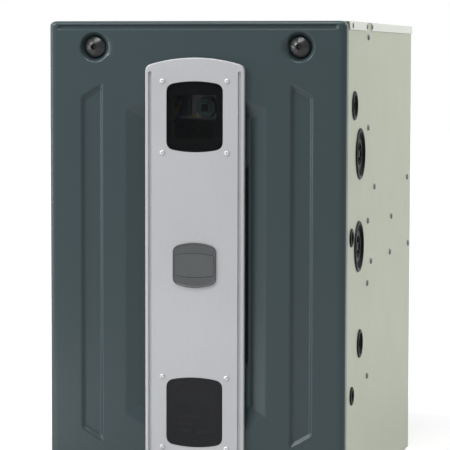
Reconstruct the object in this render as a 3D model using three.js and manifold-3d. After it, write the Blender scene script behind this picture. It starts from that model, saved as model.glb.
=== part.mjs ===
// Upflow condensing gas furnace: a sheet-metal cabinet with a lift-off front door, a burner and
// heat-exchanger section above a blower deck, and a centrifugal blower below it.
// Millimetres, +Z up. The door faces -Y and the cabinet's right side faces +X.

import * as THREE from 'three';
import { mergeVertices } from 'three/addons/utils/BufferGeometryUtils.js';
import { ConvexGeometry } from 'three/addons/geometries/ConvexGeometry.js';
import Module from 'manifold-3d';

const wasm = await Module();
wasm.setup();

// ---------------------------------------------------------------- driving dimensions

const INCH = 25.4;
const FIT = 0.3;                            // gap between pieces that sit on each other
const SHEET = 1.2;                          // cabinet sheet
const BEND = 3;                             // bend size of folded sheet

// Cabinet. Depths (y) run back from the cabinet's front edge, heights (z) up from the floor.
const CABINET_WIDTH = 21 * INCH;
const CABINET_HEIGHT = 34 * INCH;
const CABINET_DEPTH = 740;
const FRONT_RETURN = 20;                    // in-turned front edge of each side
const FRONT_HEM = 9;                        // hem behind that edge
const BASE_RIM = 9;                         // visible rim of the base pan
const TOP_LAP = 15;                         // top panels lap this far down the sides
const RETURN_MARGIN = 46;                   // floor kept round the return-air opening
const SUPPLY_MARGIN = 42;                   // top kept round the supply-air opening
const HEAT_SECTION = 451.6;                 // height of the section above the blower deck
const VESTIBULE_DEPTH = 200;                // front compartment ahead of the heat exchanger
const SUPPLY_FRONT = 236;                   // the supply frame starts this far back

// Front header with the slots that the door latches turn behind.
const HEADER_HEIGHT = 74;
const LATCH_OFFSET = 184;                   // latch axes left and right of the centre line
const LATCH_DROP = 45.4;                    // latch axes below the cabinet's top
const CAM_LENGTH = 34;
const CAM_WIDTH = 10;
const CAM_PLAY = 2.5;

// Knock-out ports in both sides, closed by moulded plugs.
const LARGE_PORT = 92;
const MEDIUM_PORT = 52;
const SMALL_PORT = 33.5;
const PLUG_LIP = 4;                         // plug flange past the hole's edge
const PLUG_PROUD = 3;
const PLUG_DEPTH = 5.5;                     // plug sleeve behind the side's outer face
const PLUG_TO_PIPE = 0.6;                   // room between a plug's sleeve and the vent pipe
const AIR_PORT_DROP = 399.6;                // ports of the heat section, below the cabinet's top
const DRAIN_PORT_DROP = 378.6;

// Gas line, vent and burners, measured down from the cabinet's top.
const GAS_LINE_SETBACK = 61.5;
const GAS_LINE_DROP = 147.6;
const COLLECTOR_DEPTH = 56;
const VENT_STANDOFF = 1;                    // vent pipe past the collector's front
const VENT_DROP = 234.6;
const BURNER_DROP = 88;
const BURNER_COUNT = 4;
const BURNER_PITCH = 90;
const BURNER_BOX_HEIGHT = 84;
const BURNER_BOX_DEPTH = 114;
const EXCHANGER_TUBE = 44;                  // outside diameter of the primary tubes
const VENT_PIPE = 60;
const VENT_PIPE_WALL = 3;
const INDUCER_RADIUS = 66;
const INDUCER_RISE = 47;                    // vent axis above the inducer's axis

// Blower.
const WHEEL_DIAMETER = 254;
const WHEEL_WIDTH = 236;
const BLADE_COUNT = 24;
const BLADE_ANGLE = 0.5;                    // blades lean forwards of the radius
const WHEEL_SIDE_GAP = 20;                  // wheel to each side plate
const CUTOFF_GAP = 12;                      // wheel to the scroll at its cut-off
const SCROLL_GROWTH = 56;                   // the scroll widens this much round to the outlet
const NECK_RISE = 75;                       // deck above the cut-off
const BLOWER_SETBACK = 420;
const INLET_STEP = 20;                      // the inlet is this much smaller in radius than the wheel
const MOTOR_DIAMETER = 140;
const SHAFT_DIAMETER = 12.7;

// Door.
const DOOR_DEPTH = 22;
const DOOR_BOTTOM = 7;
const DOOR_EDGE = 8;                        // rounding of the door's front edges
const PRESS_DEPTH = 9;                      // depth of the pressed pocket and latch dishes
const RIB_DEPTH = 5;
const LINER = 8;
const DISH_RADIUS = 25.5;
const KNOB_RADIUS = 16.4;
const KNOB_HEIGHT = 12;
const STEM_RADIUS = 4.5;
const STRIP_PROUD = 8;
const STRIP_WALL = 1.5;
const STRIP_HALF_WIDTH = 89.3;
const STRIP_TOP_DROP = 63.2;                // arch top of the strip below the door's top
const STRIP_BOTTOM = 73;
const STRIP_ARCH = 14.4;                    // rise of the arched ends
const WINDOW_HALF_WIDTH = 50.6;
const WINDOW_HEIGHT = 123.7;
const WINDOW_ARCH = 6.4;
const UPPER_WINDOW_DROP = 167;              // window centres
const LOWER_WINDOW_HEIGHT = 176.6;
const VIEW_PORT = 82;                       // square port in the door behind each window
const BADGE_HALF_WIDTH = 38.9;
const BADGE_HEIGHT = 80;
const BADGE_ARCH = 8;
const BADGE_PROUD = 2.5;

// ---------------------------------------------------------------- derived places

const HALF_WIDTH = CABINET_WIDTH / 2;
const INNER_HALF = HALF_WIDTH - SHEET;      // inside face of the side panels
const INNER_REAR = CABINET_DEPTH - SHEET;
const WALL_BOTTOM = BASE_RIM + FIT;
const WALL_TOP = CABINET_HEIGHT - SHEET - FIT;
const DECK_TOP = CABINET_HEIGHT - HEAT_SECTION;
const DECK_UNDER = DECK_TOP - SHEET;
const VENT_SETBACK = VESTIBULE_DEPTH - COLLECTOR_DEPTH + VENT_STANDOFF - VENT_PIPE / 2;
const LATCH_HEIGHT = CABINET_HEIGHT - LATCH_DROP;
const GAS_HEIGHT = CABINET_HEIGHT - GAS_LINE_DROP;
const VENT_HEIGHT = CABINET_HEIGHT - VENT_DROP;
const BURNER_HEIGHT = CABINET_HEIGHT - BURNER_DROP;
const INDUCER_HEIGHT = VENT_HEIGHT - INDUCER_RISE;
const SCROLL_START = WHEEL_DIAMETER / 2 + CUTOFF_GAP;
const SCROLL_END = SCROLL_START + SCROLL_GROWTH;
const HOUSING_WIDTH = WHEEL_WIDTH + 2 * WHEEL_SIDE_GAP;
const INLET_DIAMETER = WHEEL_DIAMETER - 2 * INLET_STEP;
const BLOWER_DROP = SCROLL_START + NECK_RISE;
const WHEEL_HEIGHT = DECK_TOP - BLOWER_DROP;
const DOOR_FACE = -DOOR_DEPTH;
const STRIP_FACE = DOOR_FACE - STRIP_PROUD;
const STRIP_TOP = CABINET_HEIGHT - STRIP_TOP_DROP;
const STRIP_MIDDLE = (STRIP_TOP + STRIP_BOTTOM) / 2;
const UPPER_WINDOW_HEIGHT = CABINET_HEIGHT - UPPER_WINDOW_DROP;
const FRONT_MOST = STRIP_FACE - FIT - BADGE_PROUD;
const REAR_MOST = CABINET_DEPTH + FIT + SHEET;

const PORTS = [
  { name: 'gas_port', setback: GAS_LINE_SETBACK, height: GAS_HEIGHT, diameter: MEDIUM_PORT },
  { name: 'vent_port', setback: 122, height: VENT_HEIGHT, diameter: LARGE_PORT },
  { name: 'air_port', setback: 111.5, height: CABINET_HEIGHT - AIR_PORT_DROP, diameter: LARGE_PORT },
  { name: 'drain_port', setback: 35, height: CABINET_HEIGHT - DRAIN_PORT_DROP, diameter: SMALL_PORT },
  { name: 'power_port', setback: 126.5, height: 288, diameter: MEDIUM_PORT },
  { name: 'control_port', setback: 45.5, height: 204, diameter: SMALL_PORT },
];
const SIDES = [{ side: 'right', sign: 1 }, { side: 'left', sign: -1 }];

// ---------------------------------------------------------------- solids

// A closed geometry as a solid: vertices merged, empty triangles dropped, faces turned outwards.
function solid(geometry) {
  const bare = geometry.index ? geometry.toNonIndexed() : geometry.clone();
  bare.deleteAttribute('normal');
  bare.deleteAttribute('uv');
  const merged = mergeVertices(bare, 1e-4);
  const index = merged.index.array;
  const faces = [];
  for (let i = 0; i < index.length; i += 3) {
    const [a, b, c] = [index[i], index[i + 1], index[i + 2]];
    if (a !== b && b !== c && c !== a) faces.push([a, b, c]);
  }
  const build = (list) => new wasm.Manifold(new wasm.Mesh({
    numProp: 3,
    vertProperties: new Float32Array(merged.attributes.position.array),
    triVerts: new Uint32Array(list.flat()),
  }));
  const first = build(faces);
  return first.volume() > 0 ? first : build(faces.map(([a, b, c]) => [a, c, b]));
}

const join = (...solids) => solids.reduce((whole, piece) => whole.add(piece));
const cut = (body, ...tools) => tools.reduce((rest, tool) => rest.subtract(tool), body);

function toGeometry(body) {
  const mesh = body.getMesh();
  const geometry = new THREE.BufferGeometry();
  const positions = new Float32Array(mesh.numVert * 3);
  for (let i = 0; i < mesh.numVert; i += 1) {
    for (let k = 0; k < 3; k += 1) positions[3 * i + k] = mesh.vertProperties[mesh.numProp * i + k];
  }
  geometry.setAttribute('position', new THREE.BufferAttribute(positions, 3));
  geometry.setIndex(new THREE.BufferAttribute(new Uint32Array(mesh.triVerts), 1));
  geometry.computeVertexNormals();
  return geometry;
}

// ---------------------------------------------------------------- outlines

// A polygon whose corners are rounded by curves that start `round` before each corner.
function outline(points, round = 0) {
  const corners = points.map(([x, y]) => new THREE.Vector2(x, y));
  if (round === 0) return new THREE.Shape(corners);
  const shape = new THREE.Shape();
  corners.forEach((corner, i) => {
    const last = corners[(i + corners.length - 1) % corners.length];
    const next = corners[(i + 1) % corners.length];
    const reach = Math.min(round, corner.distanceTo(last) / 2, corner.distanceTo(next) / 2);
    const start = corner.clone().add(last.clone().sub(corner).setLength(reach));
    const end = corner.clone().add(next.clone().sub(corner).setLength(reach));
    if (i === 0) shape.moveTo(start.x, start.y);
    else shape.lineTo(start.x, start.y);
    shape.quadraticCurveTo(corner.x, corner.y, end.x, end.y);
  });
  shape.closePath();
  return shape;
}

const rectangle = (x0, x1, y0, y1, round = 0) => outline([[x0, y0], [x1, y0], [x1, y1], [x0, y1]], round);

function disc(x, y, radius) {
  const shape = new THREE.Shape();
  shape.absarc(x, y, radius, 0, 2 * Math.PI);
  return shape;
}

function pierced(shape, ...holes) {
  shape.holes.push(...holes);
  return shape;
}

// A plate outline with straight sides and bowed top and bottom edges, centred on (0, middle).
function bowedPlate(halfWidth, bottom, top, bow, round) {
  const edge = (height, rise) => [-0.5, 0, 0.5].map((t) => [2 * t * halfWidth * 0.5, height + rise * (1 - t * t)]);
  const upper = edge(top - bow, bow).reverse();
  const lower = edge(bottom + bow, -bow);
  return outline([
    [-halfWidth, bottom + bow], ...lower, [halfWidth, bottom + bow],
    [halfWidth, top - bow], ...upper, [-halfWidth, top - bow],
  ], round);
}

// The outline of a folded sheet: an open centre line with rounded bends, thickened both ways.
function foldedSheet(points, thickness = SHEET, bend = BEND) {
  const path = new THREE.Path();
  const corners = points.map(([x, y]) => new THREE.Vector2(x, y));
  path.moveTo(corners[0].x, corners[0].y);
  for (let i = 1; i < corners.length - 1; i += 1) {
    const corner = corners[i];
    const reach = (other) => Math.min(bend, corner.distanceTo(other) / 2);
    const start = corner.clone().add(corners[i - 1].clone().sub(corner).setLength(reach(corners[i - 1])));
    const end = corner.clone().add(corners[i + 1].clone().sub(corner).setLength(reach(corners[i + 1])));
    path.lineTo(start.x, start.y);
    path.quadraticCurveTo(corner.x, corner.y, end.x, end.y);
  }
  path.lineTo(corners.at(-1).x, corners.at(-1).y);
  const line = path.getPoints(3).filter((p, i, all) => i === 0 || p.distanceTo(all[i - 1]) > 1e-6);
  const offset = (sign) => line.map((point, i) => {
    const before = point.clone().sub(line[Math.max(i - 1, 0)]).normalize();
    const after = line[Math.min(i + 1, line.length - 1)].clone().sub(point).normalize();
    const ahead = before.lengthSq() === 0 ? after : before.clone().add(after.lengthSq() === 0 ? before : after);
    ahead.normalize();
    const straight = before.lengthSq() === 0 || after.lengthSq() === 0 ? 1 : ahead.dot(before);
    const reach = sign * thickness / 2 / straight;
    return [point.x - ahead.y * reach, point.y + ahead.x * reach];
  });
  return outline([...offset(1), ...offset(-1).reverse()]);
}

// ---------------------------------------------------------------- shaping

// Extruded outlines. A plan outline is drawn in X and Y, a front one in X and Z, a side one in Y and Z.
function extruded(shape, depth, curveSegments) {
  return new THREE.ExtrudeGeometry(shape, { depth, bevelEnabled: false, curveSegments });
}

function plan(shape, z0, z1, curveSegments = 2) {
  return solid(extruded(shape, z1 - z0, curveSegments).translate(0, 0, z0));
}

function front(shape, y0, y1, curveSegments = 2) {
  return solid(extruded(shape, y1 - y0, curveSegments).rotateX(Math.PI / 2).translate(0, y1, 0));
}

const SIDE_VIEW = new THREE.Matrix4().makeBasis(
  new THREE.Vector3(0, 1, 0),
  new THREE.Vector3(0, 0, 1),
  new THREE.Vector3(1, 0, 0),
);

function side(shape, x0, x1, curveSegments = 2) {
  return solid(extruded(shape, x1 - x0, curveSegments).applyMatrix4(SIDE_VIEW).translate(x0, 0, 0));
}

function block(x0, x1, y0, y1, z0, z1) {
  const geometry = new THREE.BoxGeometry(x1 - x0, y1 - y0, z1 - z0);
  return solid(geometry.translate((x0 + x1) / 2, (y0 + y1) / 2, (z0 + z1) / 2));
}

// A turned piece: profile rows are [radius, place along the axis].
function turned(profile, axis, segments = 12, x = 0, y = 0, z = 0) {
  const geometry = new THREE.LatheGeometry(profile.map(([r, h]) => new THREE.Vector2(r, h)), segments);
  if (axis === 'x') geometry.rotateZ(-Math.PI / 2);
  if (axis === 'z') geometry.rotateX(Math.PI / 2);
  return solid(geometry.translate(x, y, z));
}

const rod = (radius, from, to, axis, segments = 12, x = 0, y = 0, z = 0) => turned(
  [[0, from], [radius, from], [radius, to], [0, to]],
  axis,
  segments,
  x,
  y,
  z,
);

const ring = (inner, outer, from, to, axis, segments = 12, x = 0, y = 0, z = 0) => turned(
  [[inner, from], [outer, from], [outer, to], [inner, to], [inner, from]],
  axis,
  segments,
  x,
  y,
  z,
);

// A path of straight lengths and bends that steps only at the bends, so each length is one step.
class StepPath extends THREE.Curve {
  constructor(points, tangents) {
    super();
    this.points = points;
    this.tangents = tangents;
  }

  at(list, t) {
    return list[Math.round(t * (list.length - 1))].clone();
  }

  getPoint(t) {
    return this.at(this.points, t);
  }

  getPointAt(t) {
    return this.at(this.points, t);
  }

  getTangentAt(t) {
    return this.at(this.tangents, t);
  }
}

// A pipe run through the given corners, with bends that start `bend` before each corner.
function pipeRun(corners, bend, bendSteps) {
  const nodes = corners.map((corner) => new THREE.Vector3(...corner));
  const towards = (a, b) => b.clone().sub(a).normalize();
  const points = [nodes[0]];
  const tangents = [towards(nodes[0], nodes[1])];
  for (let i = 1; i < nodes.length - 1; i += 1) {
    const before = towards(nodes[i - 1], nodes[i]);
    const after = towards(nodes[i], nodes[i + 1]);
    for (let k = 0; k <= bendSteps; k += 1) {
      const angle = k / bendSteps * Math.PI / 2;
      const point = nodes[i].clone();
      point.addScaledVector(before, bend * (Math.sin(angle) - 1));
      point.addScaledVector(after, bend * (1 - Math.cos(angle)));
      points.push(point);
      tangents.push(before.clone().multiplyScalar(Math.cos(angle)).addScaledVector(after, Math.sin(angle)));
    }
  }
  points.push(nodes.at(-1));
  tangents.push(towards(nodes.at(-2), nodes.at(-1)));
  const kept = points.map((p, i) => i === 0 || p.distanceTo(points[i - 1]) > 0.5);
  return new StepPath(points.filter((p, i) => kept[i]), tangents.filter((p, i) => kept[i]));
}

function tube(path, radius, wall, steps, halfSides = 4) {
  const section = disc(0, 0, radius);
  if (wall > 0) section.holes.push(disc(0, 0, radius - wall));
  return solid(new THREE.ExtrudeGeometry(section, { extrudePath: path, steps, curveSegments: halfSides }));
}

// A pipe of straight lengths and bends.
const pipe = (path, radius, wall, halfSides = 4) => tube(path, radius, wall, path.points.length - 1, halfSides);

// A pressed recess: its outline on the outer face and a smaller one on its floor, at two depths.
function recess(rim, rimDepth, floor, floorDepth) {
  const ends = (points, y) => points.map(([x, z]) => new THREE.Vector3(x, y, z));
  return solid(new ConvexGeometry([...ends(rim, rimDepth), ...ends(floor, floorDepth)]));
}

// ---------------------------------------------------------------- materials and scene graph

function material(color, roughness, metalness) {
  return new THREE.MeshStandardMaterial({ color, roughness, metalness });
}

const FINISH = {
  cabinet: material(0xb5bcad, 0.45, 0.1),
  galvanised: material(0xb9bdbf, 0.4, 0.9),
  door: material(0x46545a, 0.45, 0.2),
  strip: material(0xc2c3c6, 0.35, 0.6),
  window: material(0x15181b, 0.1, 0),
  blackPlastic: material(0x1b1c1e, 0.4, 0),
  badge: material(0x58595b, 0.4, 0.2),
  aluminised: material(0xa3a6a6, 0.45, 0.9),
  castMetal: material(0x8f9397, 0.5, 0.8),
  steel: material(0x8c9094, 0.35, 0.9),
  copper: material(0xb87333, 0.4, 0.9),
  board: material(0x2f6b3c, 0.6, 0),
  liner: material(0xa7a9a8, 0.9, 0),
  whitePlastic: material(0xd8d8d2, 0.5, 0),
  ceramic: material(0xe6e2d8, 0.7, 0),
  motor: material(0x3a3d41, 0.5, 0.4),
  rubber: material(0x17181a, 0.7, 0),
  polymer: material(0x2b2e31, 0.55, 0),
};

const furnace = new THREE.Group();
furnace.position.y = -(FRONT_MOST + REAR_MOST) / 2;

function addPart(group, name, body, finish) {
  const mesh = new THREE.Mesh(toGeometry(body), finish);
  mesh.name = name;
  group.add(mesh);
}

function subassembly(x = 0, y = 0, z = 0) {
  const group = new THREE.Group();
  group.position.set(x, y, z);
  furnace.add(group);
  return group;
}

// ---------------------------------------------------------------- cabinet

const PORT_CLEARANCE = 0.4;
const portHole = ({ diameter }) => diameter / 2 - PLUG_LIP;

// Left side, back and right side in one folded sheet, with in-turned and hemmed front edges.
function cabinetWrapper() {
  const wall = HALF_WIDTH - SHEET / 2;
  const rear = CABINET_DEPTH - SHEET / 2;
  const lip = HALF_WIDTH - FRONT_RETURN;
  const folded = plan(foldedSheet([
    [-lip, FRONT_HEM], [-lip, SHEET / 2], [-wall, SHEET / 2], [-wall, rear],
    [wall, rear], [wall, SHEET / 2], [lip, SHEET / 2], [lip, FRONT_HEM],
  ]), WALL_BOTTOM, WALL_TOP);
  const holes = SIDES.flatMap(({ sign }) => PORTS.map((port) => rod(
    portHole(port), -20, 20, 'x', port.diameter > MEDIUM_PORT ? 14 : 10,
    sign * HALF_WIDTH, port.setback, port.height,
  )));
  const notch = 6;
  const corners = SIDES.map(({ sign }) => block(
    Math.min(sign * (HALF_WIDTH - notch), sign * (HALF_WIDTH + 1)),
    Math.max(sign * (HALF_WIDTH - notch), sign * (HALF_WIDTH + 1)),
    -1, notch, CABINET_HEIGHT - TOP_LAP, CABINET_HEIGHT,
  ));
  return cut(folded, ...holes, ...corners);
}

// A tray that the wrapper stands on, with upturned lips inside it and round the return opening.
function basePan() {
  const x = HALF_WIDTH - RETURN_MARGIN;
  const [y0, y1] = [RETURN_MARGIN + 20, CABINET_DEPTH - RETURN_MARGIN];
  const outer = () => rectangle(-HALF_WIDTH, HALF_WIDTH, 0, CABINET_DEPTH, BEND);
  const inner = () => rectangle(-HALF_WIDTH + SHEET, HALF_WIDTH - SHEET, SHEET, CABINET_DEPTH - SHEET, BEND - 1);
  const opening = (grow) => rectangle(-x - grow, x + grow, y0 - grow, y1 + grow, 12);
  const floor = plan(pierced(outer(), opening(0)), 0, SHEET);
  const rim = plan(pierced(outer(), inner()), 0, BASE_RIM);
  const collar = plan(pierced(opening(SHEET), opening(0)), 0, 16);
  const lipHeight = 28;
  const lip = INNER_HALF - FIT;
  const lipRear = INNER_REAR - FIT;
  const lipFront = FRONT_HEM + 4;
  const lips = [
    block(lip - SHEET, lip, lipFront, lipRear - BEND * 2, 0, lipHeight),
    block(-lip, -lip + SHEET, lipFront, lipRear - BEND * 2, 0, lipHeight),
    block(-lip + BEND * 2, lip - BEND * 2, lipRear - SHEET, lipRear, 0, lipHeight),
  ];
  const sill = HALF_WIDTH - FRONT_RETURN - 5;
  const frontLip = block(-sill, sill, SHEET + FIT, 2 * SHEET + FIT, 0, lipHeight);
  return join(floor, rim, collar, frontLip, ...lips);
}

// One lap flange down the outside of a side panel, rounded at its lower corners.
function lapFlange(sign, y0, y1) {
  const [near, far] = [HALF_WIDTH + FIT, HALF_WIDTH + FIT + SHEET];
  const shape = rectangle(y0, y1, CABINET_HEIGHT - TOP_LAP, CABINET_HEIGHT + TOP_LAP, 6);
  const flange = side(shape, sign > 0 ? near : -far, sign > 0 ? far : -near, 3);
  return cut(flange, block(-2 * HALF_WIDTH, 2 * HALF_WIDTH, y0 - 1, y1 + 1, CABINET_HEIGHT, 2 * CABINET_HEIGHT));
}

const VENT_EXIT_X = HALF_WIDTH - PLUG_DEPTH - PLUG_TO_PIPE - VENT_PIPE / 2;
const AIR_INLET_X = -HALF_WIDTH + 70;
const AIR_INLET_RADIUS = 38;

// The front top panel, with the header flange down its front and the latch slots in it.
function frontTopPanel() {
  const lapStart = 6;
  const lapEnd = VESTIBULE_DEPTH - 12;
  const rear = VESTIBULE_DEPTH - FIT;
  const top = CABINET_HEIGHT;
  const reach = HALF_WIDTH + FIT + SHEET;
  const sheet = plan(outline([
    [-HALF_WIDTH + 6, 0], [HALF_WIDTH - 6, 0], [HALF_WIDTH - 6, lapStart], [reach, lapStart],
    [reach, lapEnd], [HALF_WIDTH, lapEnd], [HALF_WIDTH, rear], [-HALF_WIDTH, rear],
    [-HALF_WIDTH, lapEnd], [-reach, lapEnd], [-reach, lapStart], [-HALF_WIDTH + 6, lapStart],
  ]), top - SHEET, top);
  const half = HALF_WIDTH - FRONT_RETURN - 3;
  const header = front(rectangle(-half, half, top - HEADER_HEIGHT, top), 0, SHEET);
  const stiffener = block(-half, half, 0, 14, top - HEADER_HEIGHT, top - HEADER_HEIGHT + SHEET);
  const slots = [-1, 1].map((sign) => {
    const [w, h] = [CAM_LENGTH / 2 + CAM_PLAY, CAM_WIDTH / 2 + CAM_PLAY];
    const x = sign * LATCH_OFFSET;
    return front(rectangle(x - w, x + w, LATCH_HEIGHT - h, LATCH_HEIGHT + h, h * 0.9), -5, 5, 3);
  });
  const ventHole = rod(VENT_PIPE / 2 + 1, top - 10, top + 10, 'z', 16, VENT_EXIT_X, VENT_SETBACK, 0);
  const airHole = rod(AIR_INLET_RADIUS, top - 30, top + 10, 'z', 16, AIR_INLET_X, VENT_SETBACK, 0);
  const airCollar = rod(AIR_INLET_RADIUS + SHEET, top - 14, top, 'z', 16, AIR_INLET_X, VENT_SETBACK, 0);
  const laps = [-1, 1].map((sign) => lapFlange(sign, lapStart, lapEnd));
  return cut(join(sheet, header, stiffener, airCollar, ...laps), ventHole, airHole, ...slots);
}

// The frame round the supply-air outlet, lapped over the sides and the back.
function supplyFlange() {
  const top = CABINET_HEIGHT;
  const reach = HALF_WIDTH + FIT + SHEET;
  const x = HALF_WIDTH - SUPPLY_MARGIN;
  const [y0, y1] = [SUPPLY_FRONT + SUPPLY_MARGIN - 8, CABINET_DEPTH - SUPPLY_MARGIN];
  const opening = (grow) => rectangle(-x - grow, x + grow, y0 - grow, y1 + grow, 8);
  const sheet = plan(pierced(rectangle(-reach, reach, SUPPLY_FRONT, REAR_MOST), opening(0)), top - SHEET, top);
  const collar = plan(pierced(opening(SHEET), opening(0)), top - 22, top);
  const laps = [-1, 1].map((sign) => lapFlange(sign, SUPPLY_FRONT, REAR_MOST));
  const rearLap = block(-reach, reach, CABINET_DEPTH + FIT, REAR_MOST, top - TOP_LAP, top);
  return join(sheet, collar, rearLap, ...laps);
}

const burnerPlaces = Array.from({ length: BURNER_COUNT }, (_, i) => (i - (BURNER_COUNT - 1) / 2) * BURNER_PITCH);
const COIL_STUB_RADIUS = 9;
const COIL_RISE = 30;                       // air space between the deck and the coil
const COIL_BOTTOM = DECK_TOP + COIL_RISE;
const COIL_TOP = COIL_BOTTOM + 96;
const COIL_MIDDLE = (COIL_BOTTOM + COIL_TOP) / 2;
const COIL_HALF_WIDTH = 190;
const stubPlaces = [-2, -1, 0, 1, 2].map((i) => i * 60);

// The wall between the front compartment and the heat exchanger, flanged to the sides and the top.
function vestibulePanel() {
  const face = VESTIBULE_DEPTH;
  const half = INNER_HALF - FIT;
  const bottom = DECK_TOP + FIT;
  const top = CABINET_HEIGHT;
  const wall = front(rectangle(-half, half, bottom, top), face, face + SHEET);
  const bridge = plan(rectangle(-HALF_WIDTH, HALF_WIDTH, face, SUPPLY_FRONT - FIT), top - SHEET, top);
  const sideFlanges = [-1, 1].map((sign) => block(
    Math.min(sign * half, sign * (half - SHEET)),
    Math.max(sign * half, sign * (half - SHEET)),
    face, face + 18, bottom, top - SHEET,
  ));
  const foot = block(-half, half, face, face + 18, bottom, bottom + SHEET);
  const ports = burnerPlaces.map((x) => rod(EXCHANGER_TUBE / 2 - 4, face - 9, face + 9, 'y', 10, x, 0, BURNER_HEIGHT));
  const stubs = stubPlaces.map((x) => rod(COIL_STUB_RADIUS + 1, face - 9, face + 9, 'y', 8, x, 0, COIL_MIDDLE));
  return cut(join(wall, bridge, foot, ...sideFlanges), ...ports, ...stubs);
}

const RAIL_DROP = 20;                       // depth of the blower rails under the deck
const RAIL_X = HOUSING_WIDTH / 2 + 22;
const NECK_FRONT = BLOWER_SETBACK - SCROLL_START * 0.18;
const NECK_REAR = BLOWER_SETBACK + SCROLL_END;

// The shelf between the blower and the heat exchanger, with two rails folded under it.
function blowerDeck() {
  const half = INNER_HALF - FIT;
  const [y0, y1] = [FRONT_HEM + 5, INNER_REAR - FIT];
  const sheet = plan(outline([
    [-half, y0], [half, y0], [half, y1 - BEND * 2], [half - BEND * 2, y1], [BEND * 2 - half, y1], [-half, y1 - BEND * 2],
  ]), DECK_UNDER, DECK_TOP);
  const flanges = [-1, 1].map((sign) => block(
    Math.min(sign * half, sign * (half - SHEET)),
    Math.max(sign * half, sign * (half - SHEET)),
    VESTIBULE_DEPTH + 22, y1 - BEND * 2, DECK_UNDER, DECK_TOP + 24,
  ));
  const frontFlange = block(-half, half, y0, y0 + SHEET, DECK_TOP - 34, DECK_TOP);
  const rails = [-1, 1].map((sign) => {
    const x = (offset) => sign * (RAIL_X + offset);
    const strip = front(foldedSheet([
      [x(0), DECK_UNDER + 0.3], [x(0), DECK_UNDER - RAIL_DROP], [x(-16), DECK_UNDER - RAIL_DROP],
    ], SHEET, 2), NECK_FRONT - 40, NECK_REAR + 40);
    return strip;
  });
  const neck = HOUSING_WIDTH / 2 + 3;
  const outlet = plan(rectangle(-neck, neck, NECK_FRONT - 4, NECK_REAR + 4, 6), DECK_TOP - 10, DECK_TOP + 10);
  return cut(join(sheet, frontFlange, ...flanges, ...rails), outlet);
}

// A moulded plug: a dished cap whose lip covers the hole's edge, on a short sleeve through it.
function portPlug(port, sign) {
  const lip = port.diameter / 2;
  const sleeve = portHole(port) - PORT_CLEARANCE;
  const dish = sleeve - 3.5;
  const profile = [
    [0, -PLUG_DEPTH / 2], [sleeve, -PLUG_DEPTH], [sleeve, FIT], [lip, FIT], [lip - 2, PLUG_PROUD], [dish, PLUG_PROUD - 0.4],
    [dish - 3, -0.8], [0, -0.8],
  ];
  const outward = profile.map(([r, h]) => [r, sign * h]);
  return turned(outward, 'x', port.diameter > MEDIUM_PORT ? 14 : 10);
}

function addCabinet() {
  const cabinet = subassembly();
  addPart(cabinet, 'cabinet_wrapper', cabinetWrapper(), FINISH.cabinet);
  addPart(cabinet, 'base_pan', basePan(), FINISH.cabinet);
  addPart(cabinet, 'front_top_panel', frontTopPanel(), FINISH.cabinet);
  addPart(cabinet, 'supply_flange', supplyFlange(), FINISH.cabinet);
  addPart(cabinet, 'vestibule_panel', vestibulePanel(), FINISH.galvanised);
  addPart(cabinet, 'blower_deck', blowerDeck(), FINISH.galvanised);
  for (const { side: name, sign } of SIDES) {
    for (const port of PORTS) {
      const place = subassembly(sign * HALF_WIDTH, port.setback, port.height);
      addPart(place, `${name}_${port.name}_plug`, portPlug(port, sign), FINISH.blackPlastic);
    }
  }
}

// ---------------------------------------------------------------- heat exchanger

const EXCHANGER_REAR = INNER_REAR - 70;
const RUN_DROP = (BURNER_HEIGHT - COIL_TOP - EXCHANGER_TUBE / 2 - 34) / 2;
const EXCHANGER_FRONT_TURN = VESTIBULE_DEPTH + 60;
const HEADER_DEPTH = 34;

// A primary tube: back from the burner, round, forward, round and back again above the coil.
function exchangerTube() {
  const path = pipeRun([
    [0, VESTIBULE_DEPTH + SHEET + FIT, 0],
    [0, EXCHANGER_REAR, 0],
    [0, EXCHANGER_REAR, -RUN_DROP],
    [0, EXCHANGER_FRONT_TURN, -RUN_DROP],
    [0, EXCHANGER_FRONT_TURN, -2 * RUN_DROP],
    [0, EXCHANGER_REAR - 24, -2 * RUN_DROP],
  ], RUN_DROP / 2, 2);
  return pipe(path, EXCHANGER_TUBE / 2, 2, 4);
}

// The box at the rear where the primary tubes empty into the secondary coil.
function rearHeader() {
  const top = BURNER_HEIGHT - 2 * RUN_DROP + EXCHANGER_TUBE / 2 + 12;
  const front0 = EXCHANGER_REAR - 24 + FIT;
  const shell = (inset) => rectangle(
    front0 + inset, front0 + HEADER_DEPTH - inset, COIL_BOTTOM + inset, top - inset, 10 - 2 * inset,
  );
  const half = COIL_HALF_WIDTH;
  const body = cut(side(shell(0), -half, half), side(shell(SHEET), -half + SHEET, half - SHEET));
  const mouths = burnerPlaces.map((x) => rod(
    EXCHANGER_TUBE / 2 - 3, front0 - 5, front0 + 5, 'y', 10, x, 0, BURNER_HEIGHT - 2 * RUN_DROP,
  ));
  return cut(body, ...mouths);
}

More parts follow.
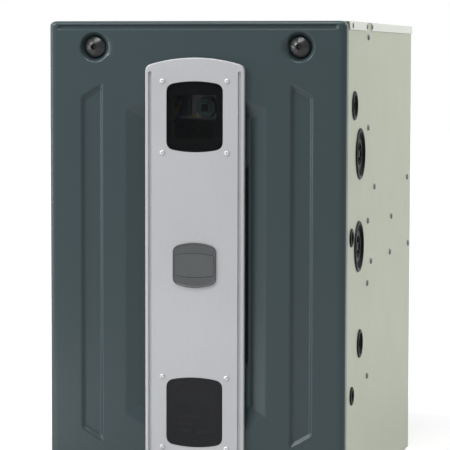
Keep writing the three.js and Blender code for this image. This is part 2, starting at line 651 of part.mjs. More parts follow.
// The finned secondary coil: tubes through spaced fins and two tube sheets, on four short legs.
function secondaryCoil() {
  const y0 = VESTIBULE_DEPTH + 24;
  const y1 = EXCHANGER_REAR - 24;
  const finPitch = 80;
  const finThickness = 2.4;
  const tubeEnds = [VESTIBULE_DEPTH - 6, y1];
  const tubes = stubPlaces.map((x) => rod(COIL_STUB_RADIUS, ...tubeEnds, 'y', 6, x, 0, COIL_MIDDLE));
  const plate = (y, inset, thickness) => block(
    -COIL_HALF_WIDTH + inset, COIL_HALF_WIDTH - inset, y, y + thickness, COIL_BOTTOM + inset, COIL_TOP - inset,
  );
  const fins = [];
  for (let y = y0 + finPitch; y < y1 - finPitch / 2; y += finPitch) fins.push(plate(y, 3, finThickness));
  const rails = [-1, 1].map((sign) => block(
    sign * (COIL_HALF_WIDTH - 8) - 5, sign * (COIL_HALF_WIDTH - 8) + 5, y0, y1, COIL_BOTTOM, COIL_BOTTOM + 6,
  ));
  const legs = [-1, 1].flatMap((sign) => [y0, y1 - 30].map((y) => block(
    sign * (COIL_HALF_WIDTH - 8) - 5, sign * (COIL_HALF_WIDTH - 8) + 5, y, y + 30, DECK_TOP + FIT, COIL_BOTTOM + 4,
  )));
  return join(plate(y0, 0, 3), plate(y1 - 3, 0, 3), ...tubes, ...fins, ...rails, ...legs);
}

function addHeatExchanger() {
  burnerPlaces.forEach((x, i) => {
    const place = subassembly(x, 0, BURNER_HEIGHT);
    addPart(place, `heat_exchanger_tube_${i + 1}`, exchangerTube(), FINISH.aluminised);
  });
  const coil = subassembly();
  addPart(coil, 'rear_header', rearHeader(), FINISH.aluminised);
  addPart(coil, 'secondary_coil', secondaryCoil(), FINISH.aluminised);
}

// ---------------------------------------------------------------- burners and gas train

const BURNER_HALF = BURNER_COUNT * BURNER_PITCH / 2 + 8;
const BOX_REAR = VESTIBULE_DEPTH - FIT;
const BOX_FRONT = BOX_REAR - BURNER_BOX_DEPTH;
const BOX_BOTTOM = BURNER_HEIGHT - BURNER_BOX_HEIGHT / 2;
const BOX_TOP = BURNER_HEIGHT + BURNER_BOX_HEIGHT / 2;
const PROBE_X = burnerPlaces.at(-1) + 4;
const PROBE_Y = BOX_REAR - 16;
const PROBE_HOLE = 7.5;

// An open-fronted tray round the burners, with flanges on the wall behind it.
function burnerBox() {
  const outer = front(rectangle(-BURNER_HALF, BURNER_HALF, BOX_BOTTOM, BOX_TOP, 4), BOX_FRONT, BOX_REAR);
  const [x, z0, z1] = [BURNER_HALF - SHEET, BOX_BOTTOM + SHEET, BOX_TOP - SHEET];
  const inner = front(rectangle(-x, x, z0, z1, 3), BOX_FRONT - 5, BOX_REAR + 5);
  const lip = cut(
    front(rectangle(-BURNER_HALF, BURNER_HALF, BOX_BOTTOM, BOX_TOP, 4), BOX_FRONT, BOX_FRONT + SHEET),
    front(rectangle(-x + 9, x - 9, z0 + 9, z1 - 9, 6), BOX_FRONT - 5, BOX_FRONT + 5),
  );
  const flange = cut(
    front(rectangle(-BURNER_HALF - 12, BURNER_HALF + 12, BOX_BOTTOM - 6, BOX_TOP + 6, 4), BOX_REAR - SHEET, BOX_REAR),
    inner,
  );
  const probes = [-1, 1].map((sign) => rod(PROBE_HOLE, BOX_BOTTOM - 5, BOX_BOTTOM + 5, 'z', 12, sign * PROBE_X, PROBE_Y, 0));
  return cut(join(cut(outer, inner), lip, flange), ...probes);
}

const BURNER_MOUTH = BOX_FRONT + 14;        // front end of the venturis

// In-shot burners: four venturis on one bracket that stands on the box's floor.
function burnerRack() {
  const length = BOX_REAR - 30 - BURNER_MOUTH;
  const profile = [
    [0, 0], [16, 0], [11, 12], [9, 22], [9, 34], [16, 50], [16, length], [0, length],
  ];
  const bore = [[0, -1], [13, -1], [6.5, 22], [6.5, 34], [13, 50], [13, length - 10], [0, length - 10]];
  const place = (rows) => burnerPlaces.map((x) => turned(rows, 'y', 8, x, BURNER_MOUTH, BURNER_HEIGHT));
  const span = BURNER_PITCH * (BURNER_COUNT - 1) / 2 + 30;
  const floor = BOX_BOTTOM + SHEET + FIT;
  const plate = front(rectangle(-span, span, floor, BURNER_HEIGHT + 8, 5), BURNER_MOUTH + 26, BURNER_MOUTH + 27.5);
  const foot = block(-span, span, BURNER_MOUTH + 26, BURNER_MOUTH + 27.5 + 20, floor, floor + 1.5);
  return cut(join(plate, foot, ...place(profile)), ...place(bore));
}

const MANIFOLD_RADIUS = 10.7;
const VALVE_HALF = 46;
const VALVE_TOP = GAS_HEIGHT + 27;
const VALVE_BOTTOM = GAS_HEIGHT - 27;
const VALVE_FRONT = GAS_LINE_SETBACK - 25;
const VALVE_REAR = GAS_LINE_SETBACK + 23;
const SWITCH_HEIGHT = GAS_HEIGHT - 4;
const SWITCH_POST = 6;
const SWITCH_X = 8;
const SWITCH_RADIUS = 20;

// The manifold: a capped pipe across the burners, one orifice spud for each and a drop to the valve.
function gasManifold() {
  const half = BURNER_PITCH * (BURNER_COUNT - 1) / 2 + 22;
  const y = GAS_LINE_SETBACK;
  const header = rod(MANIFOLD_RADIUS, -half, half, 'x', 12, 0, y, BURNER_HEIGHT);
  const caps = [-1, 1].map((sign) => turned(
    [[0, 0], [13.5, 0], [13.5, 12], [11, 16], [0, 17]].map(([r, h]) => [r, sign * h]),
    'x', 6, sign * (half - 8), y, BURNER_HEIGHT,
  ));
  const spudEnd = BURNER_MOUTH - y - 3;
  const spud = [[0, 0], [8, 0], [8, spudEnd - 9], [4, spudEnd], [0, spudEnd]];
  const spuds = burnerPlaces.map((x) => turned(spud, 'y', 6, x, y, BURNER_HEIGHT));
  const drop = rod(MANIFOLD_RADIUS, VALVE_TOP + 9 + FIT, BURNER_HEIGHT, 'z', 12, 0, y, 0);
  const tee = rod(15, -24, 24, 'x', 8, 0, y, BURNER_HEIGHT);
  return join(header, drop, tee, ...caps, ...spuds);
}

// The gas valve: a cast body with regulator towers, bosses in line with the gas port and solenoid.
function gasValve() {
  const y = GAS_LINE_SETBACK;
  const body = front(rectangle(-VALVE_HALF, VALVE_HALF, VALVE_BOTTOM, VALVE_TOP, 9), VALVE_FRONT, VALVE_REAR);
  const crown = rod(17, VALVE_TOP - 4, VALVE_TOP + 9, 'z', 8, 0, y, 0);
  const inlet = rod(17, VALVE_HALF - 4, VALVE_HALF + 14, 'x', 8, 0, y, GAS_HEIGHT);
  const inletBore = rod(11, VALVE_HALF - 6, VALVE_HALF + 20, 'x', 14, 0, y, GAS_HEIGHT);
  const blank = rod(17, -VALVE_HALF - 8, -VALVE_HALF + 4, 'x', 8, 0, y, GAS_HEIGHT);
  const tower = turned([[0, 0], [11, 0], [11, 14], [8, 18], [0, 18]], 'z', 14, -28, y - 6, VALVE_TOP - 2);
  const tap = rod(4, VALVE_FRONT - 6, VALVE_FRONT + 2, 'y', 6, 37, 0, VALVE_BOTTOM + 10);
  const solenoid = front(rectangle(-VALVE_HALF + 3, -VALVE_HALF + 25, VALVE_BOTTOM + 8, VALVE_TOP - 8, 3), VALVE_FRONT - 10, VALVE_FRONT + 2);
  const post = rod(SWITCH_POST, VALVE_FRONT - 9, VALVE_FRONT + 2, 'y', 14, SWITCH_X, 0, SWITCH_HEIGHT);
  const support = block(-16, 16, VALVE_REAR - 2, BOX_FRONT - FIT, GAS_HEIGHT + 6, GAS_HEIGHT + 9);
  const ears = block(-16, 16, BOX_FRONT - FIT - 2, BOX_FRONT - FIT, GAS_HEIGHT + 6, BOX_BOTTOM + 8);
  const valve = join(body, crown, inlet, blank, tower, tap, solenoid, post, support, ears);
  return cut(valve, inletBore);
}

// The valve's eight-sided selector, which turns a quarter turn on the post.
function gasValveSwitch() {
  const r = SWITCH_RADIUS;
  const skirt = [[0, -14], [r - 4, -14], [r - 0.5, -11], [r, -3], [r, 0], [0, 0]];
  const knob = turned(skirt, 'y', 8);
  const grip = front(rectangle(-6, 6, -13, 15, 3), -22, -12);
  const socket = rod(SWITCH_POST + FIT, -9 - FIT, 1, 'y', 14);
  return cut(join(knob, grip), socket);
}

// A probe that stands in a hole in the burner box's floor: a bracket, a ceramic and a working end.
function probe(end) {
  const bracket = block(-9, 22, -9, 9, -1.5, 0);
  const ceramic = turned([[0, -18], [6.2, -18], [6.2, 20], [5, 24], [0, 24]], 'z', 10);
  return join(bracket, ceramic, ...end);
}

const flameRod = () => probe([rod(1.6, 20, 38, 'z', 8)]);

function igniterFork() {
  const fork = [-3, 3].map((x) => block(x - 0.9, x + 0.9, -1.6, 1.6, 20, 36));
  return probe([...fork, block(-3.9, 3.9, -1.6, 1.6, 36, 40)]);
}

// A bimetal disc switch on a flat two-eared plate.
function rolloutSwitch() {
  const plate = plan(outline([[-16, -5], [16, -5], [16, 5], [-16, 5]], 4), 0, 1);
  const can = turned([[0, 0], [8, 0], [8, 6], [6, 7.5], [0, 7.5]], 'z', 14);
  const tabs = [-3.5, 3.5].map((x) => block(x - 0.6, x + 0.6, -3, 3, 5, 15));
  return join(plate, can, ...tabs);
}

function addBurners() {
  const train = subassembly();
  addPart(train, 'burner_box', burnerBox(), FINISH.galvanised);
  addPart(train, 'burner_rack', burnerRack(), FINISH.aluminised);
  addPart(train, 'gas_manifold', gasManifold(), FINISH.steel);
  addPart(train, 'gas_valve', gasValve(), FINISH.castMetal);
  const knob = subassembly(SWITCH_X, VALVE_FRONT - 1.2, SWITCH_HEIGHT);
  addPart(knob, 'gas_valve_switch', gasValveSwitch(), FINISH.blackPlastic);
  const igniter = subassembly(PROBE_X, PROBE_Y, BOX_BOTTOM - FIT);
  addPart(igniter, 'igniter', igniterFork(), FINISH.ceramic);
  const sensor = subassembly(-PROBE_X, PROBE_Y, BOX_BOTTOM - FIT);
  addPart(sensor, 'flame_sensor', flameRod(), FINISH.ceramic);
  const limit = subassembly(burnerPlaces[0], BOX_REAR - 40, BOX_TOP + FIT);
  addPart(limit, 'rollout_switch', rolloutSwitch(), FINISH.steel);
}

// ---------------------------------------------------------------- collector, inducer and vent

const COLLECTOR_FRONT = VESTIBULE_DEPTH - COLLECTOR_DEPTH;
const COLLECTOR_REAR = VESTIBULE_DEPTH - FIT;
const INDUCER_X = -20;
const INDUCER_REAR = COLLECTOR_FRONT - FIT;
const INDUCER_FRONT = VENT_SETBACK - VENT_PIPE / 2 - 1;
const VENT_START = INDUCER_X + INDUCER_RADIUS + 22;
const PRESSURE_X = INDUCER_X - 132;
const PRESSURE_Z = INDUCER_HEIGHT - 22;

// The moulded collector: a box over the coil's stubs with a raised part under the inducer.
function collectorBox() {
  const [bottom, shoulder, top] = [COIL_BOTTOM + 2, COIL_TOP + 4, INDUCER_HEIGHT + 54];
  const shape = (inset) => outline([
    [-172 + inset, bottom + inset], [172 - inset, bottom + inset], [172 - inset, shoulder - inset],
    [INDUCER_X + 78 - inset, shoulder + 10 - inset], [INDUCER_X + 62 - inset, top - inset],
    [INDUCER_X - 62 + inset, top - inset], [INDUCER_X - 84 + inset, shoulder + 34 - inset],
    [-172 + inset, shoulder + 34 - inset],
  ], 14 - 2 * inset);
  const wall = 2.5;
  const shell = cut(front(shape(0), COLLECTOR_FRONT, COLLECTOR_REAR), front(shape(wall), COLLECTOR_FRONT + wall, COLLECTOR_REAR + 5));
  const inlet = rod(30, COLLECTOR_FRONT - 5, COLLECTOR_FRONT + 10, 'y', 12, INDUCER_X, 0, INDUCER_HEIGHT);
  const ribs = [-120, 110].map((x) => block(
    x - 1.5, x + 1.5, COLLECTOR_FRONT - 4, COLLECTOR_FRONT + 1, bottom + 10, shoulder - 10,
  ));
  const drain = rod(7, -190, -170, 'x', 12, 0, COLLECTOR_FRONT + 28, bottom + 16);
  return cut(join(shell, drain, ...ribs), inlet);
}

// The inducer housing: a scroll with a sideways outlet, hollow for its wheel.
function inducerHousing() {
  const scroll = (grow) => {
    const start = Math.PI * 0.42;
    const spiral = Array.from({ length: 15 }, (_, i) => {
      const t = i / 14;
      const angle = start + t * (Math.PI * 1.9 - start);
      const r = INDUCER_RADIUS - 6 + 14 * t + grow;
      return [r * Math.cos(angle), r * Math.sin(angle)];
    });
    const low = INDUCER_RISE - VENT_PIPE / 2 - 3 - grow;
    return outline([...spiral, [VENT_START - INDUCER_X - 12, low], [VENT_START - INDUCER_X - 12, spiral[0][1]]]);
  };
  const wall = 2;
  const depth = INDUCER_REAR - INDUCER_FRONT;
  const shell = cut(front(scroll(0), 0, depth), front(scroll(-wall), wall, depth - wall));
  const stubAxis = VENT_SETBACK - INDUCER_FRONT;
  const stub = rod(VENT_PIPE / 2 - VENT_PIPE_WALL - 1.8, 50, VENT_START - INDUCER_X + 24, 'x', 12, 0, stubAxis, INDUCER_RISE);
  const stubBore = rod(VENT_PIPE / 2 - VENT_PIPE_WALL - 4.2, 40, VENT_START - INDUCER_X + 30, 'x', 12, 0, stubAxis, INDUCER_RISE);
  const eye = rod(26, depth - 8, depth + 8, 'y', 12);
  const shaftHole = rod(7, -5, 8, 'y', 8);
  const port = rod(4, -10, 3, 'y', 8, -38, 0, 24);
  return cut(join(cut(shell, stubBore), cut(stub, stubBore), port), eye, shaftHole);
}

const INDUCER_SHAFT = 3;

// The inducer's wheel: straight blades on a back plate with a hub.
function inducerWheel() {
  const plate = rod(46, 0, 1.6, 'y', 20);
  const hub = rod(9, 0, 20, 'y', 10);
  const blades = Array.from({ length: 10 }, (_, i) => {
    const blade = new THREE.BoxGeometry(28, 21, 1.6).translate(31, 11.5, 4).rotateY(i * Math.PI / 5);
    return solid(blade);
  });
  const bore = rod(INDUCER_SHAFT + FIT, -5, 16, 'y', 8);
  return cut(join(plate, hub, ...blades), bore);
}

// The inducer's motor: a ribbed can on three posts, its shaft running into the wheel's hub.
function inducerMotor() {
  const can = turned([
    [0, -58], [16, -58], [18, -51], [36, -47], [36, -34], [33, -34], [33, -24], [36, -24], [36, -11], [0, -9],
  ], 'y', 14);
  const posts = [0, 1, 2].map((i) => {
    const angle = Math.PI / 2 + i * 2 * Math.PI / 3;
    return rod(4, -14, -FIT, 'y', 6, 28 * Math.cos(angle), 0, 28 * Math.sin(angle));
  });
  const shaft = rod(INDUCER_SHAFT, -12, 26, 'y', 8);
  return join(can, shaft, ...posts);
}

// The vent pipe: from the inducer's outlet to the side, then up through the front top panel.
function ventPipe() {
  const path = pipeRun([
    [VENT_START, VENT_SETBACK, VENT_HEIGHT],
    [VENT_EXIT_X, VENT_SETBACK, VENT_HEIGHT],
    [VENT_EXIT_X, VENT_SETBACK, CABINET_HEIGHT],
  ], 52, 3);
  const clamp = ring(VENT_PIPE / 2 - 1, VENT_PIPE / 2 + 2.5, 6, 18, 'x', 10, VENT_START, VENT_SETBACK, VENT_HEIGHT);
  return join(pipe(path, VENT_PIPE / 2, VENT_PIPE_WALL, 5), clamp);
}

// The pressure switch: two clamped dishes with a hose port, on a bracket to the collector.
function pressureSwitch() {
  const body = turned([
    [0, -30], [10, -30], [12, -24], [34, -19], [34, -12], [14, -4], [0, -4],
  ], 'y', 16);
  const foot = front(rectangle(-14, 14, -20, 20, 4), -2, 0);
  const neck = rod(9, -8, -1, 'y', 12);
  const port = rod(3, 24, 42, 'x', 8, 0, -15.5, 0);
  const tabs = [-6, 6].map((x) => block(x - 0.5, x + 0.5, -38, -28, -3, 3));
  return join(body, foot, neck, port, ...tabs);
}

// The sensing hose between the pressure switch and the inducer's port.
function pressureHose() {
  const y = COLLECTOR_FRONT - FIT - 15.5;
  const port = new THREE.Vector3(INDUCER_X - 38, INDUCER_FRONT - 10 - FIT, INDUCER_HEIGHT + 24);
  const path = new THREE.CatmullRomCurve3([
    new THREE.Vector3(PRESSURE_X + 42 + FIT, y, PRESSURE_Z),
    new THREE.Vector3(PRESSURE_X + 50, y, PRESSURE_Z),
    new THREE.Vector3(PRESSURE_X + 57, y - 22, PRESSURE_Z + 8),
    new THREE.Vector3(PRESSURE_X + 58, INDUCER_FRONT - 16, PRESSURE_Z + 26),
    port.clone().add(new THREE.Vector3(-14, -18, -4)),
    port.clone().add(new THREE.Vector3(-1, -12, 0)),
    port,
  ]);
  return tube(path, 3.6, 0, 16, 3);
}

const TRAP_HEIGHT = 116;
const TRAP_BOTTOM = DECK_TOP + FIT;
const TRAP_HALF = 27;
const TRAP_X = -INNER_HALF + 9 + TRAP_HALF;
const TRAP_SETBACK = 128;
const COLLECTOR_DRAIN = COIL_BOTTOM + 18;
const TRAP_DRAIN = COLLECTOR_DRAIN - TRAP_BOTTOM;

// The condensate trap: a moulded pair of chambers with a hose boss, standing on the deck.
function condensateTrap() {
  const body = front(rectangle(-TRAP_HALF, TRAP_HALF, 0, TRAP_HEIGHT, 8), 0, 44);
  const webs = [-9, 9].map((x) => front(rectangle(x - 1.2, x + 1.2, 10, TRAP_HEIGHT - 10), -4, 1));
  const inlet = rod(7, TRAP_HALF - 2, TRAP_HALF + 8, 'x', 12, 0, 26, TRAP_DRAIN);
  const outlet = rod(6, -14, 2, 'y', 12, 0, 0, 24);
  const cleanOut = rod(10, TRAP_HEIGHT - 2, TRAP_HEIGHT + 6, 'z', 6, 0, 22, 0);
  return join(body, inlet, outlet, cleanOut, ...webs);
}

// The short hose from the collector's drain into the trap.
function drainHose() {
  const from = -190 - FIT;
  const to = TRAP_X + TRAP_HALF + 8 + FIT;
  return ring(4.5, 8, to, from, 'x', 12, 0, COLLECTOR_FRONT + 28, COLLECTOR_DRAIN);
}

function addVenting() {
  const vestibule = subassembly();
  addPart(vestibule, 'collector_box', collectorBox(), FINISH.polymer);
  addPart(vestibule, 'vent_pipe', ventPipe(), FINISH.whitePlastic);
  addPart(vestibule, 'pressure_hose', pressureHose(), FINISH.rubber);
  addPart(vestibule, 'drain_hose', drainHose(), FINISH.rubber);
  const inducer = subassembly(INDUCER_X, INDUCER_FRONT, INDUCER_HEIGHT);
  addPart(inducer, 'inducer_housing', inducerHousing(), FINISH.polymer);
  addPart(inducer, 'inducer_motor', inducerMotor(), FINISH.motor);
  const wheel = subassembly(INDUCER_X, INDUCER_FRONT + 12, INDUCER_HEIGHT);
  addPart(wheel, 'inducer_wheel', inducerWheel(), FINISH.polymer);
  const gauge = subassembly(PRESSURE_X, COLLECTOR_FRONT - FIT, PRESSURE_Z);
  addPart(gauge, 'pressure_switch', pressureSwitch(), FINISH.whitePlastic);
  const trap = subassembly(TRAP_X, TRAP_SETBACK + 18, TRAP_BOTTOM);
  addPart(trap, 'condensate_trap', condensateTrap(), FINISH.polymer);
}

// ---------------------------------------------------------------- blower

// The scroll's outline about the wheel axis, opening upwards into a straight neck.
function scrollOutline(grow, neckTop) {
  const [from, to] = [Math.PI * 0.56, Math.PI * 2];
  const steps = 18;
  const spiral = Array.from({ length: steps + 1 }, (_, i) => {
    const angle = from + (to - from) * i / steps;
    const radius = SCROLL_START + (SCROLL_END - SCROLL_START) * i / steps + grow;
    return [radius * Math.cos(angle), radius * Math.sin(angle)];
  });
  return outline([...spiral, [spiral.at(-1)[0], neckTop], [spiral[0][0] - grow * 0.2, neckTop]]);
}

// The blower housing: a wrapped scroll between two side plates, with drawn inlet rings.
function blowerHousing() {
  const half = HOUSING_WIDTH / 2;
  const neckTop = BLOWER_DROP + 6;
  const outer = side(scrollOutline(0, neckTop), -half, half);
  const hollow = side(scrollOutline(-SHEET, neckTop + 10), -half + SHEET, half - SHEET);
  const mouth = INLET_DIAMETER / 2;
  const inlets = rod(mouth, -half - 20, half + 20, 'x', 24);
  const drawn = [-1, 1].map((sign) => turned([
    [mouth, half - SHEET], [mouth + 9, half - SHEET], [mouth + 8, half + 4], [mouth + 3, half + 6],
    [mouth, half - SHEET],
  ].map(([r, h]) => [r, sign * h]), 'x', 24));
  const flangeZ = BLOWER_DROP - RAIL_DROP - SHEET / 2 + FIT;
  const flanges = [-1, 1].map((sign) => block(
    Math.min(sign * (half - SHEET), sign * (RAIL_X - 3)),
    Math.max(sign * (half - SHEET), sign * (RAIL_X - 3)),
    NECK_FRONT - BLOWER_SETBACK + 4, SCROLL_END - 4, flangeZ, flangeZ + 2,
  ));
  return join(cut(outer, hollow, inlets), ...drawn, ...flanges);
}

const DISC_X = 16;
const HUB_RADIUS = 19;

// The blower wheel: forward-curved blades between two rings, carried by a centre disc and hub.
function blowerWheel() {
  const [half, rim] = [WHEEL_WIDTH / 2, WHEEL_DIAMETER / 2];
  const bladeDepth = 17;
  const rings = [-1, 1].map((sign) => ring(
    rim - bladeDepth - 1, rim, Math.min(sign * half, sign * (half - 4)), Math.max(sign * half, sign * (half - 4)), 'x', 30,
  ));
  const centre = turned([
    [HUB_RADIUS - 2, -1.2], [rim - bladeDepth + 2.5, -1.2], [rim - bladeDepth + 2.5, 1.2], [HUB_RADIUS - 2, 1.2],
    [HUB_RADIUS - 2, -1.2],
  ], 'x', 30, DISC_X);
  const hub = ring(SHAFT_DIAMETER / 2 + FIT, HUB_RADIUS, -12, 24, 'x', 14, DISC_X);
  const blades = Array.from({ length: BLADE_COUNT }, (_, i) => {
    const blade = new THREE.BoxGeometry(1.4, bladeDepth - 3, WHEEL_WIDTH - 2);
    blade.rotateZ(BLADE_ANGLE).translate(0, rim - bladeDepth / 2 - 0.5, 0);
    return solid(blade.rotateZ(i * 2 * Math.PI / BLADE_COUNT).applyMatrix4(SIDE_VIEW));
  });
  return join(...rings, centre, hub, ...blades);
}

const MOTOR_LEFT = -HOUSING_WIDTH / 2 - 34;
const MOTOR_RIGHT = -22;
const BAND = 3;

// The blower motor: a vented can and its control end, with the shaft through the wheel's hub.
function blowerMotor() {
  const r = MOTOR_DIAMETER / 2;
  const can = turned([
    [0, MOTOR_LEFT], [r - 16, MOTOR_LEFT], [r - 10, MOTOR_LEFT + 6], [r - 10, MOTOR_LEFT + 26],
    [r, MOTOR_LEFT + 27], [r, -38], [r - 8, -28], [30, MOTOR_RIGHT], [0, MOTOR_RIGHT],
  ], 'x', 16);
  const shaft = rod(SHAFT_DIAMETER / 2, MOTOR_RIGHT - 2, DISC_X + 34, 'x', 14);
  const plug = block(MOTOR_LEFT - 8, MOTOR_LEFT + 8, -12, 12, -44, -26);
  return join(can, shaft, plug);
}

// The motor mount: a band round the motor with three arms out to the housing's side plate.
function motorMount() {
  const r = MOTOR_DIAMETER / 2 + FIT;
  const plate = -HOUSING_WIDTH / 2 - 6 - FIT;
  const band = ring(r, r + BAND, plate - 12, plate, 'x', 16);
  const reach = INLET_DIAMETER / 2 + 22;
  const arms = [0, 1, 2].map((i) => {
    const arm = new THREE.BoxGeometry(2.5, reach - r, 20).translate(plate - 1.25, (reach + r) / 2, 0);
    const ear = new THREE.BoxGeometry(7.5, 10, 20).translate(plate + 2.5, reach - 5, 0);
    const turn = (geometry) => solid(geometry.rotateX(Math.PI / 2 + i * 2 * Math.PI / 3));
    return join(turn(arm), turn(ear));
  });
  return join(band, ...arms);
}

function addBlower() {
  const blower = subassembly(0, BLOWER_SETBACK, WHEEL_HEIGHT);
  addPart(blower, 'blower_housing', blowerHousing(), FINISH.galvanised);
  addPart(blower, 'blower_wheel', blowerWheel(), FINISH.galvanised);
  addPart(blower, 'blower_motor', blowerMotor(), FINISH.motor);
  addPart(blower, 'blower_motor_mount', motorMount(), FINISH.galvanised);
}

// ---------------------------------------------------------------- controls

const TRAY_FACE = 62;
const TRAY_HALF = 150;
const TRAY_BOTTOM = LOWER_WINDOW_HEIGHT - 78;
const TRAY_TOP = DECK_UNDER - FIT;

// The control tray: a folded plate that hangs from the deck, with side flanges.
function controlTray() {
  const plate = side(foldedSheet([
    [TRAY_FACE + 8, TRAY_BOTTOM + 0.6], [TRAY_FACE + 0.6, TRAY_BOTTOM + 0.6], [TRAY_FACE + 0.6, TRAY_TOP - 0.6],
    [TRAY_FACE + 22, TRAY_TOP - 0.6],
  ]), -TRAY_HALF, TRAY_HALF);
  const flanges = [-1, 1].map((sign) => block(
    Math.min(sign * TRAY_HALF, sign * (TRAY_HALF - SHEET)),
    Math.max(sign * TRAY_HALF, sign * (TRAY_HALF - SHEET)),
    TRAY_FACE + 0.4, TRAY_FACE + 14, TRAY_BOTTOM + 6, TRAY_TOP - 24,
  ));
  const wireSlots = [-1, 1].map((sign) => front(
    rectangle(sign * 100 - 22, sign * 100 + 22, TRAY_BOTTOM + 16, TRAY_BOTTOM + 27, 5), TRAY_FACE - 5, TRAY_FACE + 8,
  ));
  return cut(join(plate, ...flanges), ...wireSlots);
}

// The control board on its posts, with relays, capacitors, connectors and a display.
function controlBoard() {
  const [half, low, high] = [78, LOWER_WINDOW_HEIGHT - 60, LOWER_WINDOW_HEIGHT + 62];
  const rear = TRAY_FACE - 9;
  const board = front(rectangle(-half, half, low, high, 3), rear - 1.6, rear);
  const posts = [[-70, low + 8], [70, low + 8], [-70, high - 8], [70, high - 8]].map(([x, z]) => rod(
    4, rear - 0.5, TRAY_FACE - FIT, 'y', 8, x, 0, z,
  ));
  const part = (x0, x1, z0, z1, tall) => block(x0, x1, rear - 1.6 - tall, rear - 1, low + z0, low + z1);
  const relays = [0, 1, 2].map((i) => part(-66 + 26 * i, -46 + 26 * i, 84, 108, 17));
  const terminals = part(24, 70, 90, 106, 12);
  const harness = part(-70, -22, 6, 18, 13);
  const display = part(-14, 24, 44, 64, 8);
  const capacitors = [0, 1].map((i) => rod(8, rear - 24, rear - 1, 'y', 14, 44 + 19 * i, 0, low + 52));
  const chip = part(-58, -30, 46, 66, 3);
  return join(board, terminals, harness, display, chip, ...posts, ...relays, ...capacitors);
}

// The low-voltage transformer: a laminated core with two feet and a wound bobbin.
function transformer() {
  const core = front(rectangle(-30, 30, -25, 25, 2), -40, -4);
  const feet = block(-42, 42, -1.5, 0, -20, 20);
  const stand = block(-30, 30, -5, -1, -18, 18);
  const bobbin = front(rectangle(-18, 18, -33, 33, 6), -46, -2);
  return join(core, feet, stand, bobbin);
}

const JUNCTION_SIZE = { wide: 56, deep: 84, tall: 76 };

// The field-wiring junction box on the right wall, open at its front edge.
function junctionBox() {
  const { wide, deep, tall } = JUNCTION_SIZE;
  const outer = plan(rectangle(-wide, 0, 0, deep, 2), 0, tall);
  const inner = plan(rectangle(-wide + SHEET, -SHEET, -5, deep - SHEET, 1), SHEET, tall - SHEET);
  return cut(outer, inner);
}

const PLUNGER_TRAVEL = 4;
const SWITCH_BOX = { x: 118, z: DECK_TOP - 114 };

// The door switch's body, with a bore for its plunger.
function doorSwitchBody() {
  const body = front(rectangle(-14, 14, -11, 11, 2), -46, -FIT);
  const collar = rod(7.5, -52, -44, 'y', 16);
  const bore = rod(4 + FIT, -60, -20, 'y', 16);
  return cut(join(body, collar), bore);
}

function doorSwitchPlunger() {
  return turned([[0, 0], [2.6, 0], [3.6, 1.2], [4, 3], [4, 34], [0, 34]], 'y', 14);
}

function addControls() {
  const bay = subassembly();
  addPart(bay, 'control_tray', controlTray(), FINISH.galvanised);
  addPart(bay, 'control_board', controlBoard(), FINISH.board);
  const supply = subassembly(-96, TRAY_FACE - FIT, TRAY_TOP - 112);
  addPart(supply, 'transformer', transformer(), FINISH.steel);
  const junction = subassembly(INNER_HALF - FIT, 30, DECK_TOP - 94);
  addPart(junction, 'junction_box', junctionBox(), FINISH.galvanised);
  const doorSwitch = subassembly(SWITCH_BOX.x, TRAY_FACE, SWITCH_BOX.z);
  addPart(doorSwitch, 'door_switch_body', doorSwitchBody(), FINISH.blackPlastic);
  const plunger = subassembly(SWITCH_BOX.x, LINER_REAR + FIT, SWITCH_BOX.z);
  addPart(plunger, 'door_switch_plunger', doorSwitchPlunger(), FINISH.whitePlastic);
}

// ---------------------------------------------------------------- door

const POCKET_RIM = { x: 126.5, topCorner: 152, bottomCorner: 163 };
const POCKET_TOP_SLOPE = 0.31;              // rise of its top edge towards the centre line
const POCKET_BOTTOM_SLOPE = 0.64;           // fall of its bottom edge towards the centre line
const POCKET_FLOOR = 97;
const POCKET_HIDDEN = 60;                   // the strip hides the pocket inside this
const RIB_INNER = 169;
const RIB_OUTER = 208.5;
const RIB_TOP_DROP = 107.5;
const RIB_BOTTOM = 117;
const RIB_MITRE = 24;
const PRESSED_FLOOR = DOOR_FACE + PRESS_DEPTH;
const LINER_FRONT = PRESSED_FLOOR + SHEET + FIT;
const LINER_REAR = LINER_FRONT + LINER;

const mirrored = (points) => [...points, ...points.map(([x, z]) => [-x, z]).reverse()];

// The long pocket behind the strip: eight-sided, with walls sloping down to its floor.
function pocketTool(grow) {
  const top = CABINET_HEIGHT - POCKET_RIM.topCorner + grow;
  const bottom = DOOR_BOTTOM + POCKET_RIM.bottomCorner - grow;
  const x = POCKET_RIM.x + grow;
  const inner = POCKET_HIDDEN;
  const floorX = POCKET_FLOOR + grow;
  const ends = (from, low, high) => [
    [inner, low - POCKET_BOTTOM_SLOPE * (from - inner)], [from, low],
    [from, high], [inner, high + POCKET_TOP_SLOPE * (from - inner)],
  ];
  const rim = mirrored(ends(x, bottom, top));
  const floor = mirrored(ends(floorX, bottom + 18, top - 18));
  return recess(rim, DOOR_FACE - 0.01, floor, PRESSED_FLOOR + grow);
}

// A long mitred rib channel beside the door's edge.
function ribTool(sign, grow) {
  const [top, bottom] = [CABINET_HEIGHT - RIB_TOP_DROP + grow, RIB_BOTTOM - grow];
  const channel = (inset) => [
    [RIB_INNER - grow + inset, bottom + inset * 1.6], [RIB_OUTER + grow - inset, bottom + RIB_MITRE + inset * 0.6],
    [RIB_OUTER + grow - inset, top - RIB_MITRE - inset * 0.6], [RIB_INNER - grow + inset, top - inset * 1.6],
  ].map(([x, z]) => [sign * x, z]);
  return recess(channel(0), DOOR_FACE - 0.01, channel(6), DOOR_FACE + RIB_DEPTH + grow);
}

